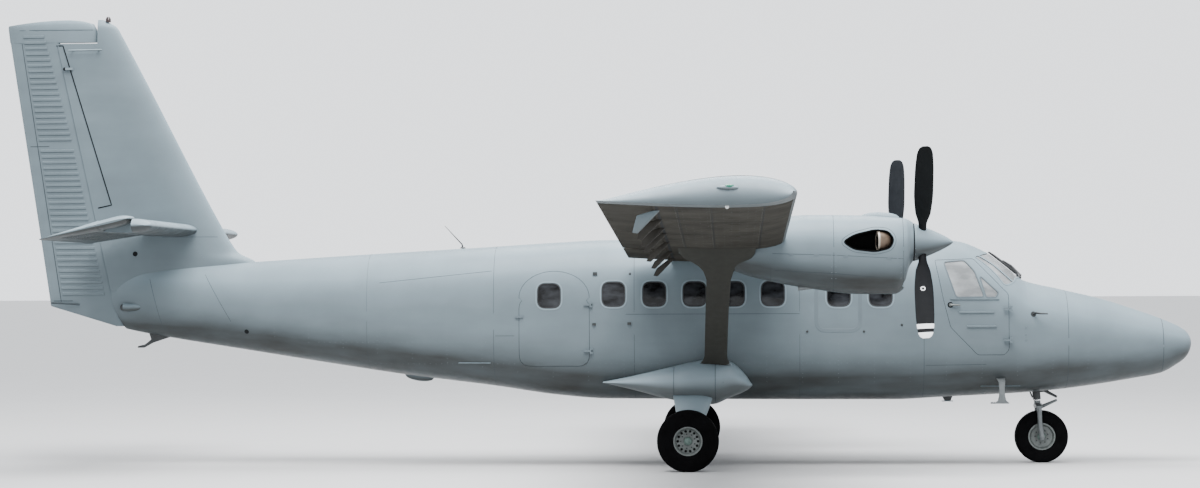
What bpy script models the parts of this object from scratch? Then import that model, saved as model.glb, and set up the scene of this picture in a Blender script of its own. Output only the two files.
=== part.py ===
"""High-wing twin turboprop airliner, parked on its gear.

Metres. The nose points along +X, the left wing along +Y, and +Z is up. The origin is on the ground,
under the middle of the aeroplane.
"""

import math

import bmesh
import bpy
from mathutils import Matrix, Quaternion, Vector

# Fits and clearances
FIT_GAP = 0.0003
SURFACE_GAP = 0.008
DOOR_GAP = 0.005

# Fuselage
RING_POINTS = 24
PANEL_PLACES = {"left": (-4, 4), "roof": (4, 8), "right": (8, 16), "belly": (16, 20)}
WALL = 0.040
NOSE_X = 7.849
RADOME_X = 7.445
SCREEN_BASE_X = 5.653
COCKPIT_REAR_X = 4.300
CABIN_REAR_X = -1.270
TAIL_JOINT_X = -4.600
TAIL_END_X = -6.500
FLOOR_TOP = 1.230
FLOOR_THICK = 0.030
FLOOR_JOINT_X = 4.200
FLOOR_FRONT_X = 5.350

HULL_STATIONS = (
    # x, half width, top, bottom, height of the widest place, squareness
    (7.849, 0.020, 1.585, 1.545, 1.565, 2.0),
    (7.835, 0.075, 1.640, 1.482, 1.560, 2.0),
    (7.777, 0.170, 1.723, 1.376, 1.550, 2.0),
    (7.640, 0.258, 1.807, 1.272, 1.540, 2.1),
    (7.445, 0.335, 1.889, 1.172, 1.530, 2.2),
    (7.056, 0.440, 2.027, 1.098, 1.540, 2.3),
    (6.671, 0.535, 2.149, 1.035, 1.560, 2.4),
    (6.079, 0.670, 2.290, 0.958, 1.600, 2.6),
    (5.653, 0.760, 2.394, 0.922, 1.640, 2.8),
    (5.450, 0.800, 2.549, 0.910, 1.680, 2.9),
    (5.192, 0.835, 2.745, 0.898, 1.740, 3.0),
    (5.001, 0.852, 2.844, 0.888, 1.780, 3.1),
    (4.821, 0.864, 2.906, 0.880, 1.810, 3.2),
    (4.450, 0.875, 2.945, 0.862, 1.850, 3.4),
    (3.990, 0.875, 2.950, 0.838, 1.850, 3.4),
    (0.200, 0.875, 2.950, 0.858, 1.850, 3.4),
    (-0.470, 0.872, 2.921, 0.910, 1.860, 3.3),
    (-1.270, 0.845, 2.873, 1.026, 1.880, 3.1),
    (-2.540, 0.725, 2.803, 1.187, 1.930, 2.8),
    (-3.230, 0.635, 2.764, 1.291, 1.970, 2.6),
    (-4.600, 0.435, 2.680, 1.510, 2.060, 2.3),
    (-5.970, 0.205, 2.596, 1.738, 2.150, 2.1),
    (-6.260, 0.135, 2.572, 1.801, 2.170, 2.0),
    (-6.500, 0.092, 2.556, 1.868, 2.200, 2.0),
)

# Doors and cockpit glass, as side or front outlines
CABIN_DOOR = {"rear": -0.940, "front": -0.020, "bottom": 1.300, "top": 2.540, "corner": 0.120}
CABIN_DOOR_HINGES = (1.500, 2.100)
COCKPIT_DOOR = (
    (4.446, 2.661), (4.553, 2.133), (4.640, 1.790), (4.990, 1.430),
    (5.340, 1.430), (5.400, 1.500), (5.400, 2.215), (4.950, 2.680),
)
COCKPIT_DOOR_HINGES = (1.620, 2.030)
SIDE_WINDOW = ((4.570, 2.630), (4.829, 2.650), (4.951, 2.517), (5.072, 2.188), (4.722, 2.183))
QUARTER_WINDOW = ((5.035, 2.439), (5.261, 2.233), (5.228, 2.181), (5.111, 2.182))
SCREEN_FRONT = (
    (0.030, 2.445), (0.030, 2.765), (0.480, 2.735), (0.625, 2.705), (0.712, 2.330), (0.480, 2.425),
)
SCREEN_X = (4.800, 5.900)
PILLAR = 0.016
SEAT_Y = (0.200, 0.620)
SEAT_OUTLINE = (
    (4.42, 1.2303), (4.78, 1.2303), (4.78, 1.46), (4.92, 1.48), (4.94, 1.62),
    (4.50, 1.60), (4.42, 2.22), (4.34, 2.40), (4.26, 2.38), (4.32, 2.20), (4.40, 1.50),
)
PANEL_OUTLINE = ((5.40, 1.72), (5.46, 1.72), (5.52, 2.20), (5.30, 2.26), (5.30, 2.22), (5.42, 2.17))
PANEL_Y = 0.600
COLUMN_X = 5.060

# Wing
WING_LE_X = 2.478
WING_CHORD = 1.985
WING_ROOT_Z = 2.700
DIHEDRAL = math.radians(3.0)
WING_RISE = math.tan(DIHEDRAL)
INCIDENCE = math.radians(2.5)
WING_THICK = 0.160
WING_CAMBER = 0.025
WING_START_Y = 0.200
WING_CUT = 0.700
BAY_START_Y = 0.600
BAY_END_Y = 9.600
FLAP_Y = (0.940, 5.740)
FLAP_NOTCH_Y = (2.760, 2.900)
AILERON_Y = (5.790, 9.565)
TRAILING_THICK = 0.008

# Nacelle, engine and propeller
NACELLE_Y = 2.820
NACELLE_WALL = 0.018
PROP_X = 4.150
PROP_Z = 2.860
SPINNER_BASE_X = 4.045
SPINNER_TIP_X = 4.532
SPINNER_RADIUS = 0.230
SPINNER_WALL = 0.012
SPINNER_STEPS = 16
SPINNER_SHAPE = (
    # share of the length from the base, share of the radius
    (1.00, 0.000), (0.95, 0.109), (0.86, 0.236), (0.74, 0.376), (0.58, 0.538),
    (0.40, 0.703), (0.22, 0.856), (0.04, 1.000), (0.00, 1.000),
)
BLADE_SECTIONS = (
    # radius, chord, thickness, twist in degrees
    (0.090, 0.096, 0.096, 0.0),
    (0.250, 0.100, 0.090, 0.0),
    (0.420, 0.190, 0.045, 10.0),
    (0.700, 0.232, 0.028, 4.0),
    (1.000, 0.226, 0.020, -2.0),
    (1.220, 0.196, 0.014, -5.0),
    (1.305, 0.140, 0.012, -6.0),
    (1.330, 0.070, 0.010, -6.0),
)
BLADE_ANGLES = {"right": (121.0, 241.0, 1.0), "left": (112.0, 232.0, 352.0)}
BLADE_POINTS = 8
SHAFT_RADIUS = 0.055
SHAFT_HOLE_RADIUS = 0.075
SHANK_HOLE = {"start": 0.130, "end": 0.320, "radius": 0.062}
BACK_PLATE_THICK = 0.008
HUB_RADIUS = 0.120
ENGINE_X = (2.560, 3.955)
ENGINE_RADIUS = 0.235
NACELLE_FRONT_X = 4.036
NACELLE_REAR_X = 1.177
INTAKE = {"x": (3.600, 4.200), "z": (2.300, 2.500), "half_width": 0.220}
STUB = {"x": (3.620, 3.640), "z": 2.875, "reach": 0.400, "radius": 0.105}
NACELLE_STATIONS = (
    (4.036, 0.245, 3.105, 2.615, 2.860, 2.0),
    (3.985, 0.300, 3.135, 2.480, 2.830, 2.1),
    (3.955, 0.345, 3.148, 2.350, 2.800, 2.2),
    (3.816, 0.400, 3.165, 2.228, 2.760, 2.4),
    (3.410, 0.445, 3.190, 2.228, 2.760, 2.5),
    (2.795, 0.445, 3.200, 2.296, 2.780, 2.5),
    (2.104, 0.370, 3.120, 2.435, 2.800, 2.4),
    (1.500, 0.200, 2.960, 2.650, 2.810, 2.2),
    (1.177, 0.060, 2.850, 2.740, 2.800, 2.0),
)
EXHAUST = ((3.162, 2.860), (3.300, 2.945), (3.560, 3.002), (3.720, 2.985), (3.793, 2.890),
           (3.740, 2.790), (3.560, 2.749), (3.300, 2.775))

# Tail
RUDDER_FOOT = {"x": -6.371, "z": 1.820, "radius": 0.100}
RUDDER_HEAD = {"x": -7.194, "z": 5.620, "radius": 0.046}
HORN_Z = 5.620
TAILPLANE_Z = 3.110
TAILPLANE_LE_X = -5.290
TAILPLANE_CUT_X = -5.900
TAILPLANE_HALF = 3.150
ELEVATOR_CHORD = 0.810
ELEVATOR_DROOP = math.radians(13.0)
ELEVATOR_Y = 0.220
HORN_START_Y = 2.800

# Undercarriage
WHEEL_STEPS = 24
FLAT_SHARE = math.cos(math.pi / WHEEL_STEPS)
MAIN_AXLE = Vector((1.265, 1.855, 0.385))
MAIN_TYRE_RADIUS = MAIN_AXLE.z / FLAT_SHARE
MAIN_TYRE_WIDTH = 0.280
MAIN_RIM_RADIUS = 0.172
MAIN_HUB_HALF = 0.060
NOSE_AXLE = Vector((5.885, 0.0, 0.340))
NOSE_TYRE_RADIUS = NOSE_AXLE.z / FLAT_SHARE
NOSE_TYRE_WIDTH = 0.220
NOSE_RIM_RADIUS = 0.165
NOSE_HUB_HALF = 0.050
NOSE_AXLE_END = 0.192
FORK_LEG_Y = 0.150
STRUT_RAKE = math.radians(6.0)

COLOURS = {
    # name: red, green, blue, roughness, metallic
    "airframe_paint": (0.50, 0.56, 0.60, 0.40, 0.3),
    "dark_blade": (0.03, 0.03, 0.035, 0.45, 0.3),
    "tyre_rubber": (0.02, 0.02, 0.02, 0.85, 0.0),
    "rim_paint": (0.55, 0.56, 0.55, 0.45, 0.5),
    "gear_metal": (0.55, 0.57, 0.58, 0.35, 0.8),
    "engine_metal": (0.35, 0.33, 0.31, 0.55, 0.8),
    "window_glass": (0.25, 0.28, 0.30, 0.05, 0.0),
    "seat_fabric": (0.12, 0.13, 0.14, 0.90, 0.0),
    "panel_plastic": (0.08, 0.08, 0.08, 0.60, 0.0),
    "floor_metal": (0.30, 0.31, 0.32, 0.50, 0.5),
}


def clear_scene():
    for obj in list(bpy.data.objects):
        bpy.data.objects.remove(obj, do_unlink=True)


def new_collection(name):
    collection = bpy.data.collections.new(name)
    bpy.context.scene.collection.children.link(collection)
    return collection


def make_material(node_name, look):
    red, green, blue, roughness, metallic = COLOURS[look]
    material = bpy.data.materials.new(node_name)
    material.use_nodes = True
    shader = material.node_tree.nodes["Principled BSDF"]
    shader.inputs["Base Color"].default_value = (red, green, blue, 1.0)
    shader.inputs["Roughness"].default_value = roughness
    shader.inputs["Metallic"].default_value = metallic
    material.diffuse_color = (red, green, blue, 1.0)
    return material


def finish_part(obj, look):
    """Gives an object its material and puts it with the parts."""
    obj.data.materials.clear()
    obj.data.materials.append(make_material(obj.name, look))
    PARTS.objects.link(obj)
    return obj


def finish_tool(obj):
    """Keeps a cutter or an added shape out of the finished parts."""
    obj.hide_render = True
    obj.display_type = "WIRE"
    TOOLS.objects.link(obj)
    return obj


def object_from(name, bm, look=None):
    bmesh.ops.recalc_face_normals(bm, faces=bm.faces)
    mesh = bpy.data.meshes.new(name)
    bm.to_mesh(mesh)
    bm.free()
    obj = bpy.data.objects.new(name, mesh)
    if look is None:
        return finish_tool(obj)
    mesh.shade_smooth()
    mesh.set_sharp_from_angle(angle=math.radians(35))
    return finish_part(obj, look)


def loft(name, rings, look=None):
    """Skins a closed body through rings that have the same number of points.

    Each four-cornered patch is split from its front corner that stands higher, so that neighbours that
    share a surface are split alike.
    """
    bm = bmesh.new()
    skins = [[bm.verts.new(point) for point in ring] for ring in rings]
    for here, there in zip(skins, skins[1:]):
        for index in range(len(here)):
            following = (index + 1) % len(here)
            a, b, c, d = here[index], here[following], there[following], there[index]
            first_higher = (round(a.co.z, 5), abs(a.co.y)) > (round(b.co.z, 5), abs(b.co.y))
            split = ((a, b, c), (a, c, d)) if first_higher else ((a, b, d), (b, c, d))
            for corners in split:
                bm.faces.new(corners)
    bm.faces.new(skins[0])
    bm.faces.new(skins[-1])
    return object_from(name, bm, look)


def box(name, low, high, look=None, turn=None):
    """A box between two corners, or between two corners in a turned frame."""
    low, high = Vector(low), Vector(high)
    bm = bmesh.new()
    place = Matrix.Translation((low + high) / 2) @ Matrix.Diagonal((*(high - low), 1.0))
    bmesh.ops.create_cube(bm, size=1.0, matrix=(turn or Matrix.Identity(4)) @ place)
    return object_from(name, bm, look)


def rod(name, start, end, radius, look=None, sides=16, end_radius=None):
    """A round bar from one point to another."""
    start, end = Vector(start), Vector(end)
    way = end - start
    turn = way.to_track_quat("Z", "Y").to_matrix().to_4x4()
    bm = bmesh.new()
    bmesh.ops.create_cone(
        bm, cap_ends=True, segments=sides, radius1=radius, radius2=end_radius or radius,
        depth=way.length, matrix=Matrix.Translation((start + end) / 2) @ turn)
    return object_from(name, bm, look)


def prism(name, outline, along, start, end, look=None):
    """Extrudes an outline along Y (outline in X and Z) or along X (outline in Y and Z)."""
    if along == "Y":
        rings = [[Vector((a, way, b)) for a, b in outline] for way in (start, end)]
    else:
        rings = [[Vector((way, a, b)) for a, b in outline] for way in (start, end)]
    return loft(name, rings, look)


def turned(name, profile, look, steps, location, axis, phase=0.0):
    """Turns a profile of radius and height about a local Z that points along axis."""
    mesh = bpy.data.meshes.new(name)
    closed = profile[0][0] > 0.0
    edges = [(index, index + 1) for index in range(len(profile) - 1)]
    if closed:
        edges.append((len(profile) - 1, 0))
    mesh.from_pydata([(radius, 0.0, height) for radius, height in profile], edges, [])
    obj = bpy.data.objects.new(name, mesh)
    obj.location = location
    obj.rotation_mode = "QUATERNION"
    obj.rotation_quaternion = Vector(axis).to_track_quat("Z", "Y") @ Quaternion((0, 0, 1), phase)
    screw = obj.modifiers.new("Screw", "SCREW")
    screw.steps = steps
    screw.render_steps = steps
    screw.use_merge_vertices = True
    screw.merge_threshold = 0.0001
    if look is None:
        return finish_tool(obj)
    return finish_part(obj, look)


def combine(obj, tool, operation):
    modifier = obj.modifiers.new(tool.name, "BOOLEAN")
    modifier.operation = operation
    modifier.solver = "EXACT"
    modifier.object = tool


def cut(obj, *tools):
    for tool in tools:
        combine(obj, tool, "DIFFERENCE")


def join(obj, *tools):
    for tool in tools:
        combine(obj, tool, "UNION")


def keep(obj, tool):
    combine(obj, tool, "INTERSECT")


def mirrored(points, side):
    return [Vector((point.x, point.y * side, point.z)) for point in points]


def station(table, x):
    """Reads a table of stations at any x by straight lines."""
    for front, back in zip(table, table[1:]):
        if front[0] >= x >= back[0]:
            share = (front[0] - x) / (front[0] - back[0])
            return [a + (b - a) * share for a, b in zip(front, back)]
    return list(table[0] if x > table[0][0] else table[-1])


def oval_ring(row, grow=0.0, middle_y=0.0, count=RING_POINTS):
    """A rounded, slightly square ring across X, from one station row."""
    x, half_width, top, bottom, waist, power = row
    ring = []
    for index in range(count):
        angle = 2.0 * math.pi * index / count
        across = math.copysign(abs(math.cos(angle)) ** (2.0 / power), math.cos(angle))
        height = math.copysign(abs(math.sin(angle)) ** (2.0 / power), math.sin(angle))
        reach = (top - waist) if height > 0 else (waist - bottom)
        ring.append(Vector((x, middle_y + across * (half_width + grow), waist + height * (reach + grow))))
    return ring


def stations_between(table, front_x, back_x):
    """The x values of a table inside a stretch, with the stretch's own ends."""
    inner = [row[0] for row in table if back_x < row[0] < front_x]
    return [front_x, *inner, back_x]


def hull_side(x, z):
    """The hull's half width at a place along it and a height."""
    _, half_width, top, bottom, waist, power = station(HULL_STATIONS, x)
    reach = (top - waist) if z > waist else (waist - bottom)
    return half_width * (1 - (abs(z - waist) / reach) ** power) ** (1 / power)


def ring_at(table, x, grow=0.0, middle_y=0.0, count=RING_POINTS):
    """The ring at any x, on the straight lines between the rings of the table's stations."""
    for front, back in zip(table, table[1:]):
        if front[0] >= x >= back[0]:
            share = (front[0] - x) / (front[0] - back[0])
            pair = (oval_ring(front, grow, middle_y, count), oval_ring(back, grow, middle_y, count))
            return [a.lerp(b, share) for a, b in zip(*pair)]
    row = list(table[0] if x > table[0][0] else table[-1])
    row[0] = x
    return oval_ring(row, grow, middle_y, count)


def hull_rings(front_x, back_x, grow=0.0):
    return [ring_at(HULL_STATIONS, x, grow) for x in stations_between(HULL_STATIONS, front_x, back_x)]


def hull_panel(name, front_x, back_x, first, last, look):
    """One wall-thick panel of the hull between two places round its ring."""

    def along(ring, place):
        low = math.floor(place)
        share = place - low
        return ring[low % RING_POINTS].lerp(ring[(low + 1) % RING_POINTS], share)

    edge = 0.002
    places = [first + edge, *range(first + 1, last), last - edge]
    rings = []
    for x in stations_between(HULL_STATIONS, front_x - FIT_GAP / 2, back_x + FIT_GAP / 2):
        outer = ring_at(HULL_STATIONS, x)
        inner = ring_at(HULL_STATIONS, x, -WALL)
        wall = [along(outer, place) for place in places]
        rings.append(wall + [along(inner, place) for place in reversed(places)])
    return loft(name, rings, look)


def rounded_top(rear, front, bottom, top, corner, shrink=0.0):
    """A door outline in X and Z with an arched top and small lower corners."""
    rear, front, bottom, top = rear + shrink, front - shrink, bottom + shrink, top - shrink
    middle, radius = (rear + front) / 2, (front - rear) / 2
    spring = top - radius * 0.75
    points = [(rear, bottom + corner), (rear + corner * 0.3, bottom + corner * 0.3), (rear + corner, bottom)]
    points += [(front - corner, bottom), (front - corner * 0.3, bottom + corner * 0.3)]
    points += [(front, bottom + corner)]
    for index in range(9):
        angle = math.pi * index / 8
        points.append((middle + radius * math.cos(angle), spring + radius * 0.75 * math.sin(angle)))
    return points


def shrunk(outline, amount):
    """Moves each side of a flat outline inward by amount."""
    count = len(outline)
    area = sum(outline[i][0] * outline[(i + 1) % count][1] - outline[(i + 1) % count][0] * outline[i][1]
               for i in range(count))
    sign = 1.0 if area > 0 else -1.0
    result = []
    for index in range(count):
        before, here, after = (Vector(outline[(index + step) % count]) for step in (-1, 0, 1))
        first, second = (here - before).normalized(), (after - here).normalized()
        normal_a = Vector((-first.y, first.x)) * sign
        normal_b = Vector((-second.y, second.x)) * sign
        bisector = (normal_a + normal_b).normalized()
        result.append(tuple(here + bisector * amount / max(0.3, bisector.dot(normal_a))))
    return result


def foil_ring(chord, thick, camber, count=9):
    """An aerofoil as distances aft of the leading edge and heights over the chord line."""
    def half(share):
        return 5.0 * thick * (0.2969 * math.sqrt(share) - 0.126 * share - 0.3516 * share ** 2
                              + 0.2843 * share ** 3 - 0.1036 * share ** 4)

    def bend(share):
        peak = 0.4
        if share < peak:
            return camber * (2 * peak * share - share ** 2) / peak ** 2
        return camber * (1 - 2 * peak + 2 * peak * share - share ** 2) / (1 - peak) ** 2

    shares = [0.5 * (1 - math.cos(math.pi * index / count)) for index in range(count + 1)]
    edge = TRAILING_THICK / 2 / chord
    heights = [(bend(share) + half(share) + edge * share) * chord for share in shares]
    upper = [(share * chord, height) for share, height in zip(reversed(shares), reversed(heights))]
    lower = [(share * chord, (bend(share) - half(share) - edge * share) * chord) for share in shares[1:]]
    return upper + lower


def symmetric_ring(length, half_max, half_rear, count=7):
    """A foil that is thickest at a third of its length and may end thick, as distance aft and half width."""
    peak = 0.35
    points = []
    for index in range(count + 1):
        share = 0.5 * (1 - math.cos(math.pi * index / count))
        if share < peak:
            half = half_max * math.sqrt(max(0.0, 1 - ((peak - share) / peak) ** 2))
        else:
            half = half_max + (half_rear - half_max) * ((share - peak) / (1 - peak)) ** 1.5
        points.append((share * length, half))
    left = points[1:]
    return [(0.0, 0.0), *left, *[(s, -h) for s, h in reversed(left)]]


def wing_point(y, aft, height):
    rise = (WING_CHORD / 2 - aft) * math.sin(INCIDENCE)
    return Vector((WING_LE_X - aft, y, WING_ROOT_Z + WING_RISE * abs(y) + rise + height))


def wing_half(aft):
    """Half the wing's thickness at a distance aft of its leading edge."""
    ring = foil_ring(WING_CHORD, WING_THICK, 0.0, 24)
    upper = sorted(point for point in ring if point[1] >= 0)
    for front, back in zip(upper, upper[1:]):
        if front[0] <= aft <= back[0]:
            share = (aft - front[0]) / (back[0] - front[0])
            return front[1] + (back[1] - front[1]) * share
    return upper[-1][1]


def camber_height(aft):
    share, peak = aft / WING_CHORD, 0.4
    return WING_CHORD * WING_CAMBER * (1 - 2 * peak + 2 * peak * share - share ** 2) / (1 - peak) ** 2


WING_TIP_SECTIONS = (
    # y, share of the thickness
    (9.600, 1.000),
    (9.730, 0.930),
    (9.840, 0.700),
    (9.905, 0.300),
)


def wing_rings(side, grow=0.0):
    base = foil_ring(WING_CHORD, WING_THICK, WING_CAMBER, 11)
    middle = [sum(values) / len(base) for values in zip(*base)]
    rings = []
    for y, share in ((WING_START_Y, 1.0), *WING_TIP_SECTIONS):
        ring = []
        for aft, height in base:
            out = Vector((aft - middle[0], height - middle[1])).normalized() * grow
            bend = camber_height(max(aft, 0.4 * WING_CHORD))
            squeezed = bend + (height - bend) * share
            ring.append(wing_point(y, aft + out.x, squeezed + out.y))
        rings.append(mirrored(ring, side))
    return rings


SURFACE_CUT_AFT = WING_CHORD * WING_CUT
SURFACE_RADIUS = wing_half(SURFACE_CUT_AFT + 0.09)
SURFACE_AXIS_AFT = SURFACE_CUT_AFT + SURFACE_GAP + SURFACE_RADIUS


def surface_axis_point(y):
    """A point on the flap and aileron hinge line."""
    return wing_point(y, SURFACE_AXIS_AFT, camber_height(SURFACE_AXIS_AFT))


def nose_ring(centre, radius, tail, tail_half, forward, up, arc=8):
    """A section with a half-round nose about centre that tapers to a thin trailing edge."""
    ring = []
    for index in range(arc + 1):
        angle = math.pi / 2 - math.pi * index / arc
        ring.append(centre + forward * radius * math.cos(angle) + up * radius * math.sin(angle))
    return ring + [tail - up * tail_half, tail + up * tail_half]


def hinge_frame(centre, axis, forward):
    """A frame with Z on the axis and X towards the fixed piece."""
    axis = axis.normalized()
    forward = (forward - axis * forward.dot(axis)).normalized()
    across = axis.cross(forward)
    frame = Matrix((forward, across, axis)).transposed().to_4x4()
    return Matrix.Translation(centre) @ frame


PIN = {"radius": 0.008, "slot": 0.016, "plate": 0.007, "half_height": 0.014, "behind": 0.030}


def pin_hinge(name, fixed, moving, centre, axis, forward, nose, reach):
    """A pin across a slot in the moving piece, held by a plate on the fixed one."""
    frame = hinge_frame(centre, axis, forward)
    low, high = (-PIN["behind"], -0.25, -PIN["slot"]), (nose + 0.05, 0.25, PIN["slot"])
    slot = box(name + "_slot", low, high, turn=frame)
    start, end = frame @ Vector((0, 0, -PIN["slot"] - 0.006)), frame @ Vector((0, 0, PIN["slot"] + 0.006))
    pin = rod(name + "_pin", start, end, PIN["radius"], sides=8)
    plate = box(name + "_plate", (-PIN["half_height"], -PIN["half_height"], -PIN["plate"]),
                (reach, PIN["half_height"], PIN["plate"]), turn=frame)
    bore = rod(name + "_bore", start, end, (PIN["radius"] + FIT_GAP) / math.cos(math.pi / 8), sides=8)
    cut(plate, bore)
    cut(moving, slot)
    join(moving, pin)
    join(fixed, plate)


BARREL = {"radius": 0.014, "knuckle": 0.022, "arm": 0.050, "arm_half": 0.008, "stand_off": 0.018,
          "foot_start": 0.024, "foot_depth": 0.055, "ahead": 0.012}


def door_hinge(name, fixed, moving, centre, side):
    """Three knuckles on one upright axis: the middle one on the door, the others on the frame."""
    radius, knuckle = BARREL["radius"], BARREL["knuckle"]
    for label, owner, low, high, forward in (
        ("door", moving, -knuckle / 2, knuckle / 2, -1),
        ("upper", fixed, knuckle / 2 + FIT_GAP, knuckle * 1.5, 1),
        ("lower", fixed, -knuckle * 1.5, -knuckle / 2 - FIT_GAP, 1),
    ):
        bottom, top = centre + Vector((0, 0, low)), centre + Vector((0, 0, high))
        barrel = rod(f"{name}_{label}_barrel", bottom, top, radius, sides=8)
        far = centre.x + forward * BARREL["arm"]
        near = centre.x + forward * BARREL["foot_start"]
        out = centre.y + side * BARREL["arm_half"]
        over_skin = centre.y - side * BARREL["arm_half"]
        in_skin = centre.y - side * BARREL["foot_depth"]
        strap = box(f"{name}_{label}_strap", (min(centre.x, far), min(out, over_skin), bottom.z),
                    (max(centre.x, far), max(out, over_skin), top.z))
        foot = box(f"{name}_{label}_foot", (min(near, far), min(out, in_skin), bottom.z),
                   (max(near, far), max(out, in_skin), top.z))
        join(barrel, strap, foot)
        join(owner, barrel)


AHEAD = Vector((1, 0, 0))
SIDEWAYS = Vector((0, 1, 0))
UPWARD = Vector((0, 0, 1))
PLATE_REACH = 0.060

clear_scene()
PARTS = new_collection("turboprop_airliner")
TOOLS = new_collection("cutters")
SIDES = (("left", 1), ("right", -1))


def build_fuselage():
    paint = "airframe_paint"
    parts = {}
    parts["radome"] = loft("radome", hull_rings(NOSE_X, RADOME_X + FIT_GAP), paint)
    nose = loft("nose_body", hull_rings(RADOME_X, SCREEN_BASE_X + FIT_GAP), paint)
    parts["nose_body"] = nose
    for label, _ in SIDES:
        parts["cabin_side_" + label] = hull_panel(
            "cabin_side_" + label, COCKPIT_REAR_X, CABIN_REAR_X, *PANEL_PLACES[label], paint)
    cockpit = hull_rings(SCREEN_BASE_X - FIT_GAP / 2, COCKPIT_REAR_X + FIT_GAP / 2)
    shell = loft("cockpit_shell", cockpit, paint)
    cut(shell, loft("cockpit_space", hull_rings(SCREEN_BASE_X + 0.1, COCKPIT_REAR_X - 0.1, -WALL)))
    parts["cockpit_shell"] = shell
    parts["cabin_roof"] = hull_panel("cabin_roof", COCKPIT_REAR_X, CABIN_REAR_X, *PANEL_PLACES["roof"], paint)
    parts["belly"] = hull_panel("belly", COCKPIT_REAR_X, CABIN_REAR_X, *PANEL_PLACES["belly"], paint)

    rear = loft("rear_fuselage", hull_rings(CABIN_REAR_X - FIT_GAP / 2, TAIL_JOINT_X + FIT_GAP / 2), paint)
    cut(rear, loft("rear_fuselage_space", hull_rings(CABIN_REAR_X + 0.1, TAIL_JOINT_X - 0.1, -WALL)))
    parts["rear_fuselage"] = rear
    cone = loft("tail_cone", hull_rings(TAIL_JOINT_X - FIT_GAP / 2, TAIL_END_X), paint)
    cut(cone, loft("tail_cone_space", hull_rings(TAIL_JOINT_X + 0.1, TAIL_END_X + 0.45, -WALL)))
    behind = [(fin_rear(1.5), 1.5), (fin_rear(3.0), 3.0), (TAIL_END_X - 0.5, 3.0), (TAIL_END_X - 0.5, 1.5)]
    cut(cone, prism("rudder_space", behind, "Y", -0.5, 0.5))
    parts["tail_cone"] = cone

    for name, (back, front) in (
        ("cabin_floor", (CABIN_REAR_X + 0.05, FLOOR_JOINT_X)),
        ("cockpit_floor", (FLOOR_JOINT_X + FIT_GAP, FLOOR_FRONT_X)),
    ):
        floor = box(name, (back, -1.0, FLOOR_TOP - FLOOR_THICK), (front, 1.0, FLOOR_TOP), "floor_metal")
        keep(floor, loft(name + "_space", hull_rings(SCREEN_BASE_X, CABIN_REAR_X - 0.1, -WALL - 2 * FIT_GAP)))
    return parts


def build_doors(parts):
    """Doors and panes are the same wall as the panels they close, so each is cut from its own copy."""
    for label, side in SIDES:
        places = PANEL_PLACES[label]
        span = (0.35 * side, 1.20 * side)
        opening = prism(f"cabin_doorway_{label}", rounded_top(**CABIN_DOOR), "Y", *span)
        cut(parts["cabin_side_" + label], opening)
        door = hull_panel(f"cabin_door_{label}", COCKPIT_REAR_X, CABIN_REAR_X, *places, "airframe_paint")
        keep(door, prism(f"cabin_door_{label}_form", rounded_top(**CABIN_DOOR, shrink=DOOR_GAP), "Y", *span))
        parts["cabin_door_" + label] = door

        shell = parts["cockpit_shell"]
        cut(shell, prism(f"cockpit_doorway_{label}", COCKPIT_DOOR, "Y", *span))
        door = hull_panel(f"cockpit_door_{label}", SCREEN_BASE_X, COCKPIT_REAR_X, *places, "airframe_paint")
        keep(door, prism(f"cockpit_door_{label}_form", shrunk(COCKPIT_DOOR, DOOR_GAP), "Y", *span))
        cut(door, prism(f"side_window_{label}", SIDE_WINDOW, "Y", *span))
        cut(door, prism(f"quarter_window_{label}", QUARTER_WINDOW, "Y", *span))
        parts["cockpit_door_" + label] = door
        pane = hull_panel(f"door_window_{label}", SCREEN_BASE_X, COCKPIT_REAR_X, *places, "window_glass")
        keep(pane, prism(f"door_window_{label}_form", shrunk(SIDE_WINDOW, FIT_GAP), "Y", *span))

        outline = [(y * side, z) for y, z in SCREEN_FRONT]
        opening = prism(f"screen_opening_{label}", outline, "X", *SCREEN_X)
        cut(opening, prism(f"pillar_{label}", shrunk(COCKPIT_DOOR, -PILLAR), "Y", *span))
        cut(shell, opening)
        screen = loft(f"windscreen_{label}", hull_rings(SCREEN_BASE_X, COCKPIT_REAR_X), "window_glass")
        space = hull_rings(SCREEN_BASE_X + 0.1, COCKPIT_REAR_X - 0.1, -WALL)
        cut(screen, loft(f"windscreen_{label}_space", space))
        keep(screen, prism(f"windscreen_{label}_form", shrunk(outline, FIT_GAP), "X", *SCREEN_X))
        cut(screen, prism(f"pillar_{label}_space", shrunk(COCKPIT_DOOR, -PILLAR - FIT_GAP), "Y", *span))
        parts["windscreen_" + label] = screen


def hinge_doors(parts):
    for kind, frame, front, heights in (
        ("cabin", "cabin_side_{}", CABIN_DOOR["front"], CABIN_DOOR_HINGES),
        ("cockpit", "cockpit_shell", COCKPIT_DOOR[5][0], COCKPIT_DOOR_HINGES),
    ):
        x = front + BARREL["ahead"]
        y = max(hull_side(x, z) for z in heights) + BARREL["stand_off"]
        for label, side in SIDES:
            for index, z in enumerate(heights):
                door_hinge(f"{kind}_hinge_{label}_{index}", parts[frame.format(label)],
                           parts[f"{kind}_door_{label}"], Vector((x, side * y, z)), side)


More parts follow.
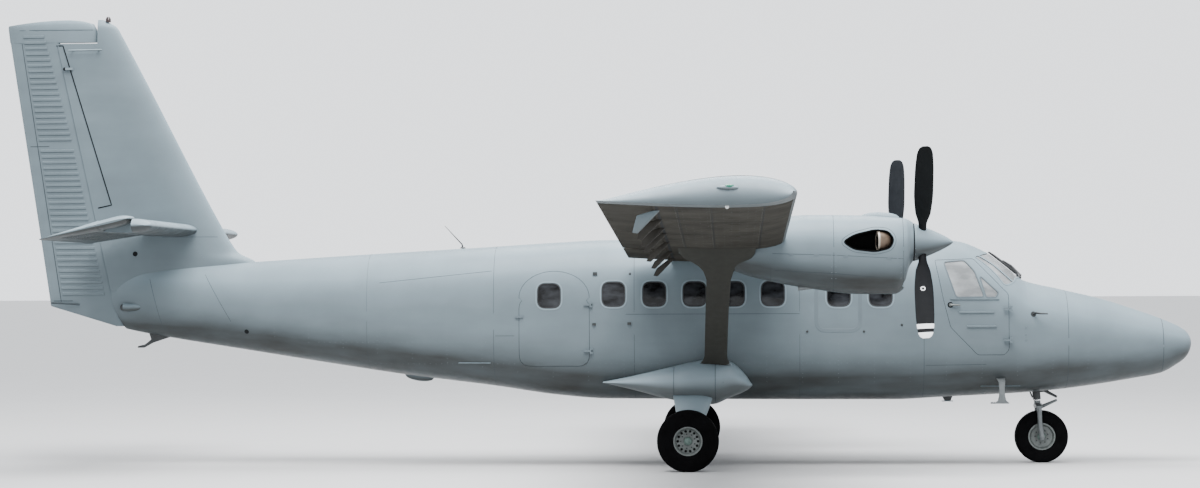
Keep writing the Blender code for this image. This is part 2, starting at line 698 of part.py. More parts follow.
def build_cockpit():
    for label, side in SIDES:
        prism(f"pilot_seat_{label}", SEAT_OUTLINE, "Y", side * SEAT_Y[0], side * SEAT_Y[1], "seat_fabric")
    panel = prism("instrument_panel", PANEL_OUTLINE, "Y", -PANEL_Y, PANEL_Y, "panel_plastic")
    join(panel, box("pedestal", (5.14, -0.15, FLOOR_TOP + FIT_GAP), (5.44, 0.15, 1.78)))
    foot, head = Vector((COLUMN_X, 0.0, FLOOR_TOP + FIT_GAP)), Vector((COLUMN_X, 0.0, 1.900))
    column = rod("control_column", foot, head, 0.025, "panel_plastic")
    join(column, rod("column_yoke", (COLUMN_X, -0.42, 1.88), (COLUMN_X, 0.42, 1.88), 0.018, sides=10))


def build_wings(parts):
    for label, side in SIDES:
        wing = loft("wing_" + label, wing_rings(side), "airframe_paint")
        bay = box(f"wing_bay_{label}", (0.20, min(side * BAY_START_Y, side * BAY_END_Y), 2.0),
                  (WING_LE_X - SURFACE_CUT_AFT, max(side * BAY_START_Y, side * BAY_END_Y), 4.0))
        cut(wing, bay, loft(f"wing_seat_{label}", hull_rings(4.8, -0.8, FIT_GAP)))
        parts["wing_" + label] = wing
        for name, (near, far) in (("flap", FLAP_Y), ("aileron", AILERON_Y)):
            rings = []
            for y in (near, far):
                tail = wing_point(y, WING_CHORD - 0.004, camber_height(WING_CHORD))
                ring = nose_ring(surface_axis_point(y), SURFACE_RADIUS, tail, TRAILING_THICK / 2,
                                 AHEAD, UPWARD)
                rings.append(mirrored(ring, side))
            parts[f"{name}_{label}"] = loft(f"{name}_{label}", rings, "airframe_paint")
        notch_x = surface_axis_point(NACELLE_Y).x - 0.10
        near, far = sorted(side * y for y in FLAP_NOTCH_Y)
        cut(parts["flap_" + label], box(f"flap_notch_{label}", (0.2, near, 2.0), (notch_x, far, 4.0)))
        for name, places in (("flap", (1.30, 4.30)), ("aileron", (6.60, 8.80))):
            for index, y in enumerate(places):
                centre = surface_axis_point(y)
                centre.y *= side
                axis = Vector((0, side * math.cos(DIHEDRAL), math.sin(DIHEDRAL)))
                pin_hinge(f"{name}_{label}_hinge_{index}", wing, parts[f"{name}_{label}"], centre, axis,
                          AHEAD, SURFACE_RADIUS, SURFACE_RADIUS + PLATE_REACH)


def nacelle_rings(side, front_x, back_x, grow=0.0):
    return [ring_at(NACELLE_STATIONS, x, grow, side * NACELLE_Y, 20)
            for x in stations_between(NACELLE_STATIONS, front_x, back_x)]


def blade_rings(spin_angle, side):
    """One feathered blade, its chord nearly along X, that points at spin_angle about the shaft."""
    out = Vector((0.0, math.cos(spin_angle), math.sin(spin_angle)))
    around = Vector((0.0, -math.sin(spin_angle), math.cos(spin_angle)))
    centre = Vector((PROP_X, side * NACELLE_Y, PROP_Z))
    rings = []
    for radius, chord, thick, twist in BLADE_SECTIONS:
        turn = math.radians(twist)
        forward = AHEAD * math.cos(turn) + around * math.sin(turn)
        flat = out.cross(forward)
        middle = centre + out * radius
        ring = []
        for index in range(BLADE_POINTS):
            angle = 2 * math.pi * index / BLADE_POINTS
            ring.append(middle + forward * chord / 2 * math.cos(angle) + flat * thick / 2 * math.sin(angle))
        rings.append(ring)
    return rings


def build_power(parts):
    for label, side in SIDES:
        middle = side * NACELLE_Y

        def on_shaft(x):
            return Vector((x, middle, PROP_Z))

        cowling = nacelle_rings(side, NACELLE_FRONT_X, NACELLE_REAR_X)
        nacelle = loft("nacelle_" + label, cowling, "airframe_paint")
        bay = nacelle_rings(side, ENGINE_X[1] + FIT_GAP, ENGINE_X[0] - 0.03, -NACELLE_WALL)
        cut(nacelle, loft(f"engine_bay_{label}", bay))
        low = (INTAKE["x"][0], middle - INTAKE["half_width"], INTAKE["z"][0])
        high = (INTAKE["x"][1], middle + INTAKE["half_width"], INTAKE["z"][1])
        cut(nacelle, box(f"intake_{label}", low, high))
        cut(nacelle, prism(f"exhaust_opening_{label}", EXHAUST, "Y", middle - 0.7, middle + 0.7))
        shaft_start = on_shaft(ENGINE_X[1] - 0.1)
        cut(nacelle, rod(f"shaft_hole_{label}", shaft_start, shaft_start + AHEAD * 0.3, SHAFT_HOLE_RADIUS))
        cut(nacelle, loft(f"nacelle_seat_{label}", wing_rings(side, FIT_GAP)))
        parts["nacelle_" + label] = nacelle

        engine = rod("engine_" + label, on_shaft(ENGINE_X[0]), on_shaft(ENGINE_X[1]), ENGINE_RADIUS,
                     "engine_metal", sides=24)
        for name, way in (("outer", side), ("inner", -side)):
            start = (STUB["x"][0], middle, STUB["z"])
            end = (STUB["x"][1], middle + way * STUB["reach"], STUB["z"])
            join(engine, rod(f"exhaust_stub_{name}_{label}", start, end, STUB["radius"], sides=20))

        base = SPINNER_BASE_X
        hub = rod("propeller_" + label, on_shaft(base + 0.006), on_shaft(PROP_X + 0.11), HUB_RADIUS,
                  "dark_blade", sides=24)
        join(hub, rod(f"prop_shaft_{label}", on_shaft(ENGINE_X[1] + FIT_GAP), on_shaft(PROP_X), SHAFT_RADIUS))
        plate_radius = SPINNER_RADIUS - SPINNER_WALL - 3 * FIT_GAP
        join(hub, rod(f"back_plate_{label}", on_shaft(base), on_shaft(base + BACK_PLATE_THICK), plate_radius,
                      sides=SPINNER_STEPS))
        spinner = build_spinner(label, on_shaft(base))
        for index, degrees in enumerate(BLADE_ANGLES[label]):
            angle = math.radians(degrees)
            join(hub, loft(f"blade_{label}_{index}", blade_rings(angle, side)))
            out = Vector((0.0, math.cos(angle), math.sin(angle)))
            start, end = (on_shaft(PROP_X) + out * SHANK_HOLE[key] for key in ("start", "end"))
            cut(spinner, rod(f"shank_hole_{label}_{index}", start, end, SHANK_HOLE["radius"], sides=12))


def build_spinner(label, base):
    """A hollow, pointed cone over the hub."""
    length = SPINNER_TIP_X - SPINNER_BASE_X
    profile = [(SPINNER_RADIUS * wide, length * along) for along, wide in SPINNER_SHAPE]
    inner = [(r - SPINNER_WALL, z - SPINNER_WALL) for r, z in profile[1:-1] if r > 2 * SPINNER_WALL]
    inner = [(0.0, inner[0][1]), *inner, (SPINNER_RADIUS - SPINNER_WALL, 0.0)]
    outline = profile + list(reversed(inner))
    return turned("spinner_" + label, outline, "airframe_paint", SPINNER_STEPS, base, AHEAD)


def rudder_share(z):
    return (z - RUDDER_FOOT["z"]) / (RUDDER_HEAD["z"] - RUDDER_FOOT["z"])


def rudder_axis(z):
    """A point on the rudder's hinge line."""
    return Vector((RUDDER_FOOT["x"] + (RUDDER_HEAD["x"] - RUDDER_FOOT["x"]) * rudder_share(z), 0.0, z))


def rudder_radius(z):
    return RUDDER_FOOT["radius"] + (RUDDER_HEAD["radius"] - RUDDER_FOOT["radius"]) * rudder_share(z)


def fin_rear(z):
    """Where the fixed tail ends in front of the rudder's nose."""
    return rudder_axis(z).x + rudder_radius(z) + SURFACE_GAP


def fin_rings(grow=0.0):
    rows = (
        # z, leading edge x, largest half thickness, half thickness at the hinge
        (2.300, -4.200, 0.110, 0.105),
        (2.700, -4.540, 0.118, 0.097),
        (2.800, -4.742, 0.120, 0.090),
        (2.941, -4.850, 0.118, 0.085),
        (3.130, -4.962, 0.115, 0.080),
        (5.620, -6.262, 0.068, 0.046),
        (5.829, -6.380, 0.058, 0.042),
        (5.935, -6.560, 0.030, 0.026),
    )
    rings = []
    for z, front, half_max, half_rear in rows:
        rear = fin_rear(z)
        ring = []
        for aft, half in symmetric_ring(front - rear, half_max, half_rear):
            wide = half + math.copysign(grow, half) if half else 0.0
            lead = grow if aft == 0.0 else 0.0
            ring.append(Vector((front - aft + lead, wide, z)))
        rings.append(ring)
    return rings


def build_fin(parts):
    fin = loft("fin", fin_rings(), "airframe_paint")
    cut(fin, loft("fin_seat", hull_rings(-3.0, TAIL_END_X - 0.2, FIT_GAP)))
    cut(fin, box("horn_notch", (-7.6, -0.3, HORN_Z), (-6.640, 0.3, 6.2)))
    parts["fin"] = fin

    rows = (
        # nose z, trailing edge x and z
        (1.835, -7.278, 2.105),
        (2.700, -7.376, 2.760),
        (5.665, -7.826, 5.668),
    )
    rings = []
    for z, tail_x, tail_z in rows:
        centre = rudder_axis(z)
        rings.append(nose_ring(centre, rudder_radius(z), Vector((tail_x, 0, tail_z)), 0.006, AHEAD, SIDEWAYS))
    rudder = loft("rudder", rings, "airframe_paint")
    horn = []
    for z, front, tail_x, half in ((HORN_Z + 0.016, -6.665, -7.823, 0.045),
                                   (5.880, -6.690, -7.850, 0.038), (5.935, -7.000, -7.840, 0.012)):
        horn.append([Vector((front - aft, h, z)) for aft, h in symmetric_ring(front - tail_x, half, 0.006)])
    join(rudder, loft("rudder_horn", horn))
    parts["rudder"] = rudder
    axis = rudder_axis(5.0) - rudder_axis(2.0)
    for index, z in enumerate((2.85, 4.70)):
        nose = rudder_radius(z)
        pin_hinge(f"rudder_hinge_{index}", fin, rudder, rudder_axis(z), axis, AHEAD, nose, nose + PLATE_REACH)


def build_tailplane(parts):
    radius = 0.062
    axis_x = TAILPLANE_CUT_X - SURFACE_GAP - radius
    for label, side in SIDES:
        rings = []
        for y, share in ((0.02, 1.0), (3.02, 1.0), (3.11, 0.8), (TAILPLANE_HALF, 0.35)):
            foil = symmetric_ring(TAILPLANE_LE_X - TAILPLANE_CUT_X, 0.085 * share, 0.068 * share)
            ring = [Vector((TAILPLANE_LE_X - aft, y, TAILPLANE_Z + h)) for aft, h in foil]
            rings.append(mirrored(ring, side))
        plane = loft("tailplane_" + label, rings, "airframe_paint")
        low, high = sorted((side * (HORN_START_Y - 0.012), side * 3.5))
        cut(plane, box(f"tip_notch_{label}", (-6.2, low, 2.8), (-5.540, high, 3.4)))
        cut(plane, loft(f"tailplane_seat_{label}", fin_rings(FIT_GAP)))
        parts["tailplane_" + label] = plane

        centre_x = Vector((axis_x, 0.0, TAILPLANE_Z))
        droop = Matrix.Rotation(-ELEVATOR_DROOP, 3, "Y")
        tail = centre_x + droop @ Vector((-(ELEVATOR_CHORD - radius), 0, 0))
        rings = []
        for y, share in ((ELEVATOR_Y, 1.0), (3.00, 1.0), (3.10, 0.8), (TAILPLANE_HALF, 0.4)):
            ring = nose_ring(centre_x, radius * share, tail, 0.004, AHEAD, UPWARD)
            rings.append(mirrored([point + Vector((0, y, 0)) for point in ring], side))
        elevator = loft("elevator_" + label, rings, "airframe_paint")
        horn = []
        for y, share in ((HORN_START_Y, 1.0), (3.02, 0.95), (3.11, 0.75), (TAILPLANE_HALF - 0.003, 0.3)):
            ring = [centre_x + droop @ Vector((0.420 - aft, 0, h))
                    for aft, h in symmetric_ring(0.52, 0.060 * share, 0.050 * share)]
            horn.append(mirrored([point + Vector((0, y, 0)) for point in ring], side))
        join(elevator, loft(f"elevator_horn_{label}", horn))
        join(elevator, rod(f"torque_tube_{label}", centre_x + Vector((0, 0.03 * side, 0)),
                           centre_x + Vector((0, (ELEVATOR_Y + 0.05) * side, 0)), 0.025))
        cut(elevator, loft(f"elevator_seat_{label}", fin_rings(DOOR_GAP)))
        parts["elevator_" + label] = elevator
        for index, y in enumerate((1.10, 2.40)):
            pin_hinge(f"elevator_{label}_hinge_{index}", plane, elevator, centre_x + SIDEWAYS * side * y,
                      SIDEWAYS, AHEAD, radius, radius + PLATE_REACH)


FAIRING_STATIONS = (
    # x, outer y, low z, high z
    (2.062, 0.900, 1.030, 1.080),
    (2.000, 1.060, 0.972, 1.190),
    (1.788, 1.230, 0.882, 1.372),
    (1.566, 1.300, 0.800, 1.402),
    (1.300, 1.280, 0.822, 1.362),
    (1.034, 1.200, 0.862, 1.300),
    (0.600, 1.010, 0.974, 1.196),
    (0.149, 0.870, 1.080, 1.100),
)


def fairing_rings(side, grow=0.0):
    """Half-round bumps that stand out from the lower side of the hull."""
    rings = []
    for x, outer, low, high in FAIRING_STATIONS:
        middle, half = (low + high) / 2, (high - low) / 2 + grow
        ring = [Vector((x, 0.60, middle + half)), Vector((x, 0.60, middle - half))]
        for index in range(9):
            angle = -math.pi / 2 + math.pi * index / 8
            reach = (outer + grow - 0.62) * math.cos(angle) ** 0.7
            ring.append(Vector((x, 0.62 + reach, middle + half * math.sin(angle))))
        rings.append(mirrored(ring, side))
    return rings


def bar_rings(sections, side):
    """Streamlined bars: each section is a middle point, a chord along X and a thickness across the run."""
    rings = []
    for index, (x, y, z, chord, thick) in enumerate(sections):
        before, after = sections[max(0, index - 1)], sections[min(len(sections) - 1, index + 1)]
        run = Vector((0.0, after[1] - before[1], after[2] - before[2])).normalized()
        normal = Vector((0.0, -run.z, run.y))
        ring = [Vector((x + chord / 2 - aft, y, z)) + normal * half
                for aft, half in symmetric_ring(chord, thick / 2, thick / 8)]
        rings.append(mirrored(ring, side))
    return rings


def build_gear(parts):
    axle, width = MAIN_AXLE, MAIN_TYRE_WIDTH
    for label, side in SIDES:
        fairing = loft("gear_fairing_" + label, fairing_rings(side), "airframe_paint")
        leg_sections = (
            # x, y, z, chord, thickness
            (1.330, 0.900, 1.000, 0.560, 0.150),
            (1.320, 1.200, 0.860, 0.480, 0.130),
            (1.305, 1.400, 0.690, 0.380, 0.110),
            (1.270, 1.560, 0.480, 0.240, 0.100),
            (1.265, 1.620, 0.370, 0.160, 0.090),
        )
        join(fairing, loft(f"leg_fairing_{label}", bar_rings(leg_sections, side)))
        start, end = (Vector((axle.x, side * y, axle.z)) for y in (1.560, axle.y - MAIN_HUB_HALF - FIT_GAP))
        join(fairing, rod(f"axle_{label}", start, end, 0.050))
        cut(fairing, loft(f"gear_fairing_seat_{label}", hull_rings(3.0, -0.8, FIT_GAP)))
        parts["gear_fairing_" + label] = fairing

        strut_sections = (
            (1.612, 1.000, 1.300, 0.290, 0.075),
            (1.640, 2.100, 2.000, 0.290, 0.075),
            (1.675, 3.100, 2.640, 0.300, 0.080),
            (1.680, 3.300, 2.770, 0.560, 0.110),
            (1.680, 3.440, 2.880, 0.860, 0.120),
        )
        strut = loft("wing_strut_" + label, bar_rings(strut_sections, side), "airframe_paint")
        cut(strut, loft(f"strut_wing_seat_{label}", wing_rings(side, FIT_GAP)))
        cowling = nacelle_rings(side, NACELLE_FRONT_X, NACELLE_REAR_X, FIT_GAP)
        cut(strut, loft(f"strut_nacelle_seat_{label}", cowling))
        cut(strut, loft(f"strut_fairing_seat_{label}", fairing_rings(side, FIT_GAP)))
        parts["wing_strut_" + label] = strut

        place = Vector((axle.x, side * axle.y, axle.z))
        make_wheel("main", "_" + label, place, side, MAIN_TYRE_RADIUS, width, MAIN_RIM_RADIUS, MAIN_HUB_HALF)


def make_wheel(name, suffix, place, side, radius, width, rim_radius, hub_half):
    """A tyre on a dished rim, turned about the axle, its outer face along side."""
    half = width / 2
    bead = rim_radius + 0.004
    flank = (radius - bead) * 0.5
    profile = []
    for index in range(11):
        angle = math.pi / 2 - math.pi * index / 10
        squared = math.copysign(abs(math.sin(angle)) ** 0.75, math.sin(angle))
        profile.append((radius - flank + flank * abs(math.cos(angle)) ** 0.8, half * squared))
    foot = bead + 0.02
    profile += [(foot, -half * 0.86), (bead, -half * 0.72), (bead, half * 0.72), (foot, half * 0.86)]
    axis, phase = (0, side, 0), math.pi / WHEEL_STEPS
    turned(f"{name}_tyre{suffix}", profile, "tyre_rubber", WHEEL_STEPS, place, axis, phase)
    edge = rim_radius + 0.004 - FIT_GAP
    rim = [
        (0.0, hub_half), (0.045, hub_half), (0.055, hub_half - 0.03), (0.085, hub_half - 0.035),
        (rim_radius * 0.80, half * 0.62), (rim_radius * 0.92, half * 0.71), (edge, half * 0.71),
        (edge, -half * 0.71), (rim_radius * 0.80, -half * 0.70),
        (rim_radius * 0.72, -hub_half * 0.2), (0.075, -hub_half * 0.4), (0.070, -hub_half), (0.0, -hub_half),
    ]
    turned(f"{name}_rim{suffix}", rim, "rim_paint", WHEEL_STEPS, place, axis, phase)


def build_nose_gear(parts):
    axle = NOSE_AXLE
    up = Vector((-math.sin(STRUT_RAKE), 0.0, math.cos(STRUT_RAKE)))

    def on_strut(height):
        return axle + up * height / math.cos(STRUT_RAKE)

    strut = rod("nose_strut", on_strut(0.480), on_strut(0.900), 0.050, "gear_metal")
    cut(strut, loft("nose_strut_seat", hull_rings(RADOME_X, SCREEN_BASE_X - 0.3, FIT_GAP)))
    parts["nose_strut"] = strut
    fork = rod("nose_fork", on_strut(0.380), on_strut(0.480) - up * FIT_GAP, 0.042, "gear_metal")
    crown = on_strut(0.375)
    low, high = crown + Vector((-0.045, -0.165, 0.0)), crown + Vector((0.045, 0.165, 0.050))
    join(fork, box("fork_crown", low, high))
    for label, side in SIDES:
        start = crown + Vector((0.0, side * FORK_LEG_Y, 0.040))
        end = axle + Vector((0.0, side * FORK_LEG_Y, -0.035))
        join(fork, rod(f"fork_leg_{label}", start, end, 0.030))
        start = axle + SIDEWAYS * side * (NOSE_HUB_HALF + FIT_GAP)
        join(fork, rod(f"fork_axle_{label}", start, axle + SIDEWAYS * side * NOSE_AXLE_END, 0.022))
    knee = on_strut(0.470) + Vector((0.215, 0.0, 0.025))
    low = on_strut(0.410)
    join(fork, rod("lower_link", low, knee, 0.016, sides=10))
    parts["nose_fork"] = fork
    high = on_strut(0.555)
    link_end = knee + Vector((0.0, 0.0, 0.036))
    join(strut, rod("upper_link", high, link_end, 0.014, sides=10))
    make_wheel("nose", "", axle, 1, NOSE_TYRE_RADIUS, NOSE_TYRE_WIDTH, NOSE_RIM_RADIUS, NOSE_HUB_HALF)


def build():
    parts = build_fuselage()
    build_doors(parts)
    hinge_doors(parts)
    build_cockpit()
    build_wings(parts)
    build_power(parts)
    build_fin(parts)
    build_tailplane(parts)
    build_gear(parts)
    build_nose_gear(parts)


build()
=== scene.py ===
"""Looks of a high-wing twin turboprop airliner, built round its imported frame.

Metres. The nose points along +X, the left wing along +Y, and +Z is up.
"""

import logging
import math
from dataclasses import dataclass, replace
from enum import Enum
from functools import cache
from typing import Callable, ClassVar, Iterable, Sequence

import bmesh
import bpy
from mathutils import Matrix, Vector


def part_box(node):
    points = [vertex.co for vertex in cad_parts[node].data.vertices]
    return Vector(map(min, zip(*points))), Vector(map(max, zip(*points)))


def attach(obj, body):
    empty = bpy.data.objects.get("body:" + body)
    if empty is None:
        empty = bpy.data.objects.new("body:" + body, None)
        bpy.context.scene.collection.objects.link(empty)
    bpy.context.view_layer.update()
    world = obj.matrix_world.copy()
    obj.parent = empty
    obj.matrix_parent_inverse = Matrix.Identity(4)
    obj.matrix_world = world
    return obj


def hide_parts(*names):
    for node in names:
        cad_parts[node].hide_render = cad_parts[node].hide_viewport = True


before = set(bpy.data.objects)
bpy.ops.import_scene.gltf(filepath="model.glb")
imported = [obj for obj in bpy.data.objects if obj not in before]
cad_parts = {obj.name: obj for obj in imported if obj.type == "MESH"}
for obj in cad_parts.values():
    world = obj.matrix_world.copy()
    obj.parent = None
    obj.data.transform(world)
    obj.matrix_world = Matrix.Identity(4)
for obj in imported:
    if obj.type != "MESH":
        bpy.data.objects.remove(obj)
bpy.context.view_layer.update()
LOG = logging.getLogger("airliner")
ROOT = "airframe"
Outline = Sequence[tuple[float, float]]
Rows = Sequence[Sequence[float]]
Colour = tuple[float, float, float]
Spot = tuple[Vector, Vector]


class Side(Enum):
    """The two sides of the aeroplane, as the sign of Y."""

    LEFT = 1
    RIGHT = -1

    @property
    def label(self) -> str:
        """The side's name as the frame's nodes use it."""
        return self.name.lower()

    def reach(self, inner: float, outer: float) -> list[float]:
        """Two distances from the middle plane as rising values of Y on this side."""
        return sorted((self.value * inner, self.value * outer))


class Nodes:
    """The node tree of one material, with short calls to add and link nodes."""

    def __init__(self, name: str) -> None:
        """Starts a material with its shader and object coordinates.

        Args:
            name: The material's name.
        """
        self.material = bpy.data.materials.new(name)
        self.material.use_nodes = True
        self.tree = self.material.node_tree
        self.shader = self.tree.nodes["Principled BSDF"]
        self.place = self.tree.nodes.new("ShaderNodeTexCoord")

    def put(self, node: bpy.types.Node, **values: object) -> bpy.types.Node:
        """Sets a node's inputs or links them to sockets, with _ for a space in their names.

        Args:
            node: The node.
            values: The inputs' values or sockets, by the inputs' names.

        Returns:
            The node.
        """
        for key, value in values.items():
            socket = node.inputs[key.replace("_", " ")]
            if isinstance(value, bpy.types.NodeSocket):
                self.tree.links.new(value, socket)
            else:
                socket.default_value = value
        return node

    def add(self, kind: str, **values: object) -> bpy.types.Node:
        """Adds a node of a kind with its inputs."""
        return self.put(self.tree.nodes.new("ShaderNode" + kind), **values)

    def set(self, **values: object) -> None:
        """Sets or links the shader's own inputs."""
        self.put(self.shader, **values)

    def noise(self, size: float, detail: float = 4.0,
              stretch: Sequence[float] = (1, 1, 1)) -> bpy.types.NodeSocket:
        """Adds noise in object space.

        Args:
            size: The size of its patches in metres.
            detail: How many finer layers it has.
            stretch: How much longer the patches are along each axis.

        Returns:
            The socket of its strength, from 0 to 1.
        """
        mapping = self.add("Mapping", Vector=self.place.outputs["Object"],
                           Scale=[1.0 / share for share in stretch])
        return self.add("TexNoise", Vector=mapping.outputs[0], Scale=1.0 / size, Detail=detail).outputs["Fac"]

    def spread(self, source: bpy.types.NodeSocket, low: float, high: float, out_low: float = 0.0,
               out_high: float = 1.0) -> bpy.types.NodeSocket:
        """Maps a socket's values from one range to another, held at its ends."""
        return self.add("MapRange", Value=source, From_Min=low, From_Max=high, To_Min=out_low,
                        To_Max=out_high).outputs["Result"]

    def times(self, first: bpy.types.NodeSocket,
              second: bpy.types.NodeSocket | float) -> bpy.types.NodeSocket:
        """Multiplies a socket by another or by a number.

        Args:
            first: The socket.
            second: The other socket, or the number.

        Returns:
            The product's socket.
        """
        node = self.add("Math")
        node.operation = "MULTIPLY"
        self.tree.links.new(first, node.inputs[0])
        if isinstance(second, float):
            node.inputs[1].default_value = second
        else:
            self.tree.links.new(second, node.inputs[1])
        return node.outputs[0]

    def mix(self, share: bpy.types.NodeSocket, first: object, second: object) -> bpy.types.NodeSocket:
        """Mixes two colours, each a socket or a tuple, by a socket's share.

        Args:
            share: The socket of the second colour's share.
            first: The first colour.
            second: The second colour.

        Returns:
            The mixed colour's socket.
        """
        node = self.add("Mix")
        node.data_type = "RGBA"
        self.tree.links.new(share, node.inputs[0])
        for value, socket in ((first, node.inputs[6]), (second, node.inputs[7])):
            if isinstance(value, tuple):
                socket.default_value = (*value, 1.0)
            else:
                self.tree.links.new(value, socket)
        return node.outputs[2]

    def mottle(self, share: bpy.types.NodeSocket, colour: Colour, amount: float) -> bpy.types.NodeSocket:
        """Mixes a darker and a lighter tone of a colour."""
        return self.mix(share, tone(colour, 1.0 - amount), tone(colour, 1.0 + amount))

    def facing_down(self, start: float, end: float) -> bpy.types.NodeSocket:
        """How far a face looks down, from 0 at the first slope of its normal to 1 at the second."""
        split = self.add("SeparateXYZ", Vector=self.place.outputs["Normal"])
        return self.spread(split.outputs[2], start, end)

    def bump(self, height: bpy.types.NodeSocket, strength: float, distance: float) -> None:
        """Adds a bump over whatever bump the shader already has.

        Args:
            height: The socket of the relief's height.
            strength: How strongly it shows.
            distance: The relief's depth in metres.
        """
        node = self.add("Bump", Strength=strength, Distance=distance, Height=height)
        normal = self.shader.inputs["Normal"]
        if normal.is_linked:
            self.tree.links.new(normal.links[0].from_socket, node.inputs["Normal"])
        self.tree.links.new(node.outputs["Normal"], normal)


def tone(colour: Colour, share: float) -> Colour:
    """Makes a colour lighter or darker by a share of itself."""
    return tuple(min(1.0, part * share) for part in colour)


@dataclass(frozen=True)
class Finish:
    """A painted, plastic or metal surface with uneven colour, gloss and fine grain, and painted shade on the
    faces that look down.
    """

    name: str
    colour: Colour
    roughness: float
    metallic: float = 0.0
    coat: float = 0.0
    patch: float = 0.06
    patch_size: float = 0.5
    grain: float = 0.12
    grain_size: float = 0.004
    soil: float = 0.0
    soil_colour: Colour = (0.10, 0.095, 0.085)
    soil_reach: tuple[float, float] = (0.28, -0.50)
    wave: float = 0.0
    refraction: float = 1.5

    def make(self) -> bpy.types.Material:
        """Builds the material's nodes.

        Returns:
            The new material.
        """
        nodes = Nodes(self.name)
        colour = nodes.mottle(nodes.spread(nodes.noise(self.patch_size, 3.0), 0.3, 0.7), self.colour,
                              self.patch)
        # Painted shade: faces that look down are mixed towards a dark colour, broken up by streaky noise.
        if self.soil:
            shade_streaks = nodes.spread(nodes.noise(0.25, 5.0, (4.0, 1.0, 1.0)), 0.3, 0.75, self.soil * 0.8,
                                   self.soil)
            colour = nodes.mix(nodes.times(nodes.facing_down(*self.soil_reach), shade_streaks), colour,
                               self.soil_colour)
        gloss = nodes.spread(nodes.noise(self.patch_size / 6, 5.0), 0.3, 0.7,
                             max(0.02, self.roughness - 0.06), self.roughness + 0.08)
        nodes.set(Metallic=self.metallic, IOR=self.refraction, Coat_Weight=self.coat, Coat_Roughness=0.15,
                  Base_Color=colour, Roughness=gloss)
        nodes.bump(nodes.noise(self.grain_size, 2.0), self.grain, self.grain_size * 0.1)
        if self.wave:
            nodes.bump(nodes.noise(0.30, 1.0, (1.0, 1.0, 1.6)), self.wave, 0.01)
        return nodes.material


@dataclass(frozen=True)
class Glass(Finish):
    """Clear or dark glazing."""

    alpha: float = 1.0

    def make(self) -> bpy.types.Material:
        """Builds the material's nodes.

        Returns:
            The new material.
        """
        nodes = Nodes(self.name)
        patches = nodes.spread(nodes.noise(self.patch_size, 3.0, (1.0, 1.0, 0.5)), 0.35, 0.68)
        nodes.set(Metallic=0.0, Alpha=self.alpha, IOR=self.refraction, Coat_Weight=self.coat,
                  Base_Color=nodes.mottle(patches, self.colour, self.patch),
                  Roughness=nodes.spread(nodes.noise(0.08), 0.3, 0.7, self.roughness, self.roughness + 0.05))
        nodes.bump(nodes.noise(0.2, 1.0), self.grain, 0.004)
        nodes.material.surface_render_method = "DITHERED"
        return nodes.material


@dataclass(frozen=True)
class Cloth(Finish):
    """Woven upholstery."""

    weave: float = 0.0035

    def make(self) -> bpy.types.Material:
        """Builds the material's nodes.

        Returns:
            The new material.
        """
        nodes = Nodes(self.name)
        nodes.set(Metallic=0.0, Sheen_Weight=0.3,
                  Base_Color=nodes.mottle(nodes.noise(0.03, 6.0), self.colour, 0.2),
                  Roughness=nodes.spread(nodes.noise(0.02), 0.3, 0.7, self.roughness - 0.05,
                                         self.roughness + 0.05))
        for direction in ("X", "Z"):
            wave = nodes.add("TexWave", Scale=1.0 / self.weave / 6, Vector=nodes.place.outputs["Object"])
            wave.bands_direction = direction
            nodes.bump(wave.outputs["Fac"], 0.3, 0.001)
        return nodes.material


@cache
def material_of(finish: Finish) -> bpy.types.Material:
    """The material of a finish, made once."""
    return finish.make()


def linked(name: str, data: object) -> bpy.types.Object:
    """Adds an object with its data to the scene.

    Args:
        name: The object's name.
        data: Its mesh, light or camera.

    Returns:
        The new object.
    """
    obj = bpy.data.objects.new(name, data)
    bpy.context.scene.collection.objects.link(obj)
    return obj


# Painted shade: each airframe paint below darkens on the faces that look down, towards its own dark colour
# and over its own reach.
PAINT = Finish("airframe_paint", (0.178, 0.232, 0.262), 0.45, coat=0.04, soil=0.97,
               soil_colour=(0.022, 0.022, 0.020), soil_reach=(0.40, -0.42), wave=0.10, refraction=1.28)
PAINT_COWL = replace(PAINT, name="cowling_paint", soil_reach=(0.28, -0.50))
PAINT_WING = replace(PAINT, name="wing_paint", soil_colour=(0.026, 0.025, 0.021), soil_reach=(0.75, -0.30),
                     wave=0.06)
# The tip's paint darkens from the top of the cap down to its side and underside, as painted shade.
PAINT_TIP = replace(PAINT, name="wing_tip_paint", soil=0.85, soil_colour=(0.034, 0.037, 0.036),
                    soil_reach=(0.90, 0.05), wave=0.0)
# A darker copy of the wing paint for the underside: painted shade.
WING_UNDER_SHADE = Finish("wing_underside", (0.036, 0.034, 0.029), 0.85, patch=0.30, patch_size=0.6,
                    refraction=1.12)
PAINT_PALE = Finish("sponson_paint", (0.190, 0.245, 0.275), 0.45, coat=0.04, soil=0.80,
                    soil_colour=(0.050, 0.050, 0.046), wave=0.05, refraction=1.35)
PAINT_BAND = Finish("exit_band_paint", (0.085, 0.112, 0.128), 0.55, patch=0.05)
PAINT_SHADE = Finish("strut_paint", (0.034, 0.035, 0.031), 0.60, soil=0.45, soil_colour=(0.022, 0.021, 0.018),
                     refraction=1.2)
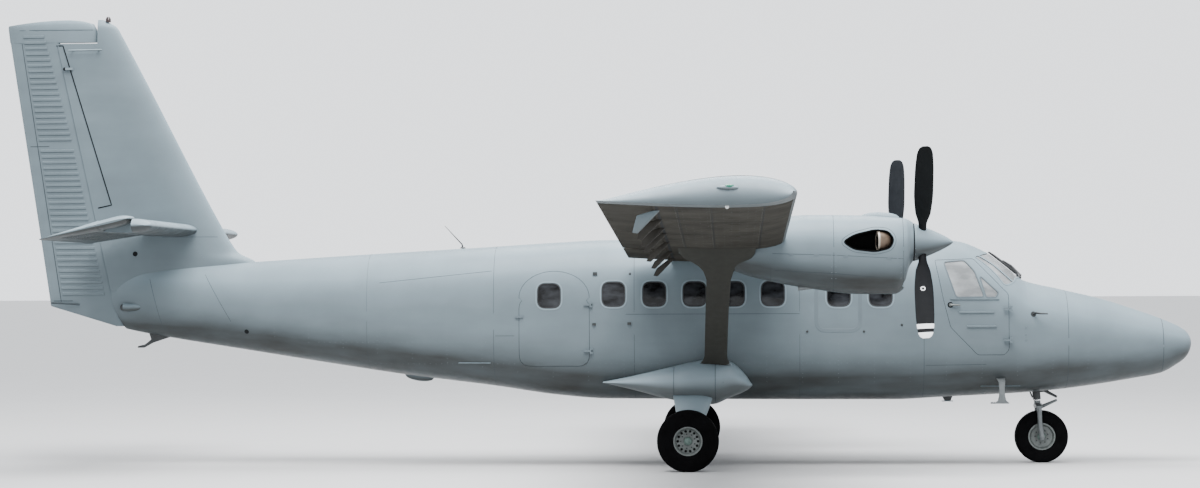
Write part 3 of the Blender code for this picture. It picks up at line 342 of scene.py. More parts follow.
# Dark brown for the brackets under the wing: painted shade.
PAINT_BRACKET_SHADE = Finish("soiled_paint", (0.030, 0.028, 0.024), 0.55, patch=0.20, patch_size=0.15, refraction=1.3)
SEAM = Finish("panel_seam", (0.036, 0.046, 0.052), 0.65, patch=0.25, patch_size=0.25, refraction=1.3)
GAP = Finish("dark_gap", (0.008, 0.009, 0.010), 0.75, refraction=1.2)
RIVET = Finish("rivet_paint", (0.120, 0.155, 0.175), 0.50)
FRAME_EDGE = Finish("window_frame_paint", (0.165, 0.215, 0.243), 0.40, coat=0.1)
RUBBER_SEAL = Finish("window_seal", (0.012, 0.013, 0.014), 0.60)
TYRE = Finish("tyre_rubber", (0.0030, 0.0030, 0.0033), 0.85, patch=0.25, patch_size=0.12, grain=0.35,
              grain_size=0.006, refraction=1.10)
RIM = Finish("rim_paint", (0.115, 0.128, 0.124), 0.42, metallic=0.35, patch=0.15, patch_size=0.03)
RIM_DARK = Finish("rim_shadow", (0.006, 0.007, 0.007), 0.70, refraction=1.2)
HUB_CAP = Finish("hub_cap_paint", (0.090, 0.135, 0.120), 0.40, metallic=0.3, patch=0.2, patch_size=0.02)
LEG_METAL = Finish("gear_metal", (0.120, 0.132, 0.136), 0.38, metallic=0.5, patch=0.15, patch_size=0.06)
LEG_DARK = Finish("gear_dark", (0.026, 0.029, 0.030), 0.50, metallic=0.3, patch=0.2, patch_size=0.05)
CHROME = Finish("oleo_chrome", (0.55, 0.56, 0.57), 0.12, metallic=1.0, patch=0.05)
BLADE_BACK = Finish("blade_black", (0.0035, 0.0045, 0.005), 0.50, patch=0.2, patch_size=0.1, refraction=1.18)
# Lighter and darker copies of the blades' grey face: painted sheen on the left propeller, painted shade on
# the right.
BLADE_SHEEN = Finish("blade_grey", (0.024, 0.026, 0.030), 0.50, patch=0.12, patch_size=0.1, refraction=1.25)
BLADE_SHADE = Finish("blade_dark_grey", (0.006, 0.0065, 0.0075), 0.60, patch=0.12, patch_size=0.1,
                   refraction=1.15)
BLADE_MARK = Finish("blade_white", (0.62, 0.63, 0.64), 0.45, patch=0.04)
SOOT_AND_SHADE = Finish("exhaust_soot", (0.004, 0.004, 0.004), 0.85, patch=0.3, patch_size=0.05, refraction=1.15)
STUB = Finish("exhaust_stub_metal", (0.105, 0.076, 0.054), 0.55, patch=0.3, patch_size=0.06, refraction=1.3)
LIP = Finish("exhaust_lip_metal", (0.340, 0.300, 0.250), 0.45, metallic=0.3, patch=0.2, patch_size=0.05)
ENGINE = Finish("engine_metal", (0.120, 0.110, 0.100), 0.50, metallic=0.7, patch=0.2, patch_size=0.1)
LINING = Finish("cabin_lining", (0.560, 0.520, 0.460), 0.75, patch=0.06)
PANEL = Finish("panel_plastic", (0.035, 0.036, 0.038), 0.60)
DIAL = Finish("dial_face", (0.012, 0.012, 0.013), 0.35, coat=0.4)
FLOOR_METAL = Finish("floor_metal", (0.20, 0.20, 0.205), 0.55, metallic=0.4, patch=0.15)
CABIN_GLASS_SHADE = Glass("cabin_window_glass", (0.013, 0.014, 0.016), 0.06, patch=0.95, patch_size=0.20, grain=0.2,
                    refraction=1.32)
CLEAR_GLASS = Glass("cockpit_glass", (0.34, 0.36, 0.37), 0.02, patch=0.35, patch_size=0.35, alpha=0.62,
                    grain=0.05)
GREEN_LENS = Glass("green_lens", (0.010, 0.150, 0.095), 0.05, patch=0.2, patch_size=0.02)
RED_LENS = Glass("red_lens", (0.20, 0.01, 0.01), 0.05, patch=0.2, patch_size=0.02)
WHITE_LENS = Glass("white_lens", (0.75, 0.76, 0.74), 0.08, patch=0.05)
DARK_LENS = Glass("beacon_lens", (0.030, 0.022, 0.022), 0.08, patch=0.05)
SEAT = Cloth("seat_fabric", (0.150, 0.155, 0.150), 0.85)
SHEEP = Cloth("headrest_fabric", (0.48, 0.43, 0.36), 0.90)
CONCRETE = Finish("pale_floor", (0.46, 0.46, 0.46), 0.85, patch=0.012, patch_size=3.0, grain=0.05)


class Pen:
    """Collects the corners and faces of one piece before it becomes an object."""

    def __init__(self) -> None:
        """Starts an empty piece."""
        self.bm = bmesh.new()

    def bridge(self, rows: Sequence[Sequence[bmesh.types.BMVert]]) -> None:
        """Joins each closed row of corners to the next one by faces.

        Args:
            rows: The rows, all with the same number of corners.
        """
        for here, there in zip(rows, rows[1:]):
            for index in range(len(here)):
                following = (index + 1) % len(here)
                self.bm.faces.new((here[index], here[following], there[following], there[index]))

    def loft(self, rings: Iterable[Sequence[Vector]], ends: bool = True) -> "Pen":
        """Skins through rings that have the same number of points.

        Args:
            rings: The rings, each a closed loop of points.
            ends: Whether the first and the last ring are closed by a face.

        Returns:
            This pen, so that calls can follow each other.
        """
        rows = [[self.bm.verts.new(point) for point in ring] for ring in rings]
        self.bridge(rows)
        if ends:
            self.bm.faces.new(rows[0])
            self.bm.faces.new(rows[-1])
        return self

    def shell(self, outer: Sequence[Sequence[Vector]], inner: Sequence[Sequence[Vector]]) -> "Pen":
        """A wall between two skins, closed at both ends.

        Args:
            outer: The outer skin's rings.
            inner: The inner skin's rings, at the same places.

        Returns:
            This pen.
        """
        rows = [[self.bm.verts.new(point) for point in ring] for ring in (*outer, *reversed(inner))]
        self.bridge([*rows, rows[0]])
        return self

    def box(self, low: Sequence[float], high: Sequence[float], turn: Matrix | None = None) -> "Pen":
        """A box between two corners, or between two corners in a turned frame.

        Args:
            low: The corner with the lowest coordinates.
            high: The corner with the highest ones.
            turn: The turned frame, if there is one.

        Returns:
            This pen.
        """
        low, high = Vector(low), Vector(high)
        place = Matrix.Translation((low + high) / 2) @ Matrix.Diagonal((*(high - low), 1.0))
        bmesh.ops.create_cube(self.bm, size=1.0, matrix=(turn or Matrix.Identity(4)) @ place)
        return self

    def prism(self, outline: Outline, along: str, start: float, end: float) -> "Pen":
        """Extrudes an outline along Y (X and Z), along X (Y and Z) or along Z (X and Y).

        Args:
            outline: The outline's corners.
            along: The axis: X, Y or Z.
            start: Where it starts on the axis.
            end: Where it ends on the axis.

        Returns:
            This pen.
        """
        place = {"Y": lambda a, b, way: (a, way, b), "X": lambda a, b, way: (way, a, b),
                 "Z": lambda a, b, way: (a, b, way)}[along]
        return self.loft([[Vector(place(a, b, way)) for a, b in outline] for way in (start, end)])

    def slot(self, *outlines: Outline) -> "Pen":
        """Side outlines extruded through both flanks of the hull.

        Args:
            outlines: The outlines in X and Z.

        Returns:
            This pen.
        """
        for outline in outlines:
            self.prism(outline, "Y", -1.2, 1.2)
        return self

    def tube(self, points: Sequence[Sequence[float]], radius: float | Sequence[float],
             sides: int = 12) -> "Pen":
        """A round bar that follows points, with one radius or one for each point.

        Args:
            points: The points of its middle line.
            radius: The radius, or one for each point.
            sides: How many sides it has.

        Returns:
            This pen.
        """
        path = [Vector(point) for point in points]
        radii = [radius] * len(path) if isinstance(radius, (int, float)) else list(radius)
        up = Vector((0.31, 0.17, 0.93))
        rings = []
        for index, point in enumerate(path):
            way = (path[min(index + 1, len(path) - 1)] - path[max(index - 1, 0)]).normalized()
            across = way.cross(up).normalized()
            over = across.cross(way)
            rings.append([point + (across * math.cos(turn) + over * math.sin(turn)) * radii[index]
                          for turn in circle(sides)])
        return self.loft(rings)

    def lathe(self, profile: Outline, centre: Sequence[float], axis: Sequence[float],
              steps: int = 64) -> "Pen":
        """Turns a closed profile of radius and height about an axis through centre.

        Args:
            profile: Pairs of radius and height.
            centre: The point that the heights start from.
            axis: The direction of the axis.
            steps: How many sides it has.

        Returns:
            This pen.
        """
        centre, axis = Vector(centre), Vector(axis).normalized()
        turn = axis.to_track_quat("Z", "Y")
        columns = []
        for step in range(steps):
            angle = 2 * math.pi * step / steps
            out = turn @ Vector((math.cos(angle), math.sin(angle), 0.0))
            columns.append([centre + out * radius + axis * height for radius, height in profile])
        poles = {index for index, (radius, _) in enumerate(profile) if radius < 1e-6}
        shared = {index: self.bm.verts.new(columns[0][index]) for index in poles}
        verts = [[shared.get(index) or self.bm.verts.new(point) for index, point in enumerate(column)]
                 for column in columns]
        for here, there in zip(verts, verts[1:] + verts[:1]):
            for index in range(len(profile)):
                after = (index + 1) % len(profile)
                corners = list(dict.fromkeys((here[index], here[after], there[after], there[index])))
                if len(corners) > 2:
                    self.bm.faces.new(corners)
        return self

    def ribbon(self, spots: Sequence[Spot], width: float, height: float, closed: bool = False,
               sink: float = 0.003) -> "Pen":
        """A low strip that lies on a surface.

        Args:
            spots: The points of the strip's middle line, with the surface's direction at each.
            width: The strip's width.
            height: How far it stands out of the surface.
            closed: Whether the last point joins the first.
            sink: How far its foot lies under the surface.

        Returns:
            This pen.
        """
        rings = []
        count = len(spots)
        for index, (point, normal) in enumerate(spots):
            before = spots[(index - 1) % count][0] if closed or index else point
            after = spots[(index + 1) % count][0] if closed or index < count - 1 else point
            across = (after - before).normalized().cross(normal).normalized() * width / 2
            rings.append([point - across - normal * sink, point - across * 0.8 + normal * height,
                          point + across * 0.8 + normal * height, point + across - normal * sink])
        return self.loft([*rings, rings[0]], ends=False) if closed else self.loft(rings)

    def dots(self, spots: Iterable[Spot], radius: float, height: float) -> "Pen":
        """Low six-sided heads, such as rivets, on a surface.

        Args:
            spots: Their places, with the surface's direction at each.
            radius: Their radius.
            height: How far they stand out.

        Returns:
            This pen.
        """
        for point, normal in spots:
            first = normal.orthogonal().normalized()
            second = normal.cross(first)
            self.loft([[point + normal * lift
                        + (first * math.cos(turn) + second * math.sin(turn)) * radius * share
                        for turn in circle(6)]
                       for share, lift in ((1.0, -0.002), (0.9, height * 0.6), (0.5, height))])
        return self

    def disc(self, spot: Spot, radius: float, height: float, sides: int = 24, foot: float = 0.003,
             rim: float = 0.0, drop: float = 0.0) -> "Pen":
        """A round plate or knob on a surface.

        Args:
            spot: Its middle and the direction that it faces.
            radius: The radius of its face.
            height: How far its middle stands out.
            sides: How many sides it has.
            foot: How far it reaches under the surface.
            rim: How much wider its foot is than its face.
            drop: How much lower its face's edge is than its middle.

        Returns:
            This pen.
        """
        return self.lathe([(0.0, height), (radius, height - drop), (radius + rim, -foot), (0.0, -foot)],
                          *spot, sides)

    def hoop(self, spot: Spot, inner: float, outer: float, high: float, low: float, sides: int = 24) -> "Pen":
        """A flat ring between two radii and two heights over a surface."""
        return self.lathe([(inner, high), (outer, high), (outer, low), (inner, low)], *spot, sides)

    def piece(self, name: str, finish: Finish, body: str = ROOT, slot: str | None = "airframe_paint",
              replaces: Sequence[str] = (), sharp: float = 35.0) -> bpy.types.Object:
        """Turns what was drawn into an object of the aeroplane.

        Args:
            name: The piece's name.
            finish: Its finish.
            body: The body that it moves with.
            slot: Not used.
            replaces: The frame's nodes that it stands for.
            sharp: Edges that turn more than this many degrees stay crisp.

        Returns:
            The new object.
        """
        obj = self.tool(name)
        obj.data.shade_smooth()
        obj.data.set_sharp_from_angle(angle=math.radians(sharp))
        obj.data.materials.append(material_of(finish))
        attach(obj, body)
        if replaces:
            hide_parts(*replaces)
        return obj

    def tool(self, name: str = "cutter") -> bpy.types.Object:
        """Turns what was drawn into a bare object, such as a cutter.

        Args:
            name: The object's name.

        Returns:
            The new object.
        """
        bmesh.ops.remove_doubles(self.bm, verts=self.bm.verts, dist=1e-5)
        bmesh.ops.recalc_face_normals(self.bm, faces=self.bm.faces)
        mesh = bpy.data.meshes.new(name)
        self.bm.to_mesh(mesh)
        self.bm.free()
        return linked(name, mesh)


def carve(obj: bpy.types.Object, cutter: bpy.types.Object, operation: str = "DIFFERENCE",
          sharp: float = 35.0) -> None:
    """Cuts an object by a cutter, or keeps what they share, and removes the cutter.

    Args:
        obj: The object that is cut.
        cutter: The object that cuts it.
        operation: DIFFERENCE to cut, or INTERSECT to keep what they share.
        sharp: Edges that turn more than this many degrees stay crisp.
    """
    modifier = obj.modifiers.new("carve", "BOOLEAN")
    modifier.operation = operation
    modifier.solver = "EXACT"
    modifier.object = cutter
    depsgraph = bpy.context.evaluated_depsgraph_get()
    carved = bpy.data.meshes.new_from_object(obj.evaluated_get(depsgraph))
    obj.modifiers.clear()
    obj.data = carved
    bpy.data.objects.remove(cutter)
    while len(carved.materials) > 1:
        carved.materials.pop()
    for face in carved.polygons:
        face.material_index = 0
    carved.shade_smooth()
    carved.set_sharp_from_angle(angle=math.radians(sharp))


def repaint(obj: bpy.types.Object, finish: Finish, test: Callable[[Vector, Vector], bool]) -> None:
    """Gives another finish to the faces whose middle and direction pass a test.

    Args:
        obj: The object.
        finish: The other finish.
        test: Takes a face's middle and direction and says whether it gets the finish.
    """
    obj.data.materials.append(material_of(finish))
    index = len(obj.data.materials) - 1
    for face in obj.data.polygons:
        if test(face.center, face.normal):
            face.material_index = index


def span(low: float, high: float, step: float) -> list[float]:
    """Even steps from low to high, both ends included."""
    count = max(1, math.ceil(abs(high - low) / step))
    return [low + (high - low) * index / count for index in range(count + 1)]


def circle(count: int) -> list[float]:
    """Even directions round a circle."""
    return [2 * math.pi * step / count for step in range(count)]


def signed_power(value: float, power: float) -> float:
    """A power of a number's size that keeps its sign."""
    return math.copysign(abs(value) ** power, value)


def flat_spots(points: Iterable[Vector], way: int) -> list[Spot]:
    """Points that all face along Y, to the left for 1 and to the right for -1."""
    return [(point, Vector((0, way, 0))) for point in points]


def soften(outline: Outline, radius: float, steps: int = 5) -> list[tuple[float, float]]:
    """Rounds the corners of a flat outline.

    Args:
        outline: The outline's corners.
        radius: How far from a corner its rounding starts.
        steps: How many sides a rounding has.

    Returns:
        The rounded outline.
    """
    result = []
    count = len(outline)
    for index in range(count):
        before, here, after = (Vector(outline[(index + step) % count]) for step in (-1, 0, 1))
        reach = min(radius, (before - here).length * 0.45, (after - here).length * 0.45)
        start, end = here + (before - here).normalized() * reach, here + (after - here).normalized() * reach
        for step in range(steps + 1):
            share = step / steps
            result.append(tuple(start.lerp(here, share).lerp(here.lerp(end, share), share)))
    return result


def subdivided(outline: Outline, step: float, closed: bool = True) -> list[tuple[float, float]]:
    """Adds points to an outline so that none of its sides is longer than step.

    Args:
        outline: The outline's corners.
        step: The longest side that is left.
        closed: Whether the last point joins the first.

    Returns:
        The outline with the added points.
    """
    points = [Vector(point) for point in outline]
    if closed:
        points.append(points[0])
    result = []
    for here, there in zip(points, points[1:]):
        count = max(1, math.ceil((there - here).length / step))
        result += [tuple(here.lerp(there, index / count)) for index in range(count)]
    return result if closed else [*result, tuple(points[-1])]


def shrunk(outline: Outline, amount: float) -> list[tuple[float, float]]:
    """Moves each side of a flat outline inward by amount.

    Args:
        outline: The outline's corners.
        amount: How far each side moves.

    Returns:
        The smaller outline.
    """
    count = len(outline)
    area = sum(outline[i][0] * outline[(i + 1) % count][1] - outline[(i + 1) % count][0] * outline[i][1]
               for i in range(count))
    sign = 1.0 if area > 0 else -1.0
    result = []
    for index in range(count):
        before, here, after = (Vector(outline[(index + step) % count]) for step in (-1, 0, 1))
        first, second = (here - before).normalized(), (after - here).normalized()
        normals = [Vector((-way.y, way.x)) * sign for way in (first, second)]
        bisector = (normals[0] + normals[1]).normalized()
        result.append(tuple(here + bisector * amount / max(0.3, bisector.dot(normals[0]))))
    return result


def rounded_box(middle: tuple[float, float], width: float, height: float,
                radius: float) -> list[tuple[float, float]]:
    """A rectangle with round corners."""
    (x, z), a, b = middle, width / 2, height / 2
    return soften(((x - a, z - b), (x + a, z - b), (x + a, z + b), (x - a, z + b)), radius * 1.3, 6)


@dataclass
class Table:
    """Rows of numbers against a first, falling one, read by smooth curves that don't overshoot."""

    rows: Sequence[Sequence[float]]
    round_end: bool = False

    def key(self, x: float) -> float:
        """The curve's own parameter, which makes the first end blunt if it is asked for."""
        return math.sqrt(max(0.0, self.rows[0][0] - x)) if self.round_end else -x

    def slope(self, index: int, column: int) -> float:
        """The curve's slope at a row, between its neighbours' slopes.

        Args:
            index: The row's number.
            column: The column's number.

        Returns:
            The slope against the curve's own parameter.
        """
        if index in (0, len(self.rows) - 1):
            other = 1 if index == 0 else index - 1
            run = self.key(self.rows[other][0]) - self.key(self.rows[index][0])
            return (self.rows[other][column] - self.rows[index][column]) / run
        keys = [self.key(self.rows[index + step][0]) for step in (-1, 0, 1)]
        values = [self.rows[index + step][column] for step in (-1, 0, 1)]
        before = (values[1] - values[0]) / (keys[1] - keys[0])
        after = (values[2] - values[1]) / (keys[2] - keys[1])
        return 2 * before * after / (before + after) if before * after > 0 else 0.0

    def at(self, x: float) -> list[float]:
        """The row at any x.

        Args:
            x: The value of the first column.

        Returns:
            The row, with that value first.
        """
        x = max(self.rows[-1][0], min(self.rows[0][0], x))
        for index, (front, back) in enumerate(zip(self.rows, self.rows[1:])):
            if front[0] >= x >= back[0]:
                start, end = self.key(front[0]), self.key(back[0])
                run = end - start
                t = (self.key(x) - start) / run
                result = [x]
                for column in range(1, len(front)):
                    first, last = self.slope(index, column) * run, self.slope(index + 1, column) * run
                    result.append((2 * t**3 - 3 * t**2 + 1) * front[column] + (t**3 - 2 * t**2 + t) * first
                                  + (3 * t**2 - 2 * t**3) * back[column] + (t**3 - t**2) * last)
                return result
        return list(self.rows[-1])


@dataclass
class Hull:
    """A smooth body of rounded, slightly square sections across X.

    Its rows are: x, half width, top, bottom, height of the widest place, squareness.
    """

    table: Table
    middle_y: float = 0.0
    count: int = 96

    def around(self, x: float, turn: float, out: float = 0.0) -> Vector:
        """The point of the section at x in the direction turn, pushed out by a distance.

        Args:
            x: The place along the aeroplane.
            turn: The direction in radians, from +Y towards +Z.
            out: How far it is pushed out.

        Returns:
            The point.
        """
        _, half_width, top, bottom, waist, power = self.table.at(x)
        across, height = signed_power(math.cos(turn), 2 / power), signed_power(math.sin(turn), 2 / power)
        reach = (top - waist) if height > 0 else (waist - bottom)
        return Vector((x, self.middle_y + across * (half_width + out), waist + height * (reach + out)))

    def ring(self, x: float, out: float = 0.0) -> list[Vector]:
        """The whole section at x."""
        return [self.around(x, turn, out) for turn in circle(self.count)]

    def rings(self, front: float, back: float, out: float = 0.0, step: float = 0.06) -> list[list[Vector]]:
        """The sections between two places, the same for each value of out.

        Args:
            front: Where the first one is.
            back: Where the last one is.
            out: How far they are pushed out.
            step: The longest distance between two of them.

        Returns:
            The sections' points.
        """
        if front > self.table.rows[1][0] and self.table.round_end:
            tip = self.table.rows[0][0]
            keys = span(math.sqrt(max(0.0, tip - front)), math.sqrt(tip - back), 0.035)
            return [self.ring(tip - key * key, out) for key in keys]
        return [self.ring(x, out) for x in span(front, back, step)]

    def width_at(self, x: float, z: float, out: float = 0.0) -> float:
        """Half the width at a place along the body and a height.

        Args:
            x: The place along the aeroplane.
            z: The height over the floor.
            out: How far the section is pushed out.

        Returns:
            Half the width.
        """
        _, half_width, top, bottom, waist, power = self.table.at(x)
        reach = (top - waist if z > waist else waist - bottom) + out
        share = min(1.0, abs(z - waist) / reach)
        return (half_width + out) * (1 - share**power) ** (1 / power)

    def on_side(self, x: float, z: float, side: int, out: float = 0.0) -> Vector:
        """A point on one flank, pushed out by a distance."""
        return Vector((x, self.middle_y + side * self.width_at(x, z), z)) + self.normal(x, z, side) * out

    def spot(self, x: float, z: float, side: int) -> Spot:
        """A point on one flank with the direction that it faces."""
        return self.on_side(x, z, side), self.normal(x, z, side)

    def normal(self, x: float, z: float, side: int) -> Vector:
        """The direction that one flank faces.

        Args:
            x: The place along the aeroplane.
            z: The height over the floor.
            side: 1 for the left flank, -1 for the right.

        Returns:
            The direction, one unit long.
        """
        step = 0.004
        along = (self.width_at(x + step, z) - self.width_at(x - step, z)) / (2 * step)
        up = (self.width_at(x, z + step) - self.width_at(x, z - step)) / (2 * step)
        return Vector((-along, side, -up)).normalized()

    def on_front(self, y: float, z: float, back: float = 4.6, front: float = 5.75) -> Vector:
        """The point of the skin straight ahead of a place in Y and Z.

        Args:
            y: The place across the aeroplane.
            z: The height over the floor.
            back: Where the search starts.
            front: Where the search ends.

        Returns:
            The point.
        """
        for _ in range(30):
            middle = (back + front) / 2
            inside = self.width_at(middle, z) > abs(y - self.middle_y) and z < self.table.at(middle)[2]
            back, front = (middle, front) if inside else (back, middle)
        return Vector((back, y, z))

    def seam(self, pen: Pen, outline: Outline, side: int, width: float, height: float,
             closed: bool = True, step: float = 0.05, sink: float = 0.003) -> None:
        """Draws a strip along a side outline."""
        pen.ribbon([self.spot(x, z, side) for x, z in subdivided(outline, step, closed)], width, height,
                   closed, sink)

    def hoop(self, pen: Pen, x: float, low: float, high: float, width: float, height: float) -> None:
        """Draws a strip round a section between two directions in degrees.

        Args:
            pen: The pen that draws it.
            x: The place along the aeroplane.
            low: The first direction.
            high: The last direction.
            width: The strip's width.
            height: How far it stands out.
        """
        line = [(self.around(x, turn), self.around(x, turn, 0.01))
                for turn in map(math.radians, span(low, high, 3.0))]
        pen.ribbon([(point, (out - point).normalized()) for point, out in line], width, height)

    def patch(self, pen: Pen, outline: Outline, side: int, low: float, high: float, rings: int = 4) -> None:
        """A slab that follows one flank inside an outline, between two distances out of it.

        Args:
            pen: The pen that draws it.
            outline: The outline's corners.
            side: 1 for the left flank, -1 for the right.
            low: How far out its inner face lies.
            high: How far out its outer face lies.
            rings: How many rings of faces it has.
        """
        middle = Vector((sum(p[0] for p in outline), sum(p[1] for p in outline))) / len(outline)
        flat = [[middle.lerp(Vector(point), share) for point in outline]
                for share in (index / rings for index in range(1, rings + 1))]
        top = [[self.on_side(p.x, p.y, side, high) for p in ring] for ring in flat]
        foot = [[self.on_side(p.x, p.y, side, low) for p in ring] for ring in reversed(flat)]
        pen.loft([*top, *foot])


def hull_inside(hull: Hull, depth: float = 0.036) -> Callable[[Vector, Vector], bool]:
    """A test for faces that lie deeper than depth under a hull's skin.

    Args:
        hull: The hull.
        depth: The depth under its skin.

    Returns:
        The test.
    """
    def test(place: Vector, _: Vector) -> bool:
        """Whether the place is that deep."""
        _, half_width, top, bottom, waist, power = hull.table.at(place.x)
        reach = (top - waist if place.z > waist else waist - bottom) - depth
        across = abs(place.y - hull.middle_y) / (half_width - depth)
        return across**power + (abs(place.z - waist) / reach) ** power < 1.0
    return test


HULL = Hull(Table((
    (7.849, 0.004, 1.569, 1.561, 1.565, 2.0),
    (7.835, 0.085, 1.640, 1.482, 1.560, 2.0),
    (7.777, 0.170, 1.723, 1.376, 1.550, 2.0),
    (7.640, 0.258, 1.807, 1.272, 1.540, 2.1),
    (7.445, 0.335, 1.889, 1.172, 1.530, 2.2),
    (7.056, 0.440, 2.027, 1.098, 1.540, 2.3),
    (6.671, 0.535, 2.149, 1.035, 1.560, 2.4),
    (6.079, 0.670, 2.290, 0.958, 1.600, 2.6),
    (5.653, 0.760, 2.394, 0.922, 1.640, 2.8),
    (5.450, 0.800, 2.549, 0.910, 1.680, 2.9),
    (5.192, 0.835, 2.745, 0.898, 1.740, 3.0),
    (5.001, 0.852, 2.844, 0.888, 1.780, 3.1),
    (4.821, 0.864, 2.906, 0.880, 1.810, 3.2),
    (4.450, 0.875, 2.945, 0.862, 1.850, 3.4),
    (3.990, 0.875, 2.950, 0.838, 1.850, 3.4),
    (0.200, 0.875, 2.950, 0.858, 1.850, 3.4),
    (-0.470, 0.872, 2.921, 0.910, 1.860, 3.3),
    (-1.270, 0.845, 2.873, 1.026, 1.880, 3.1),
    (-2.540, 0.725, 2.803, 1.187, 1.930, 2.8),
    (-3.230, 0.635, 2.764, 1.291, 1.970, 2.6),
    (-4.600, 0.435, 2.680, 1.510, 2.060, 2.3),
    (-5.970, 0.205, 2.596, 1.738, 2.150, 2.1),
    (-6.260, 0.135, 2.572, 1.801, 2.170, 2.0),
    (-6.500, 0.092, 2.556, 1.868, 2.200, 2.0),
), round_end=True))


@dataclass
class Fuselage:
    """The hull's skins, doors, windows and seams, from the radome to the tail cone."""

    wall: float = 0.040
    nose_x: float = 7.849
    radome_x: float = 7.445
    screen_x: float = 5.653
    cockpit_x: float = 4.300
    cabin_x: float = -1.270
    tail_x: float = -4.600
    end_x: float = -6.500
    window_size: tuple[float, float, float] = (0.310, 0.330, 0.085)
    window_centres: tuple[tuple[float, float], ...] = (
        (0.292, 2.235), (0.822, 2.235), (1.344, 2.235), (1.840, 2.235), (2.356, 2.235), (3.206, 2.225),
        (3.745, 2.225))
    door_window: tuple[float, float] = (-0.546, 2.218)
    door: tuple[float, float, float, float, float] = (-0.940, -0.020, 1.300, 2.540, 0.150)
    door_gap: float = 0.005
    exit: tuple[float, float, float, float] = (2.915, 3.480, 2.360, 1.752)
    flank: tuple[float, float] = (0.3, 1.2)
    cockpit_door: Outline = ((4.446, 2.661), (4.553, 2.133), (4.640, 1.790), (4.990, 1.430),
                             (5.340, 1.430), (5.400, 1.500), (5.400, 2.215), (4.950, 2.680))
    side_window: Outline = ((4.570, 2.630), (4.829, 2.650), (4.951, 2.517), (5.072, 2.188), (4.722, 2.183))
    quarter_window: Outline = ((5.035, 2.439), (5.261, 2.233), (5.228, 2.181), (5.111, 2.182))
    screen: Outline = ((0.030, 2.445), (0.030, 2.765), (0.480, 2.735), (0.625, 2.705), (0.712, 2.330),
                       (0.480, 2.425))
    pillar: float = 0.016
    post: Outline = ((0.575, 2.722), (0.580, 2.620), (0.592, 2.500), (0.602, 2.385))

    def build(self) -> None:
        """Builds and dresses every piece of the hull."""
        self.solid_ends()
        self.cabin()
        self.cockpit()
        self.glazing()
        self.seams()
        self.door_trim()
        self.hinges()
        self.handles()
        self.rivets()

    @property
    def crew_opening(self) -> Outline:
        """The crew door's opening with its round corners."""
        return soften(self.cockpit_door, 0.03)

    @property
    def door_lights(self) -> dict[str, Outline]:
        """The crew door's panes with their round corners, by name."""
        return {"side": soften(self.side_window, 0.035), "quarter": soften(self.quarter_window, 0.02)}

    def cabin_outline(self, shrink: float = 0.0) -> list[tuple[float, float]]:
        """The cabin door's side outline, arched at its top.

        Args:
            shrink: How much smaller it is all round.

        Returns:
            The outline in X and Z.
        """
        rear, front, low, high, corner = self.door
        rear, front, low, high = rear + shrink, front - shrink, low + shrink, high - shrink
        middle, radius = (rear + front) / 2, (front - rear) / 2
        spring = high - radius * 0.75
        foot = soften(((rear, spring), (rear, low), (front, low), (front, spring)), corner, 6)
        points = [point for point in foot if point[1] < spring - 0.02]
        for step in range(25):
            angle = math.pi * step / 24
            points.append((middle + radius * math.cos(angle), spring + radius * 0.75 * math.sin(angle)))
        return points

    def wall_between(self, front: float, back: float, step: float = 0.06) -> Pen:
        """The hull's wall as a shell between two places."""
        return Pen().shell(HULL.rings(front, back, 0.0, step), HULL.rings(front, back, -self.wall, step))

    def solid_ends(self) -> None:
        """The radome, the nose, the rear fuselage and the tail cone."""
        for name, node, front, back in (("radome_skin", "radome", self.nose_x, self.radome_x + 0.001),
                                        ("nose_skin", "nose_body", self.radome_x, self.screen_x),
                                        ("rear_skin", "rear_fuselage", self.cabin_x, self.tail_x),
                                        ("tail_cone_skin", "tail_cone", self.tail_x, self.end_x)):
            skin = Pen().loft(HULL.rings(front, back)).piece(name, PAINT, replaces=(node,))
        carve(skin, TAIL.rudder_space().tool())

    def cut_door(self, side: Side, kind: str, wall: Pen, outline: Outline, lights: Iterable[Outline]) -> None:
        """One door, cut from the hull's wall, with its window openings.

        Args:
            side: The side of the aeroplane.
            kind: cabin or cockpit.
            wall: The wall that it is cut from.
            outline: The door's outline.
            lights: The outlines of its windows.
        """
        name = f"{kind}_door_{side.label}"
        door = wall.piece(name + "_skin", PAINT, name, replaces=(name,))
        carve(door, Pen().prism(outline, "Y", *side.reach(*self.flank)).tool(), "INTERSECT")
        carve(door, Pen().slot(*lights).tool())
        repaint(door, LINING, hull_inside(HULL))

    def cabin(self) -> None:
        """The cabin's walls with their windows, and the two cabin doors."""
        skin = self.wall_between(self.cockpit_x, self.cabin_x).piece(
            "cabin_skin", PAINT, replaces=("cabin_side_left", "cabin_side_right", "cabin_roof", "belly"))
        windows = [rounded_box(centre, *self.window_size) for centre in self.window_centres]
        carve(skin, Pen().slot(*windows, self.cabin_outline()).tool())
        repaint(skin, LINING, hull_inside(HULL))
        for side in Side:
            self.cut_door(side, "cabin", self.wall_between(0.1, -1.05, 0.05),
                          self.cabin_outline(self.door_gap),
                          [rounded_box(self.door_window, *self.window_size)])
            self.window(self.door_window, side, f"cabin_door_{side.label}", f"door_light_{side.label}")
            for index, centre in enumerate(self.window_centres):
                self.window(centre, side, ROOT, f"cabin_light_{side.label}_{index}")

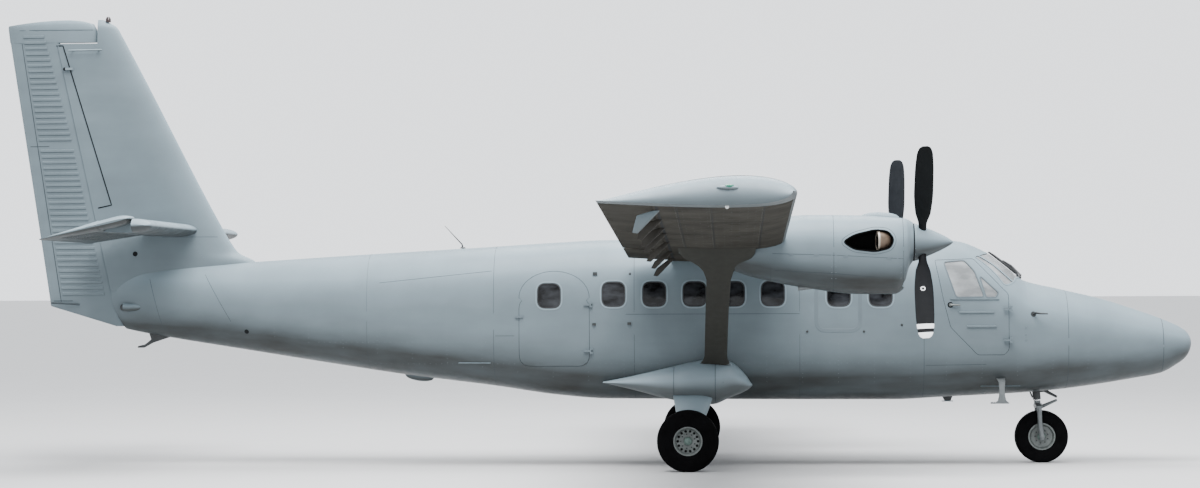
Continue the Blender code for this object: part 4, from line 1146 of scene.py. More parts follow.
    def window(self, centre: tuple[float, float], side: Side, body: str, name: str) -> None:
        """One cabin window: its pane, its seal and its painted rim.

        Args:
            centre: The window's middle in X and Z.
            side: The side of the aeroplane.
            body: The body that it moves with.
            name: The start of its pieces' names.
        """
        def grown(amount: float) -> Outline:
            """The window's outline, larger by an amount across."""
            width, height, radius = self.window_size
            return rounded_box(centre, width + amount, height + amount, radius + amount / 2)
        pane, seal, rim = Pen(), Pen(), Pen()
        width, height, radius = self.window_size
        HULL.patch(pane, rounded_box(centre, width + 0.01, height + 0.01, radius), side.value, -0.020, -0.010)
        HULL.seam(seal, grown(-0.012), side.value, 0.018, -0.002, sink=0.012)
        HULL.seam(rim, grown(0.026), side.value, 0.018, 0.0025)
        # The cabin panes are opaque and near black, painted shade for the cabin behind them.
        pane.piece(name + "_pane", CABIN_GLASS_SHADE, body, "window_glass")
        seal.piece(name + "_seal", RUBBER_SEAL, body, None)
        rim.piece(name + "_rim", FRAME_EDGE, body)

    def cockpit(self) -> None:
        """The cockpit's walls with their screens, and the two crew doors."""
        length = (self.screen_x, self.cockpit_x, 0.045)
        skin = self.wall_between(*length).piece("cockpit_skin", PAINT, replaces=("cockpit_shell",))
        carve(skin, Pen().slot(self.crew_opening).tool())
        for side in Side:
            carve(skin, self.screen_form(side))
        repaint(skin, LINING, hull_inside(HULL))
        for side in Side:
            self.cut_door(side, "cockpit", self.wall_between(*length),
                          shrunk(self.crew_opening, self.door_gap), self.door_lights.values())

    def screen_form(self, side: Side) -> bpy.types.Object:
        """The room of one windscreen, from which the pillar beside the crew door is left out.

        Args:
            side: The side of the aeroplane.

        Returns:
            The room as an object.
        """
        form = Pen().prism([(y * side.value, z) for y, z in soften(self.screen, 0.03)], "X", 4.80,
                           5.90).tool()
        carve(form, Pen().prism(shrunk(self.crew_opening, -self.pillar), "Y", -1.3, 1.3).tool())
        return form

    def pane(self, name: str, form: bpy.types.Object, body: str, nodes: Sequence[str]) -> None:
        """One pane of the cockpit: the part of a thin skin inside a form.

        Args:
            name: The pane's name.
            form: The form.
            body: The body that it moves with.
            nodes: The frame's nodes that it stands for.
        """
        outer, inner = (HULL.rings(self.screen_x, self.cockpit_x, out, 0.045) for out in (-0.006, -0.014))
        carve(Pen().shell(outer, inner).piece(name, CLEAR_GLASS, body, "window_glass", nodes), form,
              "INTERSECT")

    def glazing(self) -> None:
        """The windscreens, the crew doors' panes and their seals."""
        for side in Side:
            way, door = side.value, f"cockpit_door_{side.label}"
            rims, seal = Pen(), Pen()
            for kind, outline in self.door_lights.items():
                self.pane(f"{kind}_light_{side.label}",
                          Pen().prism(outline, "Y", *side.reach(*self.flank)).tool(), door,
                          (f"door_window_{side.label}",) if kind == "side" else ())
                HULL.seam(rims, shrunk(outline, -0.008), way, 0.018, 0.0025, step=0.04)
            self.pane(f"windscreen_pane_{side.label}", self.screen_form(side), ROOT,
                      (f"windscreen_{side.label}",))
            rims.piece(f"side_light_seal_{side.label}", PAINT_BAND, door)
            for outline, width, closed in ((shrunk(soften(self.screen, 0.03), -0.004), 0.020, True),
                                           (self.post, 0.034, False)):
                line = [HULL.on_front(y * way, z) for y, z in subdivided(outline, 0.03, closed)]
                seal.ribbon([(point, self.front_normal(point)) for point in line], width, 0.003, closed,
                            0.020)
            seal.piece(f"windscreen_seal_{side.label}", PAINT, ROOT, None)

    def front_normal(self, point: Vector) -> Vector:
        """The direction that the skin faces at any point of it.

        Args:
            point: The point of the skin.

        Returns:
            The direction, one unit long.
        """
        if point.z > HULL.table.at(point.x)[2] - 0.02:
            return Vector((0.6, 0.0, 0.8))
        return HULL.normal(point.x, point.z, 1 if point.y >= 0 else -1)

    def seams(self) -> None:
        """The hull's panel joints."""
        pen = Pen()
        for x, width in ((self.radome_x, 0.012), (6.180, 0.006), (4.300, 0.006), (2.700, 0.005),
                         (0.560, 0.006), (self.cabin_x, 0.006), (-2.950, 0.004)):
            HULL.hoop(pen, x, -178, 178, width, 0.0006)
        for side in Side:
            for line in (
                ((-2.783, 2.396), (-1.295, 2.545)), ((0.45, 1.975), (2.70, 1.975)),
                ((4.32, 1.30), (5.10, 1.31)), ((-1.25, 1.70), (-1.00, 1.70)),
                ((-5.911, 2.460), (-5.739, 1.840)), ((-5.153, 2.516), (-4.787, 1.895)),
            ):
                HULL.seam(pen, line, side.value, 0.006, 0.0006, closed=False)
        pen.piece("panel_seams", SEAM)

    def door_trim(self) -> None:
        """The forward exit's painted band, the doors' joints and the crew doors' beads."""
        rear, front, top, low = self.exit
        for side in Side:
            way = side.value
            band, gap, beads = Pen(), Pen(), Pen()
            arch = soften(((rear, top), (rear, low), (front, low), (front, top)), 0.14, 8)
            line = [(rear, top), *subdivided(arch[6:-6], 0.04, False), (front, top)]
            HULL.seam(band, line, way, 0.056, 0.0012, closed=False)
            band.piece(f"exit_band_{side.label}", PAINT_BAND)
            HULL.seam(gap, self.cabin_outline(0.0025), way, 0.007, -0.0020, sink=0.02)
            HULL.seam(gap, shrunk(self.crew_opening, 0.0025), way, 0.007, -0.0020, step=0.03, sink=0.02)
            gap.piece(f"door_gap_lines_{side.label}", GAP, ROOT, None)
            for line, width, height in ((((4.755, 1.985), (5.205, 1.985)), 0.026, 0.014),
                                        (((4.850, 1.800), (5.230, 1.800)), 0.026, 0.014),
                                        (((4.640, 2.155), (5.270, 2.150)), 0.012, 0.013)):
                HULL.seam(beads, line, way, width, height, closed=False)
            beads.piece(f"door_beads_{side.label}", PAINT, f"cockpit_door_{side.label}")

    def hinges(self) -> None:
        """The doors' hinge knuckles and their leaves."""
        knuckles = ((True, -0.011, 0.011, -0.085), (False, 0.0113, 0.033, 0.028),
                    (False, -0.033, -0.0113, 0.028))
        for kind, front, heights in (("cabin", -0.020, (1.500, 2.100)), ("cockpit", 5.400, (1.620, 2.030))):
            for side in Side:
                name = f"{kind}_door_{side.label}"
                low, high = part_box(name)
                pin_x, pin_y = front + 0.012, high.y - 0.014 if side is Side.LEFT else low.y + 0.014
                pens = {True: Pen(), False: Pen()}
                for height in heights:
                    for moves, start, end, leaf in knuckles:
                        pens[moves].tube([(pin_x, pin_y, height + start), (pin_x, pin_y, height + end)],
                                         0.012)
                        back, ahead = sorted((pin_x, pin_x + leaf))
                        right, left = side.reach(-0.030, 0.006)
                        pens[moves].box((back, pin_y + right, height + start),
                                        (ahead, pin_y + left, height + end))
                pens[False].piece(f"{kind}_hinge_fixed_{side.label}", PAINT)
                # The moving knuckles and leaves are in the darker band paint, as painted shade under the
                # hinges.
                pens[True].piece(f"{kind}_hinge_moving_{side.label}", PAINT_BAND, name)

    def handles(self) -> None:
        """The cabin doors' latches and the crew doors' handles."""
        for side in Side:
            place, door = HULL.on_side(-0.93, 1.950, side.value, 0.008), f"cockpit_door_{side.label}"
            latch = Pen().box(place - Vector((0.055, 0.010, 0.014)), place + Vector((0.050, 0.010, 0.010)))
            latch.piece(f"cabin_latch_{side.label}", PAINT_BAND, f"cabin_door_{side.label}")
            foot, normal = HULL.spot(4.640, 2.080, side.value)
            plate = Pen().disc((foot, normal), 0.036, 0.004, foot=0.006, rim=0.004, drop=0.001)
            plate.piece(f"crew_door_handle_plate_{side.label}", GAP, door, None)
            boss = Pen().lathe([(0.0, 0.024), (0.018, 0.022), (0.022, 0.0), (0.022, -0.006), (0.0, -0.006)],
                               foot, normal, 24)
            boss.tube([foot + normal * 0.016, foot + normal * 0.024 + Vector((0.05, 0, -0.002)),
                       foot + normal * 0.018 + Vector((0.125, 0, -0.006))], [0.015, 0.013, 0.009])
            boss.piece(f"crew_door_handle_{side.label}", RIM, door, "gear_metal")

    def rivets(self) -> None:
        """Rows of flush rivets along frames and stringers."""
        places = []
        for x in span(-4.2, 6.9, 0.463):
            _, _, top, bottom, _, _ = HULL.table.at(x)
            places += [(x, z) for z in span(bottom + 0.25, top - 0.16, 0.055)]
        for z in (1.335, 1.62, 2.02, 2.46):
            for x in span(-3.6, 4.2, 0.075):
                _, _, top, bottom, _, _ = HULL.table.at(x)
                if bottom + 0.1 < z < top - 0.1:
                    places.append((x, z))
        kept = [(x, z) for x, z in places if not self.in_opening(x, z)]
        Pen().dots([HULL.spot(x, z, side.value) for side in Side for x, z in kept], 0.0035, 0.0008).piece(
            "hull_rivets", RIVET)

    def in_opening(self, x: float, z: float) -> bool:
        """Whether a place on the side is at a window, a door or its frame.

        Args:
            x: The place along the aeroplane.
            z: The height over the floor.

        Returns:
            Whether rivets stay off it.
        """
        reach = 0.22
        if any(abs(x - cx) < reach and abs(z - cz) < reach
               for cx, cz in (*self.window_centres, self.door_window)):
            return True
        return (-1.0 < x < 0.05 and 1.25 < z < 2.6) or (4.38 < x < 5.75 and z > 1.38)


@dataclass
class Wings:
    """The wing, its flaps and ailerons, their brackets, the tip caps and the struts."""

    lead_x: float = 2.478
    chord: float = 1.985
    root_z: float = 2.700
    thick: float = 0.160
    camber: float = 0.025
    tip_y: float = 9.905
    cap_y: float = 9.600
    bay: tuple[float, float] = (0.600, 9.600)
    cut_aft: float = 1.3895
    axis_aft: float = 1.480
    gap: float = 0.008
    flap: tuple[float, float] = (0.940, 5.740)
    aileron: tuple[float, float] = (5.790, 9.565)
    notch: tuple[float, float] = (2.760, 2.900)
    brackets: tuple[tuple[float, float], ...] = (
        (1.300, 1.00), (2.650, 0.95), (4.300, 1.00), (5.765, 0.95), (6.600, 0.95), (7.800, 0.95),
        (9.000, 1.00))
    flap_bracket: tuple[float, float] = (0.1140, 0.78)
    aileron_bracket: tuple[float, float] = (0.0965, 0.30)
    strut_rows: tuple[tuple[float, ...], ...] = (
        (1.600, 0.930, 1.256, 0.46, 0.180), (1.604, 1.020, 1.313, 0.44, 0.160),
        (1.608, 1.080, 1.351, 0.37, 0.120), (1.612, 1.150, 1.395, 0.31, 0.088),
        (1.616, 1.220, 1.440, 0.29, 0.076), (1.640, 2.100, 2.000, 0.29, 0.075),
        (1.665, 2.740, 2.410, 0.30, 0.078), (1.665, 2.900, 2.512, 0.37, 0.082),
        (1.662, 3.000, 2.576, 0.48, 0.088), (1.660, 3.080, 2.627, 0.64, 0.094),
        (1.660, 3.150, 2.672, 0.82, 0.102), (1.655, 3.220, 2.718, 0.90, 0.110),
        (1.650, 3.300, 2.770, 0.94, 0.118), (1.650, 3.440, 2.880, 0.96, 0.120))

    def level(self, share: float) -> float:
        """Half the section's thickness at a share of the chord, as a share of the chord.

        Args:
            share: The share of the chord.

        Returns:
            The half thickness.
        """
        share = min(1.0, max(0.0, share))
        return 5 * self.thick * (0.2969 * math.sqrt(share) - 0.126 * share - 0.3516 * share**2
                                 + 0.2843 * share**3 - 0.1036 * share**4)

    def bow(self, share: float) -> float:
        """The height of the section's middle line at a share of the chord.

        Args:
            share: The share of the chord.

        Returns:
            The height.
        """
        peak = 0.4
        if share < peak:
            return self.camber * (2 * peak * share - share**2) / peak**2
        return self.camber * (1 - 2 * peak + 2 * peak * share - share**2) / (1 - peak) ** 2

    def place(self, aft: float, y: float, height: float) -> Vector:
        """A point from its distance behind the leading edge, its Y and its height over the chord."""
        lift = math.tan(math.radians(3.0)) * abs(y) + (self.chord / 2 - aft) * math.sin(math.radians(2.5))
        return Vector((self.lead_x - aft, y, self.root_z + lift + height))

    def surface(self, aft: float, y: float, upper: bool, out: float = 0.0) -> Vector:
        """A point on the wing's upper or lower surface.

        Args:
            aft: How far behind the leading edge it lies.
            y: Its place along the span.
            upper: Whether it is on the upper surface.
            out: How far it is pushed out.

        Returns:
            The point.
        """
        share = aft / self.chord
        half = self.level(share) * self.chord + out
        return self.place(aft, y, self.bow(share) * self.chord + (half if upper else -half))

    def direction(self, aft: float, y: float, upper: bool) -> Vector:
        """The direction that the upper or lower surface faces.

        Args:
            aft: How far behind the leading edge it lies.
            y: Its place along the span.
            upper: Whether it is on the upper surface.

        Returns:
            The direction, one unit long.
        """
        run = self.surface(aft + 0.004, y, upper) - self.surface(aft - 0.004, y, upper)
        normal = Vector((-run.z, 0.0, run.x)).normalized()
        return normal if (normal.z > 0) == upper else -normal

    def section(self, y: float, start: float, end: float, roll: float = 0.0, count: int = 28) -> list[Vector]:
        """A loop of points round the section between two distances behind the leading edge.

        Args:
            y: The place along the span.
            start: Where the loop begins.
            end: Where it ends.
            roll: How far the upper surface is drawn down to the lower one, from 0 to 1.
            count: How many steps each surface has.

        Returns:
            The points, over the top from the back to the front and back underneath.
        """
        steps = [0.5 - 0.5 * math.cos(math.pi * index / count) for index in range(count + 1)]
        afts = [start + (end - start) * step for step in steps]
        lower = [self.surface(aft, y, False) for aft in afts]
        upper = [self.surface(aft, y, True) for aft in afts]
        upper = [low.lerp(high, 1.0 - roll) for low, high in zip(lower, upper)]
        upper[-1] = upper[-1] + Vector((0, 0, 0.0015))
        return [*reversed(upper), *lower[1:]] if start < 1e-6 else [*reversed(upper), *lower]

    def build(self) -> None:
        """Builds and dresses both wings."""
        for side in Side:
            self.skin(side)
            self.tip(side)
            self.movable(side, "flap", self.flap)
            self.movable(side, "aileron", self.aileron)
            self.strut(side)
            self.lines(side)
            self.covers(side)
        for side in Side:
            self.hangers(side)

    def hinge_line(self, y: float) -> Vector:
        """A point on the flap's and aileron's hinge line."""
        return self.place(self.axis_point, y, self.bow(self.axis_point / self.chord) * self.chord)

    @property
    def nose_radius(self) -> float:
        """The radius of the flap's and aileron's round nose."""
        return self.level(self.axis_aft / self.chord) * self.chord

    @property
    def axis_point(self) -> float:
        """How far behind the leading edge the hinge line lies."""
        return self.cut_aft + self.gap + self.nose_radius

    def spots(self, afts: Iterable[float], ys: Iterable[float], upper: bool) -> list[Spot]:
        """Points on a surface with its directions, for pairs of a distance aft and a place along the span."""
        return [(self.surface(aft, y, upper), self.direction(aft, y, upper)) for aft, y in zip(afts, ys)]

    def skin(self, side: Side) -> None:
        """The fixed wing, with its trailing edge hollowed round the movable surfaces' noses.

        Args:
            side: The side of the aeroplane.
        """
        way, (start, end) = side.value, self.bay
        pen = Pen().loft([self.section(way * y, 0.0, self.chord) for y in span(0.20, start, 0.1)])
        pen.loft([self.section(way * y, 0.0, self.cut_aft + 0.050) for y in (start + 0.0005, end)])
        skin = pen.piece(f"wing_{side.label}_skin", PAINT_WING, replaces=(f"wing_{side.label}",), sharp=30.0)
        path = [self.hinge_line(way * y) for y in (start + 0.002, end - 0.002)]
        carve(skin, Pen().tube(path, self.nose_radius + 0.0075, 48).tool())
        # The underside and the gap walls get the darker finish, as painted shade.
        repaint(skin, WING_UNDER_SHADE, self.underneath)

    def tip(self, side: Side) -> None:
        """The cap at the wing's end, rolled down to a crisp lower edge, and its lights.

        Args:
            side: The side of the aeroplane.
        """
        way = side.value
        rings = []
        for step in range(13):
            y = self.cap_y + 0.0005 + (self.tip_y - self.cap_y) * math.sin(step / 12 * math.pi / 2)
            fall = (y - self.cap_y) / (self.tip_y - self.cap_y)
            roll = 1 - math.sqrt(max(0.0, 1 - fall**2)) * 0.985
            rings.append([self.drawn_back(point, 0.05 * fall**2.2)
                          for point in self.section(way * y, 0.0, self.chord, roll)])
        # The cap's paint darkens towards its bottom as painted shade.
        Pen().loft(rings).piece(f"wing_tip_{side.label}", PAINT_TIP, sharp=40.0)
        top, back = Vector((1.800, way * 9.855, 3.296)), (1, 0, -0.02)
        Pen().lathe([(0.0, 0.100), (0.014, 0.085), (0.024, 0.040), (0.026, -0.010), (0.018, -0.080),
                     (0.0, -0.125)],
                    top, back, 20).piece(f"nav_light_fairing_{side.label}", PAINT_PALE, ROOT)
        Pen().lathe([(0.0, 0.060), (0.013, 0.050), (0.022, 0.022), (0.024, 0.0), (0.018, -0.030),
                     (0.0, -0.045)],
                    top + Vector((0.0, way * 0.004, 0.012)), back, 20).piece(
            f"nav_light_{side.label}", RED_LENS if way > 0 else GREEN_LENS, ROOT, None)
        Pen().lathe([(0.0, 0.030), (0.012, 0.026), (0.019, 0.012), (0.021, -0.006), (0.0, -0.006)],
                    self.surface(0.695, way * 9.800, False), (0, way * 0.3, -1), 20).piece(
            f"tip_light_{side.label}", WHITE_LENS, ROOT, None)

    def underneath(self, _: Vector, normal: Vector) -> bool:
        """Whether a face gets the painted shade of the underside or of a gap's wall."""
        return normal.z < -0.80 or abs(normal.y) > 0.95

    def drawn_back(self, point: Vector, amount: float) -> Vector:
        """A point of the cap, with the leading edge drawn back and the rear left in place."""
        share = min(1.0, max(0.0, (point.x - self.lead_x + self.chord) / self.chord))
        return Vector((point.x - amount * share**3, point.y, point.z))

    def movable(self, side: Side, kind: str, reach: tuple[float, float]) -> None:
        """A flap or an aileron with its round nose, and the flap's bridge across its notch.

        Args:
            side: The side of the aeroplane.
            kind: flap or aileron.
            reach: Where it starts and ends along the span.
        """
        way, name, radius = side.value, f"{kind}_{side.label}", self.nose_radius
        ends = [(reach[0], self.notch[0]), (self.notch[1], reach[1])] if kind == "flap" else [reach]
        afts = span(self.axis_point + 0.01, self.chord, 0.03)
        pen = Pen()
        for pair in ends:
            rings = []
            for y in pair:
                centre = self.hinge_line(way * y)
                arc = [centre + Vector((math.sin(turn), 0.0, math.cos(turn))) * radius
                       for turn in (math.pi * step / 16 for step in range(1, 16))]
                upper, lower = ([self.surface(aft, way * y, top) for aft in afts] for top in (True, False))
                upper[-1] = upper[-1] + Vector((0, 0, 0.0015))
                rings.append([*reversed(upper), *arc, *lower])
            pen.loft(rings)
        if kind == "flap":
            first, last = (self.hinge_line(way * y) + Vector((-0.16, 0, -0.002))
                           for y in (self.notch[0] - 0.01, self.notch[1] + 0.01))
            pen.box((first.x - 0.24, min(first.y, last.y), first.z - 0.004),
                    (first.x + 0.05, max(first.y, last.y), first.z + 0.004))
        skin = pen.piece(name + "_skin", PAINT_WING, name, replaces=(name,), sharp=28.0)
        # The underside and the gap walls get the darker finish, as painted shade.
        repaint(skin, WING_UNDER_SHADE, self.underneath)

    def hangers(self, side: Side) -> None:
        """The tapered brackets that hang under the wing's rear edge, by the flaps and ailerons.

        Args:
            side: The side of the aeroplane.
        """
        # All but the outermost bracket get a dark brown finish, as painted shade under the wing.
        for kind, finish, places in (("pale", PAINT_PALE, self.brackets[-1:]),
                                     ("soiled", PAINT_BRACKET_SHADE, self.brackets[:-1])):
            pen = Pen()
            for y, size in places:
                hinge = self.hinge_line(side.value * y)
                droop, slope = self.aileron_bracket if y > self.aileron[0] else self.flap_bracket
                rear = 0.129 * size
                shape = ((0.115, -0.078), (0.046, -0.084), (0.0, -droop), (-rear, -droop - slope * rear),
                         (-0.174 * size, -0.309 * size), (-0.120 * size, -0.317 * size))
                outline = soften([(hinge.x + x, hinge.z + z) for x, z in shape], 0.008, 2)
                middle = Vector((sum(x for x, _ in outline), sum(z for _, z in outline))) / len(outline)
                rings = []
                for offset, share in ((-0.020, 0.88), (-0.014, 1.0), (0.014, 1.0), (0.020, 0.88)):
                    ring = [middle.lerp(Vector(point), share) for point in outline]
                    rings.append([Vector((p.x, side.value * y + offset, p.y)) for p in ring])
                pen.loft(rings)
            pen.piece(f"surface_brackets_{kind}_{side.label}", finish, sharp=50.0)

    def strut(self, side: Side) -> None:
        """The wing strut, with the fairings at both of its ends.

        Args:
            side: The side of the aeroplane.
        """
        across, name = Vector((0.0, -0.55 * side.value, 0.83)), f"wing_strut_{side.label}"
        rings = [[Vector((x + math.cos(turn) * chord / 2, y * side.value, z))
                  + across * (math.sin(turn) * (0.72 + 0.28 * math.cos(turn)) * thick / 2)
                  for turn in circle(40)]
                 for x, y, z, chord, thick in self.strut_rows]
        # The strut is dark as painted shade under the wing; its foot by the sponson keeps the pale paint.
        skin = Pen().loft(rings).piece(name + "_skin", PAINT_SHADE, replaces=(name,))
        repaint(skin, PAINT_PALE, lambda place, _: abs(place.y) < 1.10)

    def lines(self, side: Side) -> None:
        """Panel joints and rivets on the wing.

        Args:
            side: The side of the aeroplane.
        """
        way, rivets = side.value, []
        for upper in (True, False):
            seams = Pen()
            afts, ys = span(0.05, 1.33, 0.06), span(0.95, 9.58, 0.4)
            for y in (1.9, 3.9, 5.75, 7.65, 9.0, self.cap_y - 0.01):
                seams.ribbon(self.spots(afts, [way * y] * len(afts), upper), 0.005, 0.0006)
            for aft in (0.32, 0.85, 1.20):
                seams.ribbon(self.spots([aft] * len(ys), [way * y for y in ys], upper),
                             0.005 if upper else 0.012, 0.0006)
                rivets += self.spots(*zip(*((aft + 0.02, way * y) for y in span(1.0, 9.5, 0.11))), upper)
            seams.piece(f"wing_seams_{'upper' if upper else 'lower'}_{side.label}", SEAM if upper else GAP)
            for y in span(1.2, 9.4, 0.41):
                rivets += self.spots(*zip(*((aft, way * y) for aft in span(0.40, 1.15, 0.085))), upper)
        Pen().dots(rivets, 0.0035, 0.0008).piece(f"wing_rivets_{side.label}", RIVET)

    def covers(self, side: Side) -> None:
        """The inspection covers, the joint of the leading edge and dark strips under the wing that are
        painted shadows.

        Args:
            side: The side of the aeroplane.
        """
        way = side.value
        covers, edge, shadow_strips = Pen(), Pen(), Pen()
        for spot in self.spots([0.62] * 6, [way * y for y in (1.6, 4.6, 5.5, 6.4, 7.3, 8.2)], False):
            covers.disc(spot, 0.065, 0.0015, 28, rim=0.005, drop=0.0003)
        # The covers get the underside's painted shade too.
        covers.piece(f"wing_covers_{side.label}", WING_UNDER_SHADE)
        for upper, afts in ((False, span(0.31, 0.004, 0.02)), (True, span(0.004, 0.06, 0.02))):
            ys = [way * (9.36 + 0.09 * math.sin(math.pi / 2 * min(1.0, (0.31 - aft) / 0.25))) for aft in afts]
            edge.ribbon(self.spots(afts, ys, upper), 0.010, 0.0010)
        edge.piece(f"edge_joint_{side.label}", GAP, ROOT, None)
        # Painted shadows: a wide dark strip across the chord beside the nacelle, and one along the hinge
        # line.
        afts = span(0.03, self.cut_aft - 0.02, 0.05)
        shadow_strips.ribbon(self.spots(afts, [way * 3.520] * len(afts), False), 0.060, 0.0012)
        ys = [way * y for y in span(self.bay[0] + 0.05, self.bay[1] - 0.05, 0.30)]
        shadow_strips.ribbon(self.spots([self.cut_aft + 0.012] * len(ys), ys, False), 0.036, 0.0008)
        shadow_strips.piece(f"wing_seals_{side.label}", GAP, ROOT, None)


@dataclass
class Nacelle:
    """One engine's cowling with its exhaust, intake, scoop and drain."""

    side: Side
    offset: float = 2.820
    rows: tuple[tuple[float, ...], ...] = (
        (4.036, 0.245, 3.105, 2.625, 2.860, 2.0), (3.985, 0.300, 3.135, 2.545, 2.830, 2.1),
        (3.955, 0.345, 3.148, 2.400, 2.800, 2.2), (3.935, 0.355, 3.152, 2.310, 2.790, 2.25),
        (3.816, 0.400, 3.165, 2.228, 2.760, 2.4),
        (3.410, 0.445, 3.190, 2.228, 2.760, 2.5), (2.795, 0.445, 3.200, 2.296, 2.780, 2.5),
        (2.104, 0.370, 3.120, 2.435, 2.800, 2.4), (1.500, 0.200, 2.960, 2.650, 2.810, 2.2),
        (1.177, 0.060, 2.850, 2.740, 2.800, 2.0))
    lip_xs: tuple[float, ...] = (4.036, 4.024, 4.010, 3.998, 3.985, 3.970, 3.955, 3.935, 3.905, 3.870)
    exhaust: Outline = ((3.162, 2.862), (3.300, 2.950), (3.560, 3.014), (3.725, 2.996),
                        (3.797, 2.890), (3.745, 2.780), (3.560, 2.737), (3.300, 2.768))

    @property
    def hull(self) -> Hull:
        """The cowling's skin."""
        return Hull(Table(self.rows), self.side.value * self.offset, 72)

    def build(self) -> None:
        """Builds and dresses the nacelle."""
        name, hull = f"nacelle_{self.side.label}", self.hull
        rings = [hull.ring(x) for x in self.lip_xs] + hull.rings(3.83, 1.177, 0.0, 0.05)
        skin = Pen().loft(rings).piece(name + "_skin", PAINT_COWL, replaces=(name,))
        self.pockets(skin, hull)
        self.engine(hull)
        self.pipes(hull)
        self.lines(hull)

    @property
    def opening(self) -> Outline:
        """The exhaust's opening with its round corners."""
        return soften(self.exhaust, 0.06)

    def pockets(self, skin: bpy.types.Object, hull: Hull) -> None:
        """Cuts the exhaust pockets and the intake slot, with dark insides of soot and painted shade.

        Args:
            skin: The nacelle's skin.
            hull: The nacelle's form.
        """
        cuts, centre = Pen(), Vector((3.50, 2.875))
        for way in (1, -1):
            cuts.loft([[Vector((centre.x + (x - centre.x) * share, hull.middle_y + way * depth,
                                centre.y + (z - centre.y) * share)) for x, z in self.opening]
                       for depth, share in ((0.60, 1.0), (0.345, 1.0), (0.30, 0.93), (0.24, 0.80),
                                            (0.20, 0.62))])
        cuts.prism(rounded_box((hull.middle_y, 2.410), 0.46, 0.200, 0.075), "X", 3.55, 4.20)
        carve(skin, cuts.tool())
        # The faces inside the cuts are made black: soot in the exhaust pockets, painted shade in the intake
        # slot.
        repaint(skin, SOOT_AND_SHADE, hull_inside(hull, 0.012))

    def engine(self, hull: Hull) -> None:
        """The engine with its exhaust stubs, their lips, their dark mouths of soot and painted shade, and the
        openings' rims.

        Args:
            hull: The nacelle's form.
        """
        middle, label = hull.middle_y, self.side.label
        engine, mouths, lips, rims = Pen(), Pen(), Pen(), Pen()
        engine.lathe([(0.0, 0.0), (0.190, 0.0), (0.230, 0.05), (0.230, 0.42), (0.185, 0.50), (0.185, 1.30),
                      (0.120, 1.392), (0.0, 1.392)], (2.562, middle, 2.860), (1, 0, 0), 48)
        bends = [math.pi / 2 * share for share in span(0, 1, 0.1)]
        for way in (1, -1):
            path = [(3.598 + 0.095 * math.cos(turn), middle + way * (0.170 + 0.155 * math.sin(turn)), 2.877)
                    for turn in bends]
            engine.tube(path, [0.096 + 0.012 * turn for turn in bends], 36)
            end = Vector(path[-1]), (Vector(path[-1]) - Vector(path[-2])).normalized()
            mouths.disc(end, 0.106, 0.002, 36, foot=0.01, rim=0.002)
            lips.lathe([(0.106, 0.012), (0.117, 0.012), (0.119, -0.010), (0.107, -0.010)], *end, 36)
            hull.seam(rims, shrunk(self.opening, 0.002), way, 0.016, 0.0015, step=0.03, sink=0.008)
        core = engine.piece(f"engine_{label}_skin", STUB, ROOT, "engine_metal", (f"engine_{label}",))
        repaint(core, ENGINE, lambda place, _: math.hypot(place.y - middle, place.z - 2.860) < 0.232 and not (
            3.47 < place.x < 3.82 and abs(place.y - middle) > 0.10))
        rims.piece(f"exhaust_rims_{label}", SOOT_AND_SHADE, ROOT, None)
        lips.piece(f"exhaust_lips_{label}", LIP, ROOT, None)
        # The mouths are dark discs on the stubs' ends: soot and painted shade of the pipes' hollows.
        mouths.piece(f"exhaust_mouths_{label}", SOOT_AND_SHADE, ROOT, None)

    def pipes(self, hull: Hull) -> None:
        """The scoop on the cowling and the drain pipe under it.

        Args:
            hull: The nacelle's form.
        """
        scoop, out_y = [], hull.middle_y - 0.08
        for x, height, width in ((3.87, 0.012, 0.050), (3.84, 0.034, 0.070), (3.76, 0.050, 0.080),
                                 (3.62, 0.052, 0.078), (3.50, 0.036, 0.062), (3.42, 0.008, 0.040)):
            foot = hull.table.at(x)[2] - 0.012
            scoop.append([Vector((x, hull.middle_y + width * math.cos(turn),
                                  foot + (height + 0.012) * math.sin(turn)))
                          for turn in circle(28)])
        Pen().loft(scoop).piece(f"cowling_scoop_{self.side.label}", PAINT_COWL)
        drain = Pen().tube([(2.905, out_y, 2.350), (2.850, out_y, 2.335), (2.780, out_y, 2.320),
                            (2.632, out_y, 2.306)],
                           [0.016, 0.026, 0.031, 0.034], 20)
        drain.piece(f"drain_pipe_{self.side.label}", LEG_METAL, ROOT, "gear_metal")

    def lines(self, hull: Hull) -> None:
        """Cowl joints, latches and fasteners.

        Args:
            hull: The nacelle's form.
        """
        label = self.side.label
        seams, latches, fasteners = Pen(), Pen(), []
        for x, low, high in ((3.905, -178, 178), (3.060, -178, 178), (2.300, -150, -30)):
            hull.hoop(seams, x, low, high, 0.006, 0.0006)
        for way in (1, -1):
            for line in (((2.32, 2.725), (3.10, 2.700), (3.90, 2.655)),
                         ((2.35, 2.520), (3.06, 2.480), (3.62, 2.430))):
                hull.seam(seams, line, way, 0.006, 0.0006, closed=False)
            hull.seam(seams, shrunk(self.opening, -0.03), way, 0.006, 0.0008)
            fasteners += [hull.spot(x, z, way) for x in (3.93, 3.875, 3.085, 3.035)
                          for z in span(2.42, 3.05, 0.07)]
            for x in (2.55, 2.85, 3.20, 3.72):
                place = hull.on_side(x, 2.725 - 0.045 * (x - 2.32), way, 0.001)
                latches.box(place - Vector((0.030, 0.002, 0.010)), place + Vector((0.030, 0.002, 0.010)))
        seams.piece(f"cowling_seams_{label}", SEAM)
        Pen().dots(fasteners, 0.005, 0.001).piece(f"cowling_fasteners_{label}", RIVET)
        latches.piece(f"cowling_latches_{label}", PAINT_BAND)


